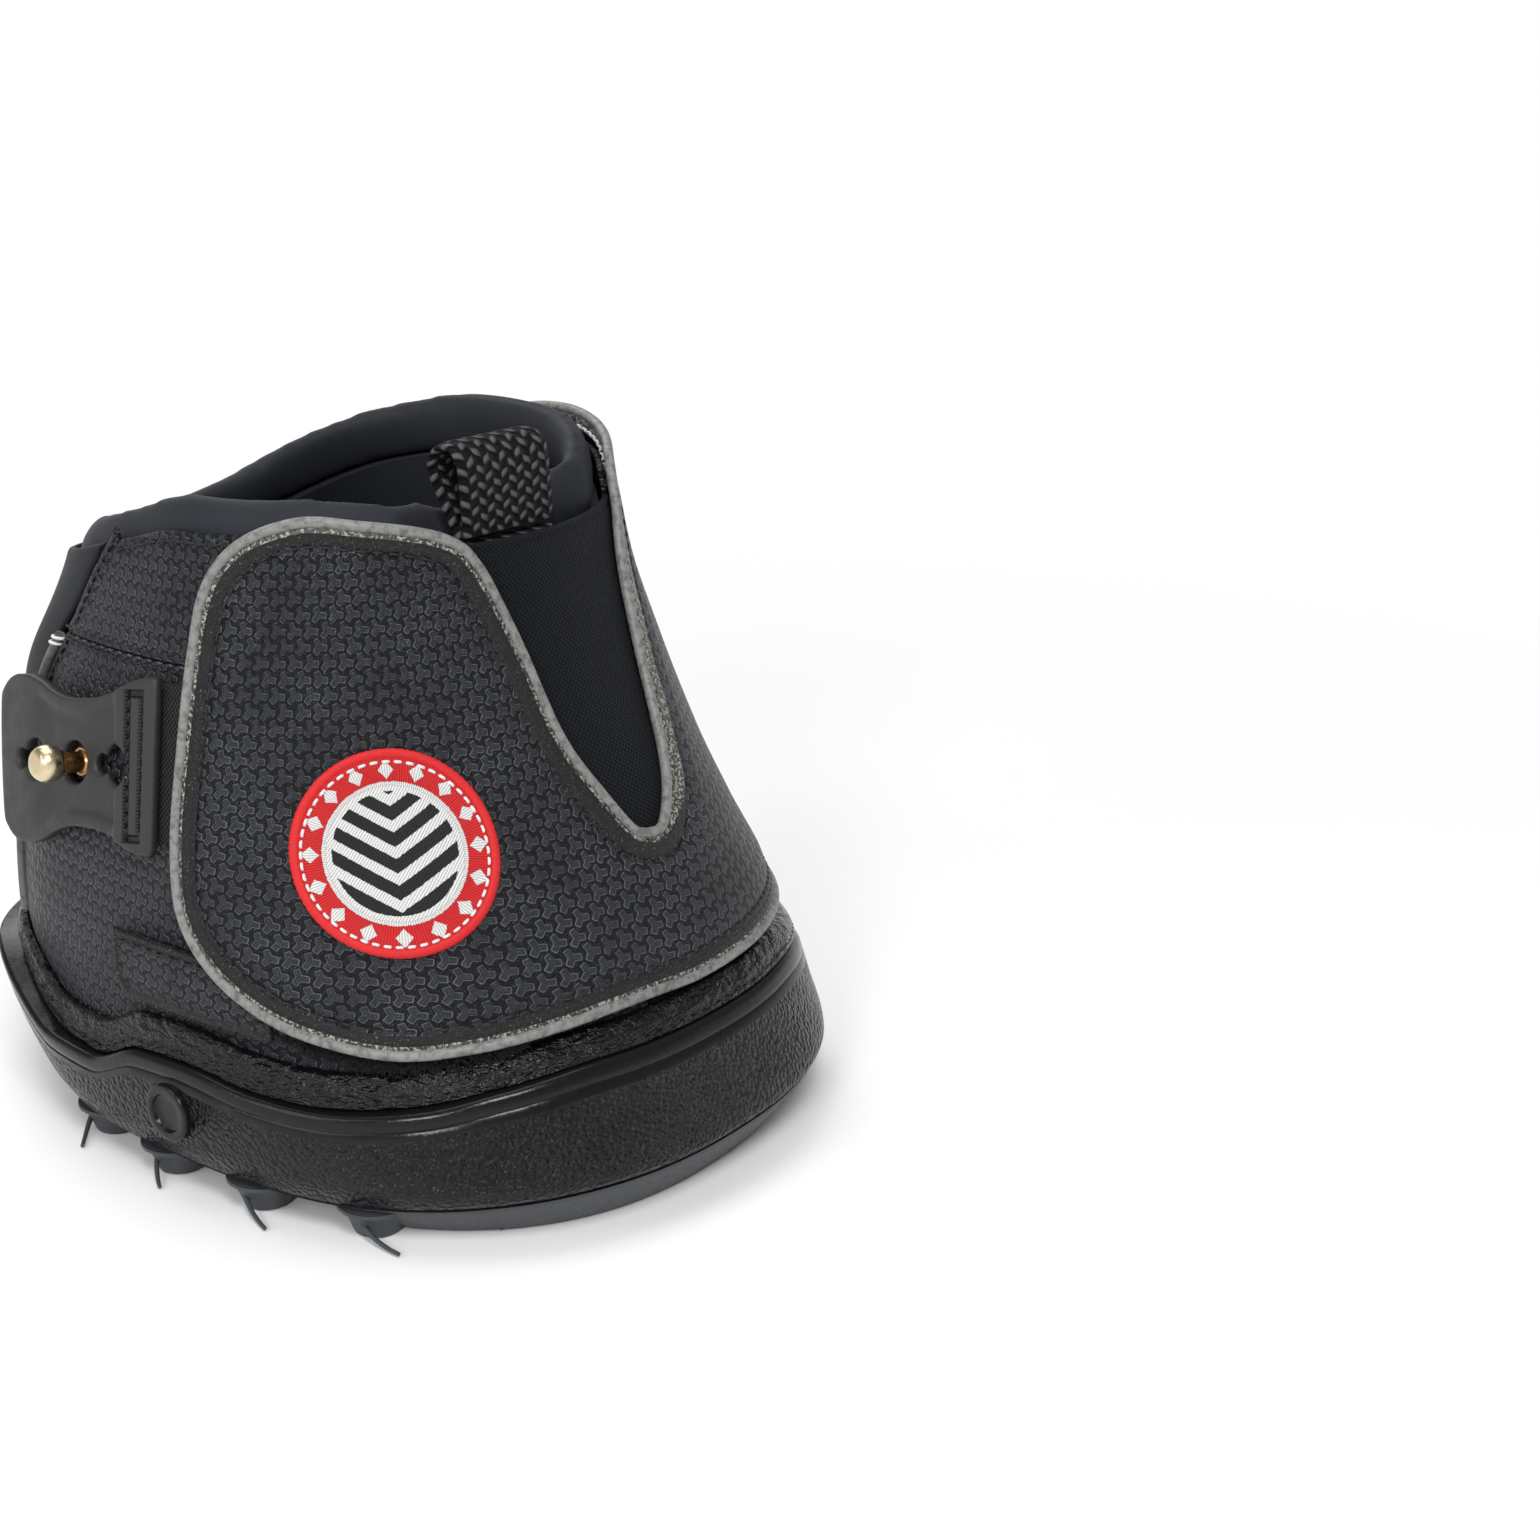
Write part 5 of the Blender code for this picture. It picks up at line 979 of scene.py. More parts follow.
# the collar and the lining take a lighter copy of the heel's neoprene: painted light that brightens the
# inside of the boot
LIT_LINING = neoprene("lining_neoprene_lit", (0.0150, 0.0172, 0.0220), (0.0230, 0.0258, 0.0320))
ELASTIC = woven(
    "ribbed_elastic", 0.00135, 0.0011, (0.0010, 0.0015, 0.0026), (0.0075, 0.0098, 0.0145), 0.00020)
BAND_ELASTIC = woven("band_elastic", 0.0009, 0.0012, (0.004, 0.004, 0.0045), (0.034, 0.034, 0.036), 0.00016)
WEBBING = woven(
    "webbing", 0.0044, 0.0031, (0.002, 0.002, 0.0026), (0.085, 0.088, 0.094), 0.0005, by_band=True)
FUZZY = fuzzy()
BLACK_THREAD = thread("black_thread", (0.006, 0.006, 0.006), (0.022, 0.022, 0.023))
WHITE_THREAD = thread("white_thread", (0.55, 0.55, 0.54), (0.80, 0.80, 0.79), 0.7)
RED_THREAD = thread("red_thread", (0.45, 0.008, 0.010), (0.68, 0.025, 0.028), 0.65)
EMBROIDERY = embroidery()
BRASS = brass("brass", (0.80, 0.68, 0.46), (0.58, 0.46, 0.28))
COPPER = brass("copper_stem", (0.60, 0.34, 0.15), (0.34, 0.18, 0.07))
FOAM = plain(
    "lining_cloth", (0.0005, 3, 0.7), (0.006, 0.006, 0.007), (0.018, 0.0185, 0.020), (0.0005, 3, 0.7),
    0.00012, 0.85, sheen=0.05, specular=0.2)
SMOOTH_RUBBER = plain(
    "smooth_rubber", (0.02, 2), (0.004, 0.0043, 0.005), (0.007, 0.0073, 0.0082), (0.0016, 3, 0.6),
    0.00006, (0.14, 0.24), (0.0016, 3, 0.6), specular=0.26)
FLOOR = floor_paper()


# Sole cup, boss and tread

BOSS_ANGLE = 88
BOSS_HEIGHT = 0.0195
BOSS_RADIUS = 0.0060
BOSS_DISH_RADIUS = 0.0040
BOSS_DISH_DEPTH = 0.0009
BOSS_PROUD = 0.0014
BOSS_ROOT = 0.0020
SMOOTH_BAND_BREADTH = 0.0024    # plain band under the cup's rim
BAND_GROOVE_DEPTH = 0.00025
TREAD_PLATE_HEIGHT = 0.0060
TREAD_EDGE_INSET = 0.0022
TREAD_STEP_INSET = 0.0008
TOE_BAR_BREADTH = 0.0150
TOE_BAR_ANGLE = 48
TOE_BAR_FADE_ANGLE = 12
LUG_RADIUS = 0.0061
LUG_FOOT_RADIUS = 0.0047
LUG_INSET = 0.0074
LUG_ROW_PITCH = 0.0200
LUG_PITCH_ANGLE = 17.5
LUG_FIRST_ANGLE = 55
HAIR_RADIUS = 0.00062
HAIR_RISE = 0.0042              # a vent hair leaves its lug at this height
HAIR_OUT = 0.0052
HAIR_AHEAD = 0.0086

ANGLES = np.arange(ROUND_STEPS) * 360 / ROUND_STEPS


def middle(height):
    return np.array([0, SOLE_CENTRE_BACK, height]) + SHIFT


def make_cup():
    low = lip_height(ANGLES)
    high = rim_height(ANGLES) - RIM_ROUND
    rows = [middle(CUP_FLOOR_HEIGHT), sole(ANGLES, CUP_FLOOR_HEIGHT, -CUP_FLOOR_INSET)]
    for share in (0.5, 0.93):
        height = CUP_FLOOR_HEIGHT + share * (low - CUP_FLOOR_HEIGHT)
        rows.append(sole(ANGLES, height, -CUP_FLOOR_INSET * (1 - share)))
    band = high - SMOOTH_BAND_BREADTH
    for share in (0.02, 0.06, *np.linspace(0.12, 1, 11)):
        rows.append(sole(ANGLES, low + share * (band - low), -0.0002 if share < 0.03 else 0))
    grained_faces = (len(rows) - 2) * ROUND_STEPS
    rows.append(sole(ANGLES, band + 0.0003, -BAND_GROOVE_DEPTH))
    for share in (0.3, 0.6, 1.0):
        rows.append(sole(ANGLES, band + share * (high - band)))
    for turn in (30, 60, 90):
        out = RIM_ROUND * (math.cos(math.radians(turn)) - 1)
        rows.append(sole(ANGLES, high + RIM_ROUND * math.sin(math.radians(turn)), out))
    rim = rim_height(ANGLES)
    rows.append(upper(ANGLES, rim, GAP))
    for share in (0.7, 0.35, 0):
        rows.append(upper(ANGLES, CUP_INNER_FLOOR + share * (rim - CUP_INNER_FLOOR), GAP + CUP_EASE))
    rows.append(middle(CUP_INNER_FLOOR))
    points, faces = bowl(rows)
    zones = np.ones(len(faces), int)
    zones[ROUND_STEPS * 3:grained_faces] = 0
    cup = make_piece("sole_wall", points, faces, (WALL_RUBBER, SMOOTH_RUBBER), sharp=40, zones=zones)
    dress(cup, "boot_body", "moulded_rubber", "sole_cup")

    seat = sole(BOSS_ANGLE, BOSS_HEIGHT)
    axis = sole(BOSS_ANGLE, BOSS_HEIGHT, BOSS_ROOT) - seat
    edge = 0.0004
    profile = [(0, -BOSS_ROOT), (BOSS_RADIUS, -BOSS_ROOT), (BOSS_RADIUS, BOSS_PROUD - edge)]
    for middle_radius, sense in ((BOSS_RADIUS - edge, 1), (BOSS_DISH_RADIUS + edge, -1)):
        for turn in (20, 50, 90) if sense > 0 else (90, 50, 20):
            t = math.radians(turn)
            radius = middle_radius + sense * edge * math.cos(t)
            profile.append((radius, BOSS_PROUD - edge + edge * math.sin(t)))
    floor = BOSS_PROUD - BOSS_DISH_DEPTH
    profile += [(BOSS_DISH_RADIUS, floor + 0.0002), (BOSS_DISH_RADIUS - 0.0003, floor)]
    profile += [(BOSS_DISH_RADIUS * 0.5, floor - 0.0001), (0, floor - 0.0001)]
    boss = make_piece("sole_boss", *turned(profile, 64, seat, axis), SMOOTH_RUBBER, sharp=60)
    dress(boss, "boot_body", "moulded_rubber")


def toe_bar(angle):
    return 1 - ease(np.abs(around(angle)), TOE_BAR_ANGLE, TOE_BAR_ANGLE + TOE_BAR_FADE_ANGLE)


def lug_places():
    """Angles and centres of the lugs, in rows that step inwards from the sole's outline."""
    places = []
    row = 0
    inset = LUG_INSET
    while inset < SOLE_HALF_WIDTH - LUG_RADIUS:
        narrow = max(1 - inset / SOLE_HALF_WIDTH, LUG_RADIUS / SOLE_HALF_WIDTH)
        pitch = LUG_PITCH_ANGLE / narrow
        first = LUG_FIRST_ANGLE if row == 0 else 0
        count = max(1, math.floor((180 - first) / pitch))
        step = (180 - first) / count
        for i in range(count + 1):
            angle = 180 - i * step
            near = row == 1 and angle < LUG_FIRST_ANGLE - TOE_BAR_FADE_ANGLE
            for side in ((1,) if angle in (0, 180) else (1, -1)):
                reach = inset + (LUG_RADIUS if near else 0)
                spot = sole(side * angle, lip_height(side * angle), -reach)
                spot[2] = 0
                if all(np.linalg.norm(spot - other) > 2 * LUG_RADIUS + GAP for _, _, other in places):
                    places.append((row, side * angle, spot))
        row += 1
        inset += LUG_ROW_PITCH
    return places


def make_tread():
    low = lip_height(ANGLES)
    brow = low - TREAD_STEP_INSET / CUP_FLOOR_INSET * (low - CUP_FLOOR_HEIGHT) - 2 * LAYER_GAP
    foot = TREAD_PLATE_HEIGHT * (1 - toe_bar(ANGLES))
    top = CUP_FLOOR_HEIGHT - GAP
    edge = 0.0006
    bar = -TREAD_EDGE_INSET - TOE_BAR_BREADTH
    places = [
        (TREAD_PLATE_HEIGHT, bar - RIM_ROUND), (foot + edge * toe_bar(ANGLES), bar), (foot, bar + edge),
        (foot, -TREAD_EDGE_INSET - edge), (foot + 0.3 * edge, -TREAD_EDGE_INSET - 0.2 * edge)]
    for share in (0.12, 0.35, 0.6, 0.85, 0.97):
        inset = TREAD_EDGE_INSET + share * (TREAD_STEP_INSET - TREAD_EDGE_INSET)
        places.append((foot + share * (brow - foot), -inset))
    places += [(brow, -TREAD_STEP_INSET - 0.3 * edge), (top, -CUP_FLOOR_INSET)]
    rows = [middle(TREAD_PLATE_HEIGHT), *(sole(ANGLES, *place) for place in places), middle(top)]
    tread = make_piece("tread_plate", *bowl(rows), TREAD_RUBBER, sharp=35)
    dress(tread, "boot_body", "tread_rubber", "tread")

    wide = LUG_RADIUS
    foot_edge = LUG_FOOT_RADIUS
    top = TREAD_PLATE_HEIGHT + 0.0006
    profile = (
        (0, 0.0002), (foot_edge * 0.6, 0.0001), (foot_edge * 0.93, 0.0), (foot_edge, 0.0002),
        (foot_edge + 0.00025, 0.0006), (wide - 0.0003, TREAD_PLATE_HEIGHT * 0.52),
        (wide - 0.00006, TREAD_PLATE_HEIGHT * 0.6), (wide + 0.0002, TREAD_PLATE_HEIGHT * 0.72),
        (wide + 0.0008, TREAD_PLATE_HEIGHT * 0.86), (wide + 0.0019, TREAD_PLATE_HEIGHT * 0.98),
        (wide + 0.0019, top), (0, top))
    lugs = [turned(profile, 32, spot, (0, 0, 1)) for _, _, spot in lug_places()]
    lugs = make_piece("tread_lugs", *joined(lugs), TREAD_RUBBER, sharp=50)
    dress(lugs, "boot_body", "tread_rubber")

    hairs = []
    starts = [(angle, spot, 1) for row, angle, spot in lug_places() if not row and abs(angle) < 120]
    starts += [(angle, sole(angle, 0, -0.0085), 0.7) for angle in (38, -38)]
    for angle, spot, size in starts:
        out = unit(sole(angle, 0.004, 0.01) - sole(angle, 0.004))
        ahead = unit(sole(angle - 4, 0.004) - sole(angle + 4, 0.004)) * np.sign(angle)
        t = np.linspace(0, 1, 14)[:, None]
        sway = 1 + 0.25 * math.sin(3.1 * angle)
        line = spot + LUG_FOOT_RADIUS * (0.98 * out - 0.33 * ahead) * size
        line = line + size * (HAIR_OUT * t * out + HAIR_AHEAD * sway * t ** 1.4 * ahead)
        line[:, 2] = HAIR_RADIUS * 1.2 + size * (HAIR_RISE - HAIR_RADIUS) * (1 - t[:, 0]) ** 1.7
        radii = HAIR_RADIUS * (1 - 0.35 * t[:, 0])
        hairs.append(tube(line, np.tile(out, (len(line), 1)), radii, 8))
    hairs = make_piece("vent_hairs", *joined(hairs), TREAD_RUBBER)
    dress(hairs, "boot_body", "tread_rubber")


# Rand, insole, lining and collar

RAND_FOOT_OUT = 0.0032
RAND_BELLY_OUT = 0.0030
RAND_TOP_OUT = 0.0014
INSOLE_FIELD_RISE = 0.0004
LINING_SWELL = 0.0043           # the lining thickens up to the collar's inner face
LINING_SWELL_DEPTH = 0.030
NUT_ROOM = 0.0030
NUT_ROOM_RADIUS = 0.0260
NUT_RADIUS = 0.0045
SWELL_ROOM = 0.0007             # the collar starts smaller by this before it is filled
SWELL_CAP = 0.0009
SWELL_VOXEL = 0.0019
SWELL_PRESSURE = 4.0
SWELL_SHRINK = -0.04
SWELL_FRAMES = 20
SWELL_SEWN_HEIGHT = 0.0030      # the collar is sewn down up to this height above its foot
SWELL_SMEAR_ROUNDS = 14


def make_rand():
    foot = rim_height(ANGLES) + GAP
    top = rand_height(ANGLES)
    tall = top - foot
    shares = (0.0, 0.03, 0.10, 0.20, 0.24, 0.28, 0.38, 0.50, 0.65, 0.80, 0.90, 0.96, 1.0)
    outs = interpolant(
        (0, 0.03, 0.10, 0.20, 0.24, 0.28, 0.5, 0.88, 0.96, 1.0),
        (RAND_FOOT_OUT - 0.0006, RAND_FOOT_OUT - 0.0001, RAND_FOOT_OUT, RAND_FOOT_OUT - 0.0001,
         RAND_FOOT_OUT - 0.0004, RAND_FOOT_OUT - 0.0001, RAND_BELLY_OUT,
         RAND_TOP_OUT + 0.0006, RAND_TOP_OUT + 0.0001, RAND_TOP_OUT - 0.0006))
    sections = []
    for share in shares:
        height = foot + tall * share
        points = upper(ANGLES, height)
        wave = 0.00022 * ripple(points, 0.0042) * math.sin(math.pi * share)
        sections.append(upper(ANGLES, height, outs(share) + wave))
    for share in (1.0, 0.5, 0.0):
        sections.append(upper(ANGLES, foot + tall * share, GAP))
    rand = make_piece("rand_strip", *ring(np.stack(sections, 1)), RAND_VINYL, sharp=50)
    dress(rand, "boot_body", "rand_vinyl", "rand")
    path = np.stack([ANGLES, foot + tall * 0.24], -1)
    seam = make_piece(
        "rand_stitches", *stitches(path, lambda a, h: RAND_FOOT_OUT - 0.0003, pitch=0.0031), BLACK_THREAD)
    dress(seam, "boot_body", "rand_vinyl")


def make_insole():
    low = CUP_INNER_FLOOR + GAP
    edge = 0.0006
    field = -BASE_THICKNESS - LINER_ROOM - LINER_THICKNESS - 0.001
    high = INSOLE_TOP + INSOLE_FIELD_RISE
    places = (
        (low, -INSOLE_INSET), (INSOLE_TOP - edge, -INSOLE_INSET), (INSOLE_TOP, -INSOLE_INSET - edge),
        (INSOLE_TOP, field), (high, field - 2 * edge), (high, field - 0.02))
    rows = [middle(low), *(upper(ANGLES, *place) for place in places), middle(high)]
    pad = make_piece("insole_foam", *bowl(rows), FOAM)
    dress(pad, "boot_body", "foam", "insole_pad")


def nut_room(angle, height):
    reach = np.linalg.norm(upper(angle, height) - upper(*STUD_PLACE), axis=-1)
    return NUT_ROOM * (1 - ease(reach, 2 * NUT_RADIUS, NUT_ROOM_RADIUS))


def make_liner():
    low = INSOLE_TOP + GAP
    high = collar_height(ANGLES) - COLLAR_DEPTH - GAP
    face = -BASE_THICKNESS - LINER_ROOM
    sections = []
    for share in np.linspace(0, 1, 20):
        height = low + (high - low) * share
        sections.append(upper(ANGLES, height, face - nut_room(ANGLES, height)))
    for share in np.linspace(1, 0, 26):
        height = low + (high - low) * share
        depth = face - LINER_THICKNESS - nut_room(ANGLES, height) / 2
        depth = depth - (LINING_SWELL + loop_room(ANGLES)) * ease(height, high - LINING_SWELL_DEPTH, high)
        fold = 0.0005 * ripple(upper(ANGLES, height), 0.016) * math.sin(math.pi * share)
        sections.append(upper(ANGLES, height, depth + fold))
    liner = make_piece("lining", *ring(np.stack(sections, 1)), LIT_LINING)
    dress(liner, "boot_body", "neoprene", "liner")


def loop_room(angle):
    turn = np.abs(around(angle))
    return LOOP_ROOM * (1 - ease(turn, LOOP_ROOM_ANGLE, LOOP_ROOM_ANGLE + LOOP_ROOM_FADE_ANGLE))


def take_shape(piece):
    """Applies the piece's modifiers."""
    shape = piece.evaluated_get(bpy.context.evaluated_depsgraph_get())
    mesh = bpy.data.meshes.new_from_object(shape)
    piece.modifiers.clear()
    piece.data = mesh


def mesh_points(mesh):
    points = np.empty(len(mesh.vertices) * 3, np.float32)
    mesh.vertices.foreach_get("co", points)
    return points.reshape(-1, 3)


def smeared(values, edges, rounds):
    """Values at a mesh's points, evened out along its edges."""
    ends = np.concatenate([edges, edges[:, ::-1]])
    count = np.bincount(ends[:, 0], minlength=len(values))[:, None]
    for _ in range(rounds):
        total = np.zeros_like(values)
        np.add.at(total, ends[:, 0], values[ends[:, 1]])
        values = (values + total / np.maximum(count, 1)) / 2
    return values


def swell(piece, cap):
    """Fills a pad by a short cloth simulation; its sewn foot stays and moves are capped."""
    mesh = piece.data
    drawn = BVHTree.FromPolygons(
        [vertex.co for vertex in mesh.vertices], [tuple(polygon.vertices) for polygon in mesh.polygons])
    grid = piece.modifiers.new("grid", "REMESH")
    grid.mode = "VOXEL"
    grid.voxel_size = SWELL_VOXEL
    take_shape(piece)
    for vertex in piece.data.vertices:
        vertex.co = drawn.find_nearest(vertex.co)[0]
    start = mesh_points(piece.data)
    edges = np.array([edge.vertices for edge in piece.data.edges])
    angle = np.degrees(np.arctan2(-(start[:, 0] - SHIFT[0]), -(start[:, 1] - SHIFT[1])))
    sewn = piece.vertex_groups.new(name="sewn")
    foot = start[:, 2] < collar_height(angle) - COLLAR_DEPTH + SWELL_SEWN_HEIGHT
    sewn.add(np.nonzero(foot)[0].tolist(), 1.0, "REPLACE")
    fabric = piece.modifiers.new("fabric", "CLOTH")
    settings = fabric.settings
    settings.use_pressure = True
    settings.uniform_pressure_force = SWELL_PRESSURE
    settings.vertex_group_mass = "sewn"
    settings.shrink_min = SWELL_SHRINK
    settings.effector_weights.gravity = 0
    for frame_number in range(1, SWELL_FRAMES + 1):
        bpy.context.scene.frame_set(frame_number)
    shape = piece.evaluated_get(bpy.context.evaluated_depsgraph_get())
    move = mesh_points(shape.data) - start
    size = np.linalg.norm(move, axis=1, keepdims=True)
    move *= np.minimum(1, cap / np.maximum(size, 1e-9))
    piece.modifiers.clear()
    piece.vertex_groups.clear()
    bpy.context.scene.frame_set(1)
    shaped = start + smeared(move, edges, SWELL_SMEAR_ROUNDS)
    piece.data.vertices.foreach_set("co", shaped.astype(np.float32).ravel())
    smooth = piece.modifiers.new("smooth", "SUBSURF")
    smooth.levels = 1
    take_shape(piece)
    piece.data.shade_smooth()


def make_collar():
    """Roll of folded neoprene round the top, filled with foam."""
    middle_height = collar_height(ANGLES) - COLLAR_DEPTH / 2
    offset = -BASE_THICKNESS - GAP - COLLAR_THICKNESS / 2 - loop_room(ANGLES)
    sections = []
    for turn in np.radians(np.arange(24) * 15 + 7.5):
        inner = math.cos(turn) < 0
        full = 0.45 if inner and math.sin(turn) < 0 else 0.8
        room = 0 if inner else SWELL_ROOM
        out = (COLLAR_THICKNESS / 2 - room) * np.sign(math.cos(turn)) * abs(math.cos(turn)) ** full
        up = (COLLAR_DEPTH / 2) * math.sin(turn)
        place = upper(ANGLES, middle_height + up, offset + out)
        wave = 0.0009 * ripple(place, 0.018, 2) if inner else 0.00015 * ripple(place, 0.013, 2)
        sections.append(upper(ANGLES, middle_height + up, offset + out + wave))
    collar = make_piece("collar_padding", *ring(np.stack(sections, 1)), LIT_LINING, sharp=180)
    swell(collar, SWELL_CAP)
    dress(collar, "boot_body", "neoprene", "collar_roll")


# Base panels

HEEL_CROWN_FADE_HEIGHT = 0.018
HEEL_CROWN_DROP = 0.027
HEEL_CHANNEL_HEIGHT = 0.083     # a shallow channel across the heel's crown
HEEL_CHANNEL_REACH = 0.004
HEEL_CHANNEL_SHARE = 0.35
HEEL_BEAD_OUT = PIPING_RADIUS - BASE_THICKNESS / 2
GUSSET_THICKNESS = 0.0014
GUSSET_HEM_DROP = 0.0014
SEAM_ROW_GAP = 0.0011


def gusset_edge(side, height):
    shares = WING_EDGE_SHARES if side > 0 else COVER_EDGE_SHARES[1:]
    share = (height - GUSSET_TIP_HEIGHT) / (GUSSET_TOP_HEIGHT - GUSSET_TIP_HEIGHT)
    angle = interpolant([s for _, s in shares], [abs(a) for a, _ in shares])(share) + GUSSET_LAP_ANGLE
    return side * np.maximum(angle, GUSSET_ROOT_ANGLE)


def edge_column(read, low, high):
    """Path of an edge from a low height to a high one, as angle and height."""
    heights = np.linspace(low, high, max(2, round((high - low) / EDGE_STEP) + 1))
    return np.stack([read(heights), heights], -1)


def rear_angle(height):
    return rear_shape((height - BASE_FOOT_HEIGHT) / (REAR_EDGE_HEIGHT - BASE_FOOT_HEIGHT))


def front_angle(side):
    def read(height):
        edge = gusset_edge(side, height)
        return edge + side * LAYER_GAP / degree_size(edge, height)
    return read


def top_edge(first, last):
    count = max(2, round(abs(last - first) * METRES_PER_DEGREE / EDGE_STEP))
    angles = np.linspace(first, last, count + 1)
    return np.stack([angles, panel_top(angles)], -1)


def four_sided(front, rear, top=None):
    """Outline of a panel from its front and rear edges, each from bottom to top."""
    top = straight([rear[-1], front[-1]])[1:] if top is None else top[1:-1]
    return np.concatenate([straight([front[0], rear[0]])[:-1], rear, top, front[:0:-1]])


def make_gusset():
    medial = edge_column(lambda h: gusset_edge(-1, h), BASE_FOOT_HEIGHT, GUSSET_TOP_HEIGHT)
    lateral = edge_column(lambda h: gusset_edge(1, h), BASE_FOOT_HEIGHT, GUSSET_TOP_HEIGHT)
    outline = four_sided(medial, lateral)
    hem = GUSSET_TOP_HEIGHT - GUSSET_HEM_DROP

    def relief(near, angle, height):
        groove = -0.00022 * np.exp(-((height - hem) / 0.0004) ** 2)
        return groove + 0.00012 * ripple(upper(angle, height), 0.01)

    gusset = cloth(
        "gusset_elastic", outline, 0, -GUSSET_THICKNESS, ELASTIC, roll=0.0004, relief=relief,
        guides=[straight([(-45, hem + d), (30, hem + d)]) for d in (-0.0005, 0, 0.0005)])
    dress(gusset, "boot_body", "ribbed_elastic", "elastic_gusset")


def panel_relief(near, angle, height):
    turned_in = -0.00018 * np.exp(-((near - 0.0026) / 0.0005) ** 2)
    return turned_in + 0.00014 * ripple(upper(angle, height), 0.012)


def base_panel(name, node, outline, relief=panel_relief, holes=()):
    panel = cloth(
        name, outline, 0, -BASE_THICKNESS, EMBOSSED, holes=holes, roll=0.0005, relief=relief)
    dress(panel, "boot_body", "embossed_synthetic", node)


def make_quarters():
    front = edge_column(front_angle(1), BASE_FOOT_HEIGHT, SEAM_HEIGHT)
    rear = edge_column(rear_angle, BASE_FOOT_HEIGHT, SEAM_HEIGHT)
    turn = turns(24)
    bore = STUD_NECK_RADIUS + LAYER_GAP
    across = bore * np.cos(turn) / degree_size(*STUD_PLACE)
    hole = np.stack([STUD_PLACE[0] + across, STUD_PLACE[1] + bore * np.sin(turn)], -1)
    base_panel(
        "quarter_lateral_lower", "lateral_quarter_lower", four_sided(front, rear),
        holes=(hole,))

    seam = SEAM_HEIGHT + GAP
    front = edge_column(front_angle(1), seam, GUSSET_TOP_HEIGHT - PIPING_RADIUS)
    rear = edge_column(rear_angle, seam, REAR_EDGE_HEIGHT - PANEL_DROP / 2)
    outline = four_sided(front, rear, top_edge(rear[-1][0], front[-1][0]))

    def upper_relief(near, angle, height):
        fold = 0.0003 * np.exp(-((height - seam - 0.0012) / 0.0014) ** 2)
        return panel_relief(near, angle, height) + fold

    base_panel("quarter_lateral_upper", "lateral_quarter_upper", outline, upper_relief)

    front = edge_column(front_angle(-1), BASE_FOOT_HEIGHT, GUSSET_TOP_HEIGHT - PIPING_RADIUS)
    rear = edge_column(lambda h: -rear_angle(h), BASE_FOOT_HEIGHT, REAR_EDGE_HEIGHT)
    outline = four_sided(front, rear, top_edge(rear[-1][0], front[-1][0]))
    base_panel("quarter_medial", "medial_quarter", outline)

    rows = []
    for rise in (-SEAM_ROW_GAP, 0.0014):
        span = straight([(rear_angle(SEAM_HEIGHT) - 1, SEAM_HEIGHT + rise), (24, SEAM_HEIGHT + rise)])
        rows.append(stitches(span, 0.0002, pitch=0.0026, length=0.0021))
    for side, first, last in ((1, 101, 26), (-1, -101, -42)):
        edge = top_edge(first, last)
        edge[:, 1] -= 0.0018
        rows.append(stitches(edge, 0.0001, pitch=0.0026, length=0.0020))
    rear = edge_column(rear_angle, 0.060, REAR_EDGE_HEIGHT - 0.005)
    for side in (1, -1):
        edge = rear * (side, 1) - (side * 1.9, 0)
        rows.append(stitches(edge, 0.0001, pitch=0.0028))
    seams = make_piece("quarter_stitches", *joined(rows), BLACK_THREAD)
    dress(seams, "boot_body", "embossed_synthetic")


def heel_side(side):
    top = REAR_EDGE_HEIGHT - (PANEL_DROP / 2 if side > 0 else 0)

    def read(height):
        angle = rear_angle(height)
        piped = 1 - ease(height, HEEL_PIPING_TOP_HEIGHT, HEEL_PIPING_TOP_HEIGHT + 0.010)
        room = 2 * LAYER_GAP + 2 * PIPING_RADIUS * piped
        width = room / degree_size(angle, height)
        return angle + width if side > 0 else 360 - angle - width
    return edge_column(read, BASE_FOOT_HEIGHT, top)


def heel_puff(angle, height):
    edge = rear_angle(height)
    inward_angle = 180 - np.abs(angle - 180) - edge
    low = rand_height(angle)
    above = ease(height, low, low + HEEL_CROWN_FADE_HEIGHT)
    below = ease(panel_top(angle) - height, 0, HEEL_CROWN_DROP)
    channel = 1 - HEEL_CHANNEL_SHARE * np.exp(-(((height - HEEL_CHANNEL_HEIGHT) / HEEL_CHANNEL_REACH) ** 2))
    return HEEL_PUFF * ease(inward_angle, 1, 13) * above * below * channel


def bead_angle(side, height):
    angle = rear_angle(height)
    return side * (angle + (PIPING_RADIUS + LAYER_GAP) / degree_size(angle, height))


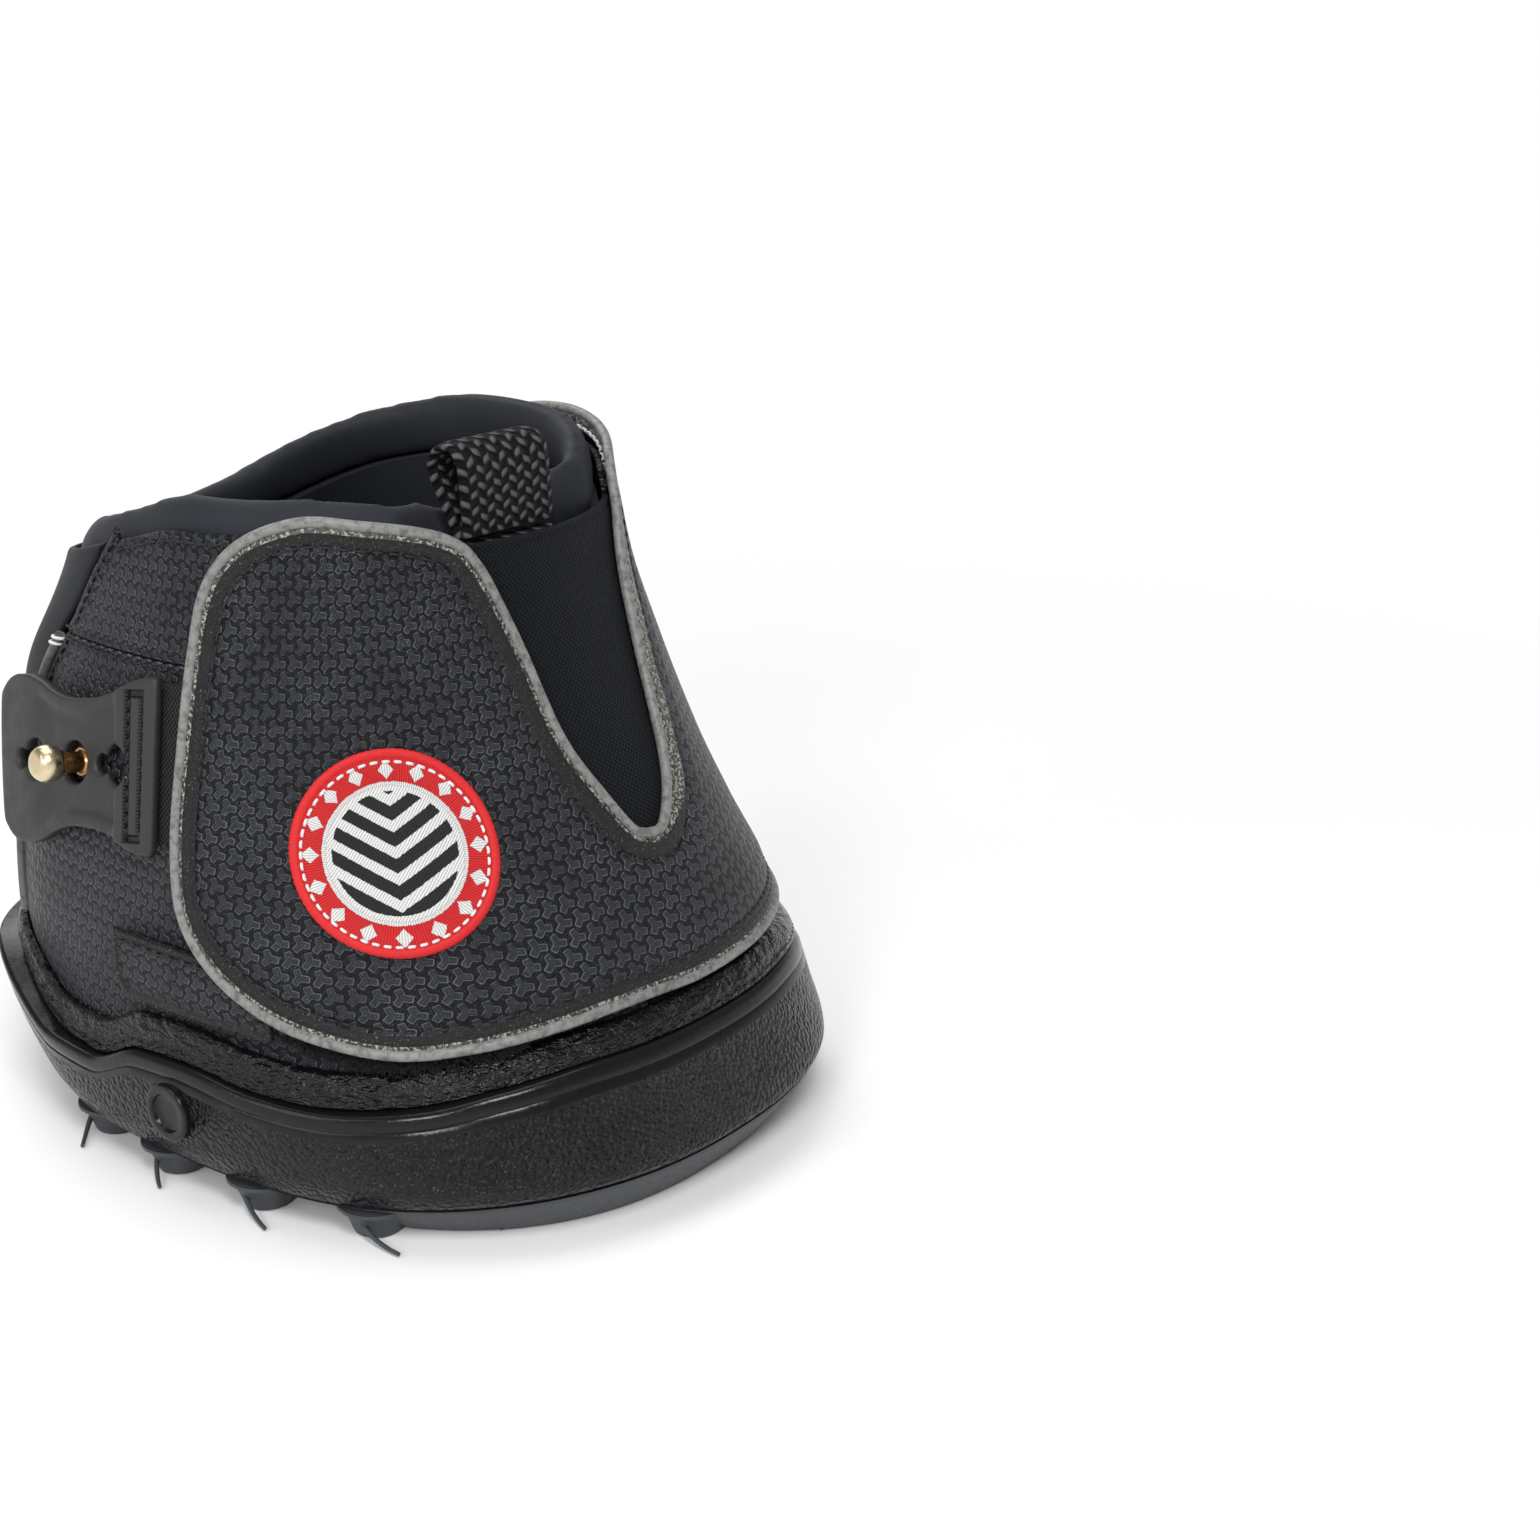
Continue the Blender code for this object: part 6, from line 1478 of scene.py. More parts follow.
def make_heel():
    lateral = heel_side(1)
    medial = heel_side(-1)
    outline = four_sided(medial, lateral, top_edge(lateral[-1][0], medial[-1][0]))
    heel = cloth(
        "heel_padding", outline, heel_puff, -BASE_THICKNESS, NEOPRENE, roll=0.0008, reaches=(0.0003, 0.0008),
        relief=lambda near, a, h: 0.0002 * ripple(upper(a, h), 0.014, 5))
    dress(heel, "boot_body", "neoprene", "heel_panel")
    beads = []
    for side in (1, -1):
        lowest = float(rand_height(REAR_EDGE_ANGLES[0] + 6)) + GAP
        path = edge_column(lambda h: bead_angle(side, h), lowest, HEEL_PIPING_TOP_HEIGHT)
        centres = upper(*path.T, HEEL_BEAD_OUT)
        beads.append(tube(centres, outward(*path.T), PIPING_RADIUS, 14))
    bead = make_piece("heel_beads", *joined(beads), SHADED_HEEL_BEAD, sharp=60)
    dress(bead, "boot_body", "reflective_piping", "heel_piping_lateral", "heel_piping_medial")
    turn = turns(24)[:, None]
    radius = PIPING_RADIUS + 0.0002
    knots = []
    for side in (1, -1):
        for drop in (0.0007, 0.0020):
            height = HEEL_PIPING_TOP_HEIGHT - drop
            angle = bead_angle(side, height)
            out = outward(angle, height)
            across = unit(np.cross(out, (0, 0, 1)))
            spokes = np.cos(turn) * out + np.sin(turn) * across
            circle = upper(angle, height, HEEL_BEAD_OUT) + radius * spokes
            knots.append(tube(circle, np.tile((0.0, 0.0, 1.0), (24, 1)), 0.00035, 8, closed=True))
    knots = make_piece("heel_knots", *joined(knots), WHITE_THREAD, sharp=180)
    dress(knots, "boot_body", "reflective_piping")


# Front wrap: cover, wing, bead and closure

SPECKLE_BREADTH = 0.0011        # worn reflective strip beside the bead
BAND_BREADTH = 0.0034           # leathery band, from the wrap's edge
BAND_EXTRA = 0.0016             # it is wider beside the gusset
MEDIAL_EXTRA = 0.0022             # and wider yet on the gusset's medial side, where the whole band is drawn in pale speckle as a painted sheen
WRAP_TUCK = 0.0007              # the wrap's edge lies inside the bead
HINGE_GAP = 0.0012
FOLD_REACH = 0.0050             # a distance each side of the fold line
PATCH_FIRST_ANGLE = 30
PATCH_LAST_ANGLE = 64
PATCH_FOOT_HEIGHT = 0.0400
PATCH_TOP_HEIGHT = 0.1200
HOOK_INSET_ANGLE = 4
HOOK_INSET = 0.0060
TAPE_DROP = 0.0026
NAP_FIRST_ANGLE = 32
NAP_LAST_ANGLE = 66
NAP_COUNT = 2200
NAP_LENGTH = 0.0021
NAP_RADIUS = 0.00009
NAP_STRAY = 0.7
NAP_SEED = 11
STRIP_FIRST_ANGLE = 67
STRIP_LAST_ANGLE = 102
STRIP_FOOT_HEIGHT = 0.0392
STRIP_BREADTH = 0.0130
STRIP_THICKNESS = 0.0014


def cover_places(shares, low, high):
    return [(angle, low + share * (high - low)) for angle, share in shares]


def wing_offset(angle, _height=0):
    rise = ease(angle, WING_RISE_FIRST_ANGLE, WING_RISE_LAST_ANGLE)
    return LAYER_GAP + (WING_STANDOFF - LAYER_GAP) * rise


def wrap_edge():
    """Closed line of the bead: round the wing, then round the cover."""
    split = (HINGE_GAP / 2 + PIPING_RADIUS) / METRES_PER_DEGREE / 2
    knots = [(HINGE_ANGLE + split, GUSSET_TIP_HEIGHT)]
    knots += cover_places(WING_EDGE_SHARES, GUSSET_TIP_HEIGHT, GUSSET_TOP_HEIGHT)
    knots += cover_places(
        WING_TOP_SHARES + WING_REAR_SHARES + WING_FOOT_SHARES, COVER_FOOT_HEIGHT, COVER_TOP_HEIGHT)
    knots.append((HINGE_ANGLE + split, COVER_FOOT_HEIGHT))
    wing = curve(knots)
    knots = [(HINGE_ANGLE - split, COVER_FOOT_HEIGHT)]
    for shares in (COVER_FOOT_SHARES, COVER_REAR_SHARES, COVER_TOP_SHARES):
        knots += cover_places(reversed(shares), COVER_FOOT_HEIGHT, COVER_TOP_HEIGHT)
    knots += cover_places(reversed(COVER_EDGE_SHARES), GUSSET_TIP_HEIGHT, GUSSET_TOP_HEIGHT)
    knots.append((HINGE_ANGLE - split, GUSSET_TIP_HEIGHT))
    path = np.concatenate([wing, curve(knots)])
    tip = np.array([HINGE_ANGLE, GUSSET_TIP_HEIGHT])
    near = ease(np.linalg.norm(flat(path - tip), axis=1), 0.002, 0.006)[:, None]
    for _ in range(4):
        path = near * path + (1 - near) * (np.roll(path, 1, 0) + np.roll(path, -1, 0)) / 2
    return path


def band_breadth(angle, height):
    beside = ease(height, 0.056, 0.070) * (1 - ease(angle, 18, 30)) * (1 - ease(-angle, 36, 46))
    # worn here is the medial side's mask, where the band is wider and carries the painted sheen
    worn = medial_sheen_side(angle, height) * ease(height, 0.080, 0.115)
    return BAND_BREADTH + BAND_EXTRA * beside + MEDIAL_EXTRA * worn


def medial_sheen_side(angle, height):
    return ease(-angle, 6, 11) * (1 - ease(-angle, 44, 54)) * ease(height, 0.066, 0.073)


def wrap_relief(near, angle, height):
    edge = band_breadth(angle, height)
    band = 0.00016 * ease(near, 0.0011, 0.0015) * (1 - ease(near, edge - 0.0003, edge))
    groove = -0.00035 * np.exp(-((near - edge - 0.0004) / 0.00045) ** 2)
    pad = 0.0005 * ease(near, edge + 0.0004, edge + 0.0050)
    wave = 0.0003 * ripple(upper(angle, height), 0.015, 1) * ease(near, 0, 0.006)
    return band + groove + pad + wave


def wrap_zone(near, angle, height):
    edge = band_breadth(angle, height)
    # on the medial side the pale speckle fills the whole band: a painted sheen of light on the band there
    speckle = SPECKLE_BREADTH + (edge - SPECKLE_BREADTH) * medial_sheen_side(angle, height)
    return np.where(near < speckle, 1, np.where(near < edge, 2, 0))


def across_fold(angle_reach):
    """Point in mid height of the fold line, moved round the boot."""
    height = (COVER_FOOT_HEIGHT + GUSSET_TIP_HEIGHT) / 2
    return upper(HINGE_ANGLE + angle_reach, height).tolist()


def bend_at_fold(piece):
    reach = FOLD_REACH / METRES_PER_DEGREE
    across_fold(-reach)
    across_fold(reach)
    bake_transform(piece)


def make_wrap():
    edge = wrap_edge()
    outline = shift_path(edge, -WRAP_TUCK, closed=True)
    wrap = cloth(
        "front_wrap", outline, lambda a, h: wing_offset(a) + COVER_THICKNESS, wing_offset,
        (EMBOSSED, SPECKLED, BINDING), relief=wrap_relief, zone=wrap_zone,
        lining=lambda near: np.where(near < 0.0031, 1, 2),
        reaches=(0.0003, 0.0007, 0.00115, 0.00145, 0.0022, 0.0031, 0.0039, 0.0043, 0.0047, 0.0051, 0.0058))
    bend_at_fold(wrap)
    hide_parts("front_cover", "wing")

    lift = wing_offset(edge[:, 0]) + COVER_THICKNESS / 2 + GAP
    centres = upper(*edge.T, lift)
    bead_mesh = tube(centres, outward(*edge.T), PIPING_RADIUS, 14, closed=True)
    bead = make_piece("wrap_bead", *bead_mesh, BEAD, sharp=180)
    bend_at_fold(bead)
    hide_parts("cover_piping", "wing_piping")

    def sewn_out(a, h):
        return wing_offset(a) + COVER_THICKNESS - 0.00015

    breadth = band_breadth(*edge.T)[:, None]
    line = shift_path(edge, -(WRAP_TUCK + 0.0004 + breadth), closed=True)
    second = shift_path(edge, -(WRAP_TUCK + 0.0024), closed=True)
    rows = [stitches(line, sewn_out), stitches(second, sewn_out, pitch=0.0031)]
    seam = make_piece("wrap_stitches", *joined(rows), BLACK_THREAD)
    bend_at_fold(seam)
    inner_row = line[(line[:, 0] < -37) & (line[:, 0] > -104) & (line[:, 1] > 0.118)]
    inner_row = inner_row + (0, 0.0018)
    seam = stitches(
        inner_row, lambda a, h: wing_offset(a) - 0.00015, pitch=0.0030, radius=0.00042)
    seam = make_piece("wrap_inner_stitches", *seam, WHITE_THREAD)
    dress(seam, "boot_body", "embossed_synthetic")


def fibres(places, normals, count, length, thickness, stray, seed):
    """Loose threads that stand up from a woven tape."""
    chance = np.random.default_rng(seed)
    parts = []
    for k in chance.integers(0, len(places), count):
        lean = unit(normals[k] + stray * chance.normal(size=3))
        start = places[k] + 0.0008 * chance.normal(size=3)
        start -= normals[k] * np.dot(start - places[k], normals[k])
        bend = 0.5 * unit(chance.normal(size=3))
        size = length * chance.uniform(0.5, 1.2)
        line = np.array([start + size * (t * lean + t * t * bend) for t in (0, 0.4, 0.75, 1.0)])
        side = unit(np.cross(lean, bend))
        parts.append(tube(line, np.tile(side, (4, 1)), thickness * np.array([1, 1, 0.8, 0.3]), 3))
    return joined(parts)


def tape(name, first, last, low, high, outer, inner, wave):
    """Four-cornered tape; wave is the depth, size and seed of its ripple."""
    depth, *ripples = wave
    corners = ((first, low), (last, low), (last, high), (first, high), (first, low))
    return cloth(
        name, straight(corners), outer, inner, FUZZY, roll=0.0003, reaches=(0.0004,),
        relief=lambda near, a, h: depth * ripple(upper(a, h), *ripples))


def make_patches():
    foot = PATCH_FOOT_HEIGHT - TAPE_DROP
    patch = tape(
        "loop_tape", PATCH_FIRST_ANGLE, PATCH_LAST_ANGLE, foot, PATCH_TOP_HEIGHT, LOOP_PATCH_OUT, LAYER_GAP,
        (0.00015, 0.004, 3))
    dress(patch, "boot_body", "fuzzy_loop_tape", "side_loop_patch")

    first = PATCH_FIRST_ANGLE + HOOK_INSET_ANGLE
    last = PATCH_LAST_ANGLE - HOOK_INSET_ANGLE
    low = PATCH_FOOT_HEIGHT + HOOK_INSET
    high = PATCH_TOP_HEIGHT - HOOK_INSET
    patch = tape(
        "hook_tape", first, last, low, high, HOOK_PATCH_OUT, LOOP_PATCH_OUT + LAYER_GAP, (0.0001, 0.002, 4))
    dress(patch, "front_wing", "fuzzy_loop_tape", "wing_hook_patch")

    edge = wrap_edge()
    foot = edge[(edge[:, 0] > NAP_FIRST_ANGLE) & (edge[:, 0] < NAP_LAST_ANGLE) & (edge[:, 1] < 0.052)]
    places = []
    normals = []
    for drop in (0.0004, 0.0014, 0.0024, 0.0034):
        for out in (0.0008, 0.0014, 0.0020):
            places.append(upper(foot[:, 0], foot[:, 1] - drop, out))
            normals.append(unit(outward(foot[:, 0], foot[:, 1]) - (0, 0, 0.5)))
    nap = fibres(
        np.concatenate(places), np.concatenate(normals), NAP_COUNT, NAP_LENGTH, NAP_RADIUS, NAP_STRAY,
        NAP_SEED)
    nap = make_piece("loop_tape_nap", *nap, FUZZY)
    dress(nap, "boot_body", "fuzzy_loop_tape")


def make_strip():
    low = STRIP_FOOT_HEIGHT
    high = low + STRIP_BREADTH
    nose = STRIP_LAST_ANGLE - STRIP_BREADTH / METRES_PER_DEGREE / 4
    corners = (
        (STRIP_FIRST_ANGLE, low), (nose, low), (STRIP_LAST_ANGLE, low + STRIP_BREADTH / 4),
        (STRIP_LAST_ANGLE, high), (STRIP_FIRST_ANGLE, high))

    def lifted(angle, height):
        forward = 1 - ease(angle, STRIP_FIRST_ANGLE, STRIP_FIRST_ANGLE + 9)
        return 0.0013 * forward * (1 - ease(height, low, high))

    strip = cloth(
        "reinforcing_strip", straight(corners + corners[:1]),
        lambda a, h: LAYER_GAP + STRIP_THICKNESS + lifted(a, h), lambda a, h: LAYER_GAP + lifted(a, h),
        (EMBOSSED, BINDING), roll=0.0005, reaches=(0.0003, 0.0007, 0.0011, 0.0016),
        relief=lambda near, a, h: -0.00035 * np.exp(-((near - 0.0016) / 0.0004) ** 2),
        zone=lambda near, a, h: np.where(near < 0.0016, 1, 0))
    dress(strip, "boot_body", "embossed_synthetic", "quarter_strip")
    line = straight([(STRIP_FIRST_ANGLE + 2, high - 0.002), (STRIP_LAST_ANGLE - 1.6, high - 0.002)])
    seam = stitches(line, LAYER_GAP + STRIP_THICKNESS - 0.0001)
    seam = make_piece("strip_stitches", *seam, BLACK_THREAD)
    dress(seam, "boot_body", "embossed_synthetic")


# Badge: a plain embroidered device in red, white and black

BADGE_ANGLE = 45.5
BADGE_HEIGHT = 0.0750
BADGE_RADIUS = 0.0172
BADGE_THICKNESS = 0.0008
BADGE_RIM_RADIUS = 0.0010


def badge_spot(x, y, out):
    size = degree_size(BADGE_ANGLE, BADGE_HEIGHT)
    return upper(BADGE_ANGLE + x / size, BADGE_HEIGHT + y, out)


def make_badge():
    inner = WING_STANDOFF + COVER_THICKNESS + LAYER_GAP
    rings = np.linspace(0.00045, BADGE_RADIUS, 44)
    turn = np.radians(np.arange(216) * 360 / 216)
    x = rings[:, None] * np.cos(turn)
    y = rings[:, None] * np.sin(turn)
    edge = 0.0003 * ease(rings, BADGE_RADIUS - 0.0008, BADGE_RADIUS)[:, None]
    outer = inner + BADGE_THICKNESS - edge
    top = [badge_spot(x[k], y[k], outer[k]) for k in range(len(rings))]
    rows = [badge_spot(0.0, 0.0, inner + BADGE_THICKNESS), *top]
    rows.append(badge_spot(x[-1], y[-1], inner))
    rows.append(badge_spot(0.0, 0.0, inner))
    points, faces = bowl(rows)
    badge = make_piece("badge_embroidery", points, faces, EMBROIDERY)
    set_uv(badge, *(np.concatenate([[0], axis.ravel(), axis[-1], [0]]) for axis in (x, y)))
    dress(badge, "front_wing", "embroidery", "badge_patch")

    turn = np.radians(np.arange(180) * 2)
    x = (BADGE_RADIUS + 0.0002) * np.cos(turn)
    y = (BADGE_RADIUS + 0.0002) * np.sin(turn)
    line = badge_spot(x, y, inner + 0.0004)
    normals = unit(badge_spot(x, y, inner + 0.001) - badge_spot(x, y, inner))
    radii = BADGE_RIM_RADIUS * (1 + 0.06 * np.cos(turn * 90))
    rim = tube(line, normals, radii, 10, closed=True, flatten=0.65)
    rim = make_piece("badge_rim", *rim, RED_THREAD, sharp=180)
    dress(rim, "front_wing", "embroidery")

    size = degree_size(BADGE_ANGLE, BADGE_HEIGHT)
    turn = np.radians(np.linspace(0, 360, 361))
    reach = BADGE_RADIUS - 0.0011
    path = np.stack([BADGE_ANGLE + reach * np.cos(turn) / size, BADGE_HEIGHT + reach * np.sin(turn)], -1)
    dashes = stitches(path, inner + BADGE_THICKNESS + 0.0002, pitch=0.0021, length=0.0016, radius=0.0003)
    dashes = make_piece("badge_dashes", *dashes, WHITE_THREAD)
    dress(dashes, "front_wing", "embroidery")


# Pull loop

LOOP_WEB = 0.0019
LOOP_LENGTH = 0.0195
LOOP_EYE_RADIUS = 0.0034
LOOP_LEAN_ANGLE = 16


def find_loop():
    """Root of the pull loop, from its packed joint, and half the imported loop's width."""
    low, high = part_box("pull_loop")
    joint = next(j for j in frame["joints"] if j["name"] == "pull_loop_tilt")
    return np.array(joint["pos_m"]), (high.x - low.x) / 2


def web_band(name, path, normals, width, thickness):
    """Woven band along a path of places; the normals point out of its face."""
    along = along_path(path)
    side = unit(np.cross(along, normals))
    out = np.cross(side, along)
    shares = np.concatenate([[-1], np.linspace(-0.96, 0.96, 35), [1]])
    rise = thickness / 2 * (1 - 0.75 * np.abs(shares) ** 14)
    section = np.concatenate([
        np.stack([shares, rise], -1), np.stack([shares[::-1], -rise[::-1]], -1)])
    run = run_along(path)
    points = path[:, None] + (
        section[:, 0, None] * width / 2 * side[:, None] + section[:, 1, None] * out[:, None])
    count = len(section)
    index = np.arange(len(path) * count).reshape(-1, count)
    faces = np.stack(
        [index[:-1], np.roll(index[:-1], -1, 1), np.roll(index[1:], -1, 1), index[1:]], -1)
    faces = faces.reshape(-1, 4).tolist() + [index[0, ::-1].tolist(), index[-1].tolist()]
    piece = make_piece(name, points.reshape(-1, 3), faces, WEBBING, sharp=60)
    u = np.repeat(run, count)
    v = np.tile(section[:, 0] * width / 2, len(path))
    set_uv(piece, u, v)
    return piece


def set_uv(piece, u, v):
    """Two lengths at each point, in metres, for a weave or the badge's design."""
    layer = piece.data.uv_layers.new(name="band")
    corners = np.empty(len(piece.data.loops), np.int32)
    piece.data.loops.foreach_get("vertex_index", corners)
    layer.data.foreach_set("uv", np.stack([u[corners], v[corners]], -1).astype(np.float32).ravel())


def make_pull_loop():
    root, half = find_loop()
    lean = math.radians(LOOP_LEAN_ANGLE)
    up = np.array([0, math.sin(lean), math.cos(lean)])
    back = np.array([0, math.cos(lean), -math.sin(lean)])
    eye = LOOP_LENGTH - LOOP_EYE_RADIUS - LOOP_WEB
    start = (LOOP_WEB + GAP) / 2
    reach = LOOP_EYE_RADIUS + LOOP_WEB / 2
    leg = np.linspace(0, 1, 24, endpoint=False)
    front = np.stack([-start + leg * (start - reach), GAP + leg * (eye - GAP)], -1)
    turn = np.linspace(0, np.pi, 34)
    arc = np.stack([-reach * np.cos(turn), eye + reach * np.sin(turn)], -1)
    rear = (front * (-1, 1))[::-1]
    line = np.concatenate([front, arc, rear])
    for _ in range(30):
        line[1:-1] = (line[:-2] + 2 * line[1:-1] + line[2:]) / 4
    path = root + line[:, :1] * back + line[:, 1:] * up
    along = along_path(line)
    normals = -along[:, 1:] * back + along[:, :1] * up
    loop = web_band("loop_webbing", path, normals, 2 * half, LOOP_WEB)
    dress(loop, "finger_loop", "webbing", "pull_loop")

    low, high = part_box("pull_loop_tail")
    depth = low.y / 2 + high.y / 2
    top = np.array([root[0], depth, high.z - LAYER_GAP])
    foot = np.array([root[0], depth, low.z])
    share = np.linspace(0, 1, 12)[:, None]
    path = foot + share * (top - foot)
    tail = web_band("tail_webbing", path, np.tile((0.0, -1.0, 0.0), (12, 1)), 2 * half, 2 * LOOP_WEB * 0.92)
    dress(tail, "boot_body", "webbing", "pull_loop_tail")


# Strap

STRAP_AXIS_ANGLE = 85.2
STRAP_HEIGHT = 0.0876
STRAP_SLOPE_ANGLE = 10
ELASTIC_WIDTH = 0.0300
ELASTIC_THICKNESS = 0.0016
ELASTIC_OUT = LAYER_GAP + ELASTIC_THICKNESS
ANCHOR_FIRST_ANGLE = 70
ELASTIC_LENGTH = 0.0105
TAB_BEND_RADIUS = 0.2000
TAB_LENGTH = 0.0565
TAB_STUD_REACH = 0.0268
TAB_BASE_OUT = 0.0010
TAB_REBATE = 0.0016
TAB_REBATE_LENGTH = 0.0105
TAB_END_WIDTH = 0.0348
TAB_WAIST_WIDTH = 0.0256
TAB_THICKNESS = 0.0026
TAB_LIP_THICKNESS = 0.0036
TAB_LIP_LENGTH = 0.0110
TAB_SLOT_DEPTH = 0.0009
TAB_SLOT_START = 0.0030
TAB_SLOT_WIDTH = 0.0056
TAB_SLOT_LENGTH = 0.0300
TAB_SLOT_GROOVE = 0.0013
TAB_RIB_WIDTH = 0.0026
TAB_FIELD_DEPTH = 0.0008
TAB_SKEW = 0.0013
TAB_OUTLINE_SHARES = (
    (0.0, 1.0), (0.06, 0.97), (0.13, 0.78), (0.24, 0.30), (0.36, 0.04), (0.47, 0.0), (0.58, 0.24),
    (0.69, 0.76), (0.78, 0.98), (0.86, 0.96), (0.93, 0.66), (0.975, 0.22))
KEYHOLE_PITCH = 0.0144
KEYHOLE_RADIUS = 0.0043
KEYHOLE_NARROW_RADIUS = 0.0021
KEYHOLE_REACH = 0.0053
TAB_STEP = 0.00075
TAB_STITCH_PITCH = 0.0025
TAB_STITCH_LENGTH = 0.0019
TAB_STITCH_DIVE = 0.0004
TAB_STITCH_RADIUS = 0.00034
TAB_STITCH_HALF_ROW = 0.0142
STUD_NECK_RADIUS = 0.0016
STUD_FROM_AXIS = 0.0310         # from the strap's fold line back to the stud
STUD_DROP = 0.0052              # below the strap's middle at the axis
STUD_PLACE = (STRAP_AXIS_ANGLE + STUD_FROM_AXIS / METRES_PER_DEGREE, STRAP_HEIGHT - STUD_DROP)

tab_width = interpolant([s for s, _ in TAB_OUTLINE_SHARES], [w for _, w in TAB_OUTLINE_SHARES])


def strap_spot(run, rise, offset):
    """Place on the elastic: level before the fold line and sloping behind it."""
    size = degree_size(STRAP_AXIS_ANGLE, STRAP_HEIGHT)
    behind = (run + np.sqrt(run * run + 1e-6)) / 2
    height = STRAP_HEIGHT + rise - behind * math.tan(math.radians(STRAP_SLOPE_ANGLE))
    return upper(STRAP_AXIS_ANGLE + run / size, height, offset)


def find_tab_axes():
    out = outward(*STUD_PLACE)
    level = unit(np.cross((0, 0, 1), out))
    level = level if level[1] > 0 else -level
    steep = np.cross(out, level)
    steep = steep if steep[2] > 0 else -steep
    slope = math.radians(STRAP_SLOPE_ANGLE)
    return (
        math.cos(slope) * level - math.sin(slope) * steep,
        math.cos(slope) * steep + math.sin(slope) * level, out)


TAB_AXES = find_tab_axes()


def tab_spot(along, across, offset):
    """Place on the tab, an almost flat plate that touches the quarter at the stud."""
    along, across, offset = spread(along, across, offset)
    skew = TAB_SKEW * across / TAB_END_WIDTH * -2 * (1 - ease(along, 0, TAB_STUD_REACH))
    bend = (along + skew - TAB_STUD_REACH) / TAB_BEND_RADIUS
    reach = TAB_BEND_RADIUS + offset
    axis, up, out = TAB_AXES
    return (
        upper(*STUD_PLACE) + (reach * np.sin(bend))[..., None] * axis + across[..., None] * up
        + (reach * np.cos(bend) - TAB_BEND_RADIUS)[..., None] * out)


def make_elastic():
    size = degree_size(STRAP_AXIS_ANGLE, STRAP_HEIGHT)
    first = (ANCHOR_FIRST_ANGLE - STRAP_AXIS_ANGLE) * size
    half = ELASTIC_WIDTH / 2
    last = ELASTIC_LENGTH
    corners = np.array([(first, -half), (last, -half), (last, half), (first, half), (first, -half)])
    outline = []
    for a, b in zip(corners, corners[1:]):
        steps = max(2, round(np.linalg.norm(b - a) / 0.0008))
        outline.append(a + np.linspace(0, 1, steps, endpoint=False)[:, None] * (b - a))
    band = cloth(
        "strap_band_elastic", np.concatenate(outline), ELASTIC_OUT, LAYER_GAP, BAND_ELASTIC, place=strap_spot,
        step=0.0012, reaches=(0.0004, 0.0009), roll=0.0005, flatten=lambda p: p, scale=(1, 1),
        relief=lambda near, a, h: 0.00005 * ripple(strap_spot(a, h, 0), 0.008))
    start = strap_spot(-0.0015, 0, 0).tolist()
    end = strap_spot(0.0015, 0, 0).tolist()
    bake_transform(band)
    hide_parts("strap_anchor", "strap_elastic")


def tab_half_width(share):
    return (TAB_WAIST_WIDTH + tab_width(share) * (TAB_END_WIDTH - TAB_WAIST_WIDTH)) / 2


def tab_inner(along, across):
    return TAB_BASE_OUT + TAB_REBATE * (1 - ease(along, TAB_REBATE_LENGTH, TAB_REBATE_LENGTH + 0.0045))


def slot_relief(along, across):
    """Channel round a low island, inside the lip."""
    middle_along = TAB_SLOT_START + TAB_SLOT_WIDTH / 2
    inside_it = np.minimum(
        TAB_SLOT_WIDTH / 2 - np.abs(along - middle_along), TAB_SLOT_LENGTH / 2 - np.abs(across))
    groove = ease(inside_it, 0, 0.0004) * (1 - ease(inside_it, TAB_SLOT_GROOVE, TAB_SLOT_GROOVE + 0.0005))
    return -TAB_SLOT_DEPTH * groove - 0.0002 * ease(inside_it, TAB_SLOT_GROOVE, TAB_SLOT_GROOVE + 0.0005)


def tab_outer(along, across):
    lip = 1 - ease(along, TAB_LIP_LENGTH, TAB_LIP_LENGTH + 0.0020)
    top = TAB_BASE_OUT + TAB_THICKNESS + lip * (TAB_LIP_THICKNESS - TAB_THICKNESS)
    margin = tab_half_width(along / TAB_LENGTH) - np.abs(across)
    field = ease(margin, TAB_RIB_WIDTH - 0.0005, TAB_RIB_WIDTH + 0.0012)
    fade = 1 - ease(along / TAB_LENGTH, TAB_OUTLINE_SHARES[6][0], TAB_OUTLINE_SHARES[8][0])
    return top - TAB_FIELD_DEPTH * field * fade * (1 - lip) + slot_relief(along, across)


def keyhole(middle_along):
    """Two round lobes that meet at a waist."""
    wide_cut = math.acos(
        (KEYHOLE_RADIUS ** 2 + KEYHOLE_REACH ** 2 - KEYHOLE_NARROW_RADIUS ** 2)
        / (2 * KEYHOLE_RADIUS * KEYHOLE_REACH))
    narrow_cut = math.asin(KEYHOLE_RADIUS * math.sin(wide_cut) / KEYHOLE_NARROW_RADIUS)
    wide = wide_cut + (2 * math.pi - 2 * wide_cut) * np.linspace(0, 1, 45)
    narrow = (math.pi - narrow_cut) * np.linspace(-1, 1, 21)[1:-1]
    return np.concatenate([
        np.stack([middle_along + KEYHOLE_RADIUS * np.cos(wide), KEYHOLE_RADIUS * np.sin(wide)], -1),
        np.stack([
            middle_along + KEYHOLE_REACH + KEYHOLE_NARROW_RADIUS * np.cos(narrow),
            KEYHOLE_NARROW_RADIUS * np.sin(narrow)], -1)])


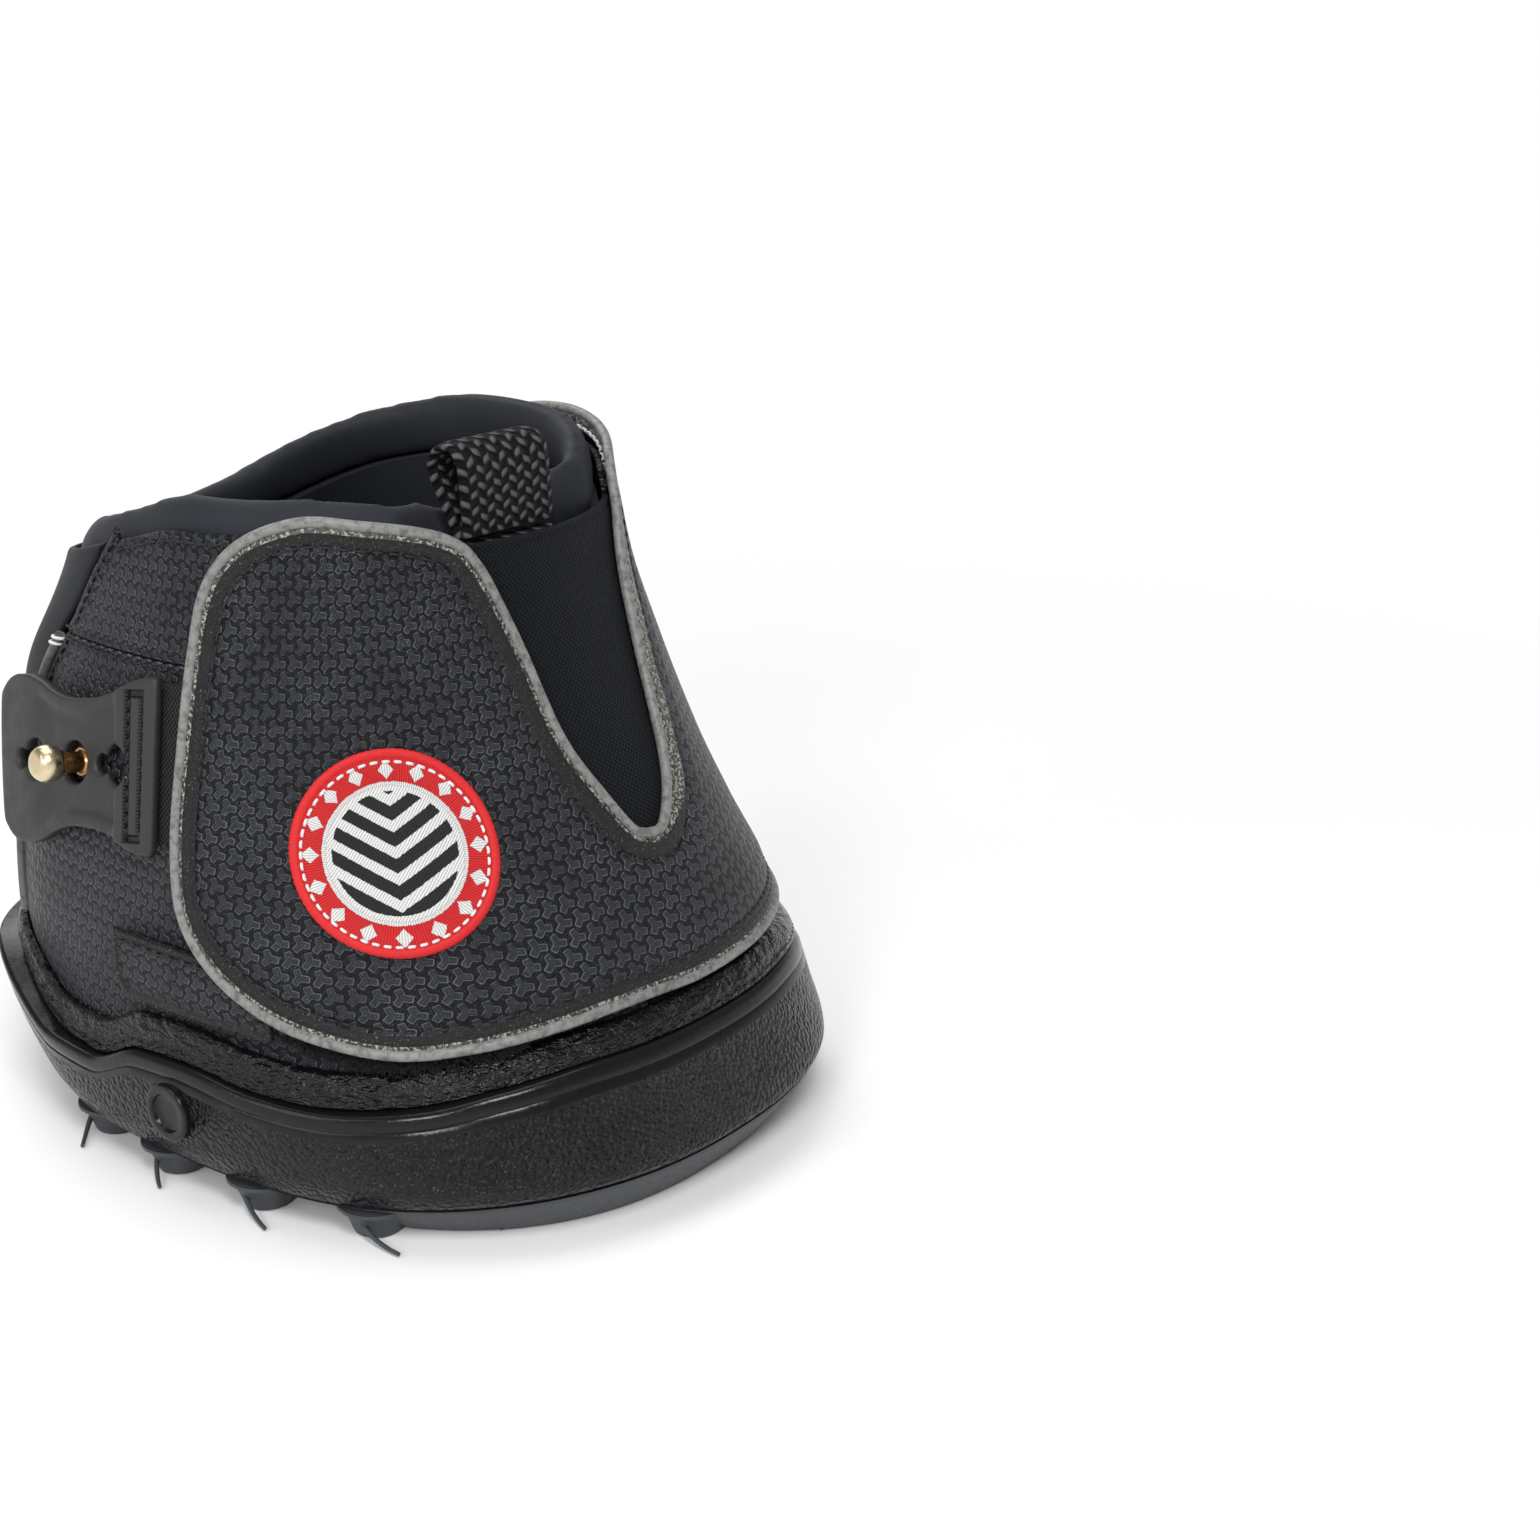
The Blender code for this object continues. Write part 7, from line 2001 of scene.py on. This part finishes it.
def tab_outline():
    end_share = TAB_OUTLINE_SHARES[-1][0]
    share = np.linspace(0, end_share, round(TAB_LENGTH * end_share / TAB_STEP) + 1)
    side = np.stack([share * TAB_LENGTH, tab_half_width(share)], -1)
    turn = np.radians(np.linspace(90, -90, 25))[1:-1]
    half = side[-1, 1]
    nose = np.stack([
        side[-1, 0] + (1 - end_share) * TAB_LENGTH * np.cos(turn) ** 0.8, half * np.sin(turn)], -1)
    front = np.linspace(-side[0, 1], side[0, 1], round(2 * side[0, 1] / TAB_STEP))[1:-1]
    front = np.stack([np.zeros(len(front)), front], -1)
    loop = np.concatenate([front, side, nose, side[::-1] * (1, -1)])
    for _ in range(3):
        loop = (np.roll(loop, 1, 0) + 2 * loop + np.roll(loop, -1, 0)) / 4
    return loop


def slot_frame(inset):
    """Closed line inside the slot's edge."""
    low = TAB_SLOT_START + inset
    high = TAB_SLOT_START + TAB_SLOT_WIDTH - inset
    half = TAB_SLOT_LENGTH / 2 - inset
    corners = [(low, -half), (high, -half), (high, half), (low, half), (low, -half)]
    steps = np.linspace(0, 1, 40, endpoint=False)[:, None]
    return np.concatenate([np.add(a, steps * np.subtract(b, a)) for a, b in zip(corners, corners[1:])])


def make_tab():
    holes = [keyhole(TAB_STUD_REACH + step * KEYHOLE_PITCH) for step in (-1, 0, 1)]
    frames = [slot_frame(inset) for inset in (0, 0.0004, TAB_SLOT_GROOVE, TAB_SLOT_GROOVE + 0.0005)]
    tab = cloth(
        "keyhole_tab", tab_outline(), tab_outer, tab_inner, (TAB_RUBBER, SMOOTH_RUBBER), holes=holes,
        place=tab_spot, step=TAB_STEP, reaches=(0.00025, 0.0006), roll=0.0006, flatten=lambda p: p,
        scale=(1, 1), guides=frames,
        zone=lambda near, a, h: np.where(slot_relief(a, h) < -0.5 * TAB_SLOT_DEPTH, 1, 0))
    dress(tab, "strap_end", "tab_rubber", "strap_tab")
    rows = []
    for along in (TAB_SLOT_START + 0.0006, TAB_SLOT_START + TAB_SLOT_WIDTH - 0.0006):
        rows.append(tab_stitches(along, TAB_BASE_OUT + TAB_LIP_THICKNESS - TAB_SLOT_DEPTH + 0.0002))
    seam = make_piece("tab_stitches", *joined(rows), BLACK_THREAD)
    dress(seam, "strap_end", "tab_rubber")


def tab_stitches(along, offset):
    """Short threads in a row across the tab."""
    t = np.linspace(-0.5, 0.5, 5)
    radii = TAB_STITCH_RADIUS * (1 - 0.5 * (2 * t) ** 4)
    normals = np.tile(TAB_AXES[2], (5, 1))
    parts = []
    for mark in np.arange(TAB_STITCH_PITCH / 2, 2 * TAB_STITCH_HALF_ROW, TAB_STITCH_PITCH):
        across = -TAB_STITCH_HALF_ROW + mark + t * TAB_STITCH_LENGTH
        centre = tab_spot(along, across, offset - TAB_STITCH_DIVE * (2 * t) ** 2)
        parts.append(tube(centre, normals, radii, 6))
    return joined(parts)


# Stud

STUD_STEPS = 64
STUD_HEAD_RADIUS = 0.0038
STUD_STEM_RADIUS = 0.0021
STUD_HEAD_OUT = 0.0088
STUD_FLANGE_RADIUS = 0.0030
STUD_FLANGE_THICKNESS = 0.0010
NUT_THICKNESS = 0.0009


def make_stud():
    seat = upper(*STUD_PLACE)
    axis = TAB_AXES[2]
    neck = STUD_NECK_RADIUS
    stem = STUD_STEM_RADIUS
    head = STUD_HEAD_RADIUS
    foot = -BASE_THICKNESS - 2 * GAP - NUT_THICKNESS
    flange = GAP + STUD_FLANGE_THICKNESS
    profile = [(0, foot), (neck, foot), (neck, GAP), (STUD_FLANGE_RADIUS - 0.0002, GAP)]
    profile += [(STUD_FLANGE_RADIUS, GAP + 0.0002), (STUD_FLANGE_RADIUS, flange - 0.0002)]
    profile += [(STUD_FLANGE_RADIUS - 0.0002, flange), (stem + 0.0003, flange), (stem, flange + 0.0003)]
    start = math.asin(stem / head)
    shank_rows = len(profile)
    for turn in np.linspace(start, math.pi / 2 + 0.75, 22):
        flat_part = 0.94 if turn > math.pi / 2 else 1.0
        profile.append((head * math.sin(turn), STUD_HEAD_OUT - head * math.cos(turn) * flat_part))
    rim, level = profile[-1]
    for share in (0.96, 0.9, 0.6, 0.3):
        profile.append((rim * share, level + 0.00042 - 0.00042 * share ** 6))
    profile.append((0, level + 0.00044))
    points, faces = turned(profile, STUD_STEPS, seat, axis)
    zones = np.zeros(len(faces), int)
    zones[:STUD_STEPS * shank_rows] = 1
    stud = make_piece("brass_stud", points, faces, (BRASS, COPPER), sharp=40, zones=zones)
    dress(stud, "boot_body", "brass", "stud")

    inner = -BASE_THICKNESS - 2 * GAP
    outer = inner - NUT_THICKNESS
    side = unit(np.cross(axis, (0, 0, 1)))
    other = np.cross(axis, side)
    turn = turns(48)[:, None]
    radial = np.cos(turn) * side + np.sin(turn) * other
    bore = neck + GAP
    edge = 0.00015
    section = (
        (bore, outer), (NUT_RADIUS - edge, outer), (NUT_RADIUS, outer + edge), (NUT_RADIUS, inner - edge),
        (NUT_RADIUS - edge, inner), (bore, inner))
    sections = np.stack([seat + radial * r + axis * a for r, a in section], 1)
    nut = make_piece("brass_nut", *ring(sections), BRASS, sharp=40)
    dress(nut, "boot_body", "brass", "stud_nut")


# Stage: pale floor, soft studio light and the photo's camera

CAMERA_TURN = -53.14            # degrees round the boot, from the toe towards the lateral side
CAMERA_RISE = 18.8
CAMERA_REACH = 0.6823
CAMERA_AIM = (0.1885, 0.0436, 0.009)
FOCAL_SHARE = 2295 / 1540       # focal length over the picture's width
SENSOR_WIDTH = 36
WORLD_LIGHT = 0.32              # plain light from the room, where 1 is white
CEILING_SHARE = 0.95            # share of it that comes from above
CEILING_GLOSS = 0.30            # and how much of that shows in reflections
CLIP_START = 0.01
FLOOR_REACH = 9
FLOOR_DROP = 0.0001             # the boot's lowest faces stay clear of the floor
LAMPS = (                       # name, place, height of its aim, size, power
    ("key", (-0.60, -0.80, 1.15), 0.06, (0.45, 0.45), 11),
    ("top", (0.1, 0.25, 1.4), 0.05, (1.0, 1.0), 6.5),
    ("left", (-1.25, 0.35, 0.75), 0.06, (0.5, 1.0), 4),
    ("spark", (-1.00, -0.45, 0.60), 0.04, (0.28, 0.28), 4.5),
    ("rim", (0.45, 1.0, 0.9), 0.08, (0.5, 0.8), 3))


def make_camera():
    turn = math.radians(CAMERA_TURN)
    rise = math.radians(CAMERA_RISE)
    back = Vector((math.sin(turn) * math.cos(rise), -math.cos(turn) * math.cos(rise), math.sin(rise)))
    right = Vector((math.cos(turn), math.sin(turn), 0))
    camera = bpy.data.objects.new("camera", bpy.data.cameras.new("camera"))
    camera.data.sensor_fit = "HORIZONTAL"
    camera.data.sensor_width = SENSOR_WIDTH
    camera.data.lens = SENSOR_WIDTH * FOCAL_SHARE
    camera.data.clip_start = CLIP_START
    camera.matrix_world = Matrix((right, back.cross(right), back)).transposed().to_4x4()
    camera.location = Vector(CAMERA_AIM) + Vector(SHIFT) + back * CAMERA_REACH
    bpy.context.scene.collection.objects.link(camera)
    bpy.context.scene.camera = camera
    return camera


def area_light(name, place, aim_height, size, power):
    light = bpy.data.lights.new(name, "AREA")
    light.shape = "RECTANGLE"
    light.size, light.size_y = size
    light.energy = power
    item = bpy.data.objects.new(name, light)
    item.location = place
    aim = Vector((0, 0, aim_height)) - Vector(place)
    item.rotation_euler = aim.to_track_quat("-Z", "Y").to_euler()
    bpy.context.scene.collection.objects.link(item)
    return item


def make_stage():
    corners = [(x * FLOOR_REACH, y * FLOOR_REACH, 0) for x, y in ((-1, -1), (1, -1), (1, 1), (-1, 1))]
    floor = make_piece("floor", corners, [(0, 1, 2, 3)], FLOOR)
    floor.location.z = -FLOOR_DROP
    lights = [area_light(*lamp) for lamp in LAMPS]
    world = bpy.data.worlds.new("studio")
    sky = Paint("studio", world)
    rise = sky.put("SeparateXYZ", {0: sky.put("TexCoord").outputs["Generated"]}).outputs[2]
    rays = sky.put("LightPath").outputs
    share = sky.math("MULTIPLY_ADD", rays["Is Glossy Ray"], CEILING_GLOSS - CEILING_SHARE, CEILING_SHARE)
    ceiling = sky.ramp(rise, 0.0, 0.42, 1.0, share)
    ceiling = sky.math("MAXIMUM", ceiling, rays["Is Camera Ray"])
    background = sky.tree.nodes["Background"]
    background.inputs[0].default_value = (1, 1, 1, 1)
    sky.feed(background.inputs[1], sky.times(ceiling, seen_rays(sky, WORLD_LIGHT)))
    scene = bpy.context.scene
    scene.world = world
    scene.view_settings.view_transform = "Standard"
    make_camera()


for make in (
        make_cup, make_tread, make_rand, make_insole, make_liner, make_collar, make_gusset, make_quarters,
        make_heel, make_wrap, make_patches, make_strip, make_badge, make_pull_loop, make_elastic, make_tab,
        make_stud, make_stage):
    make()
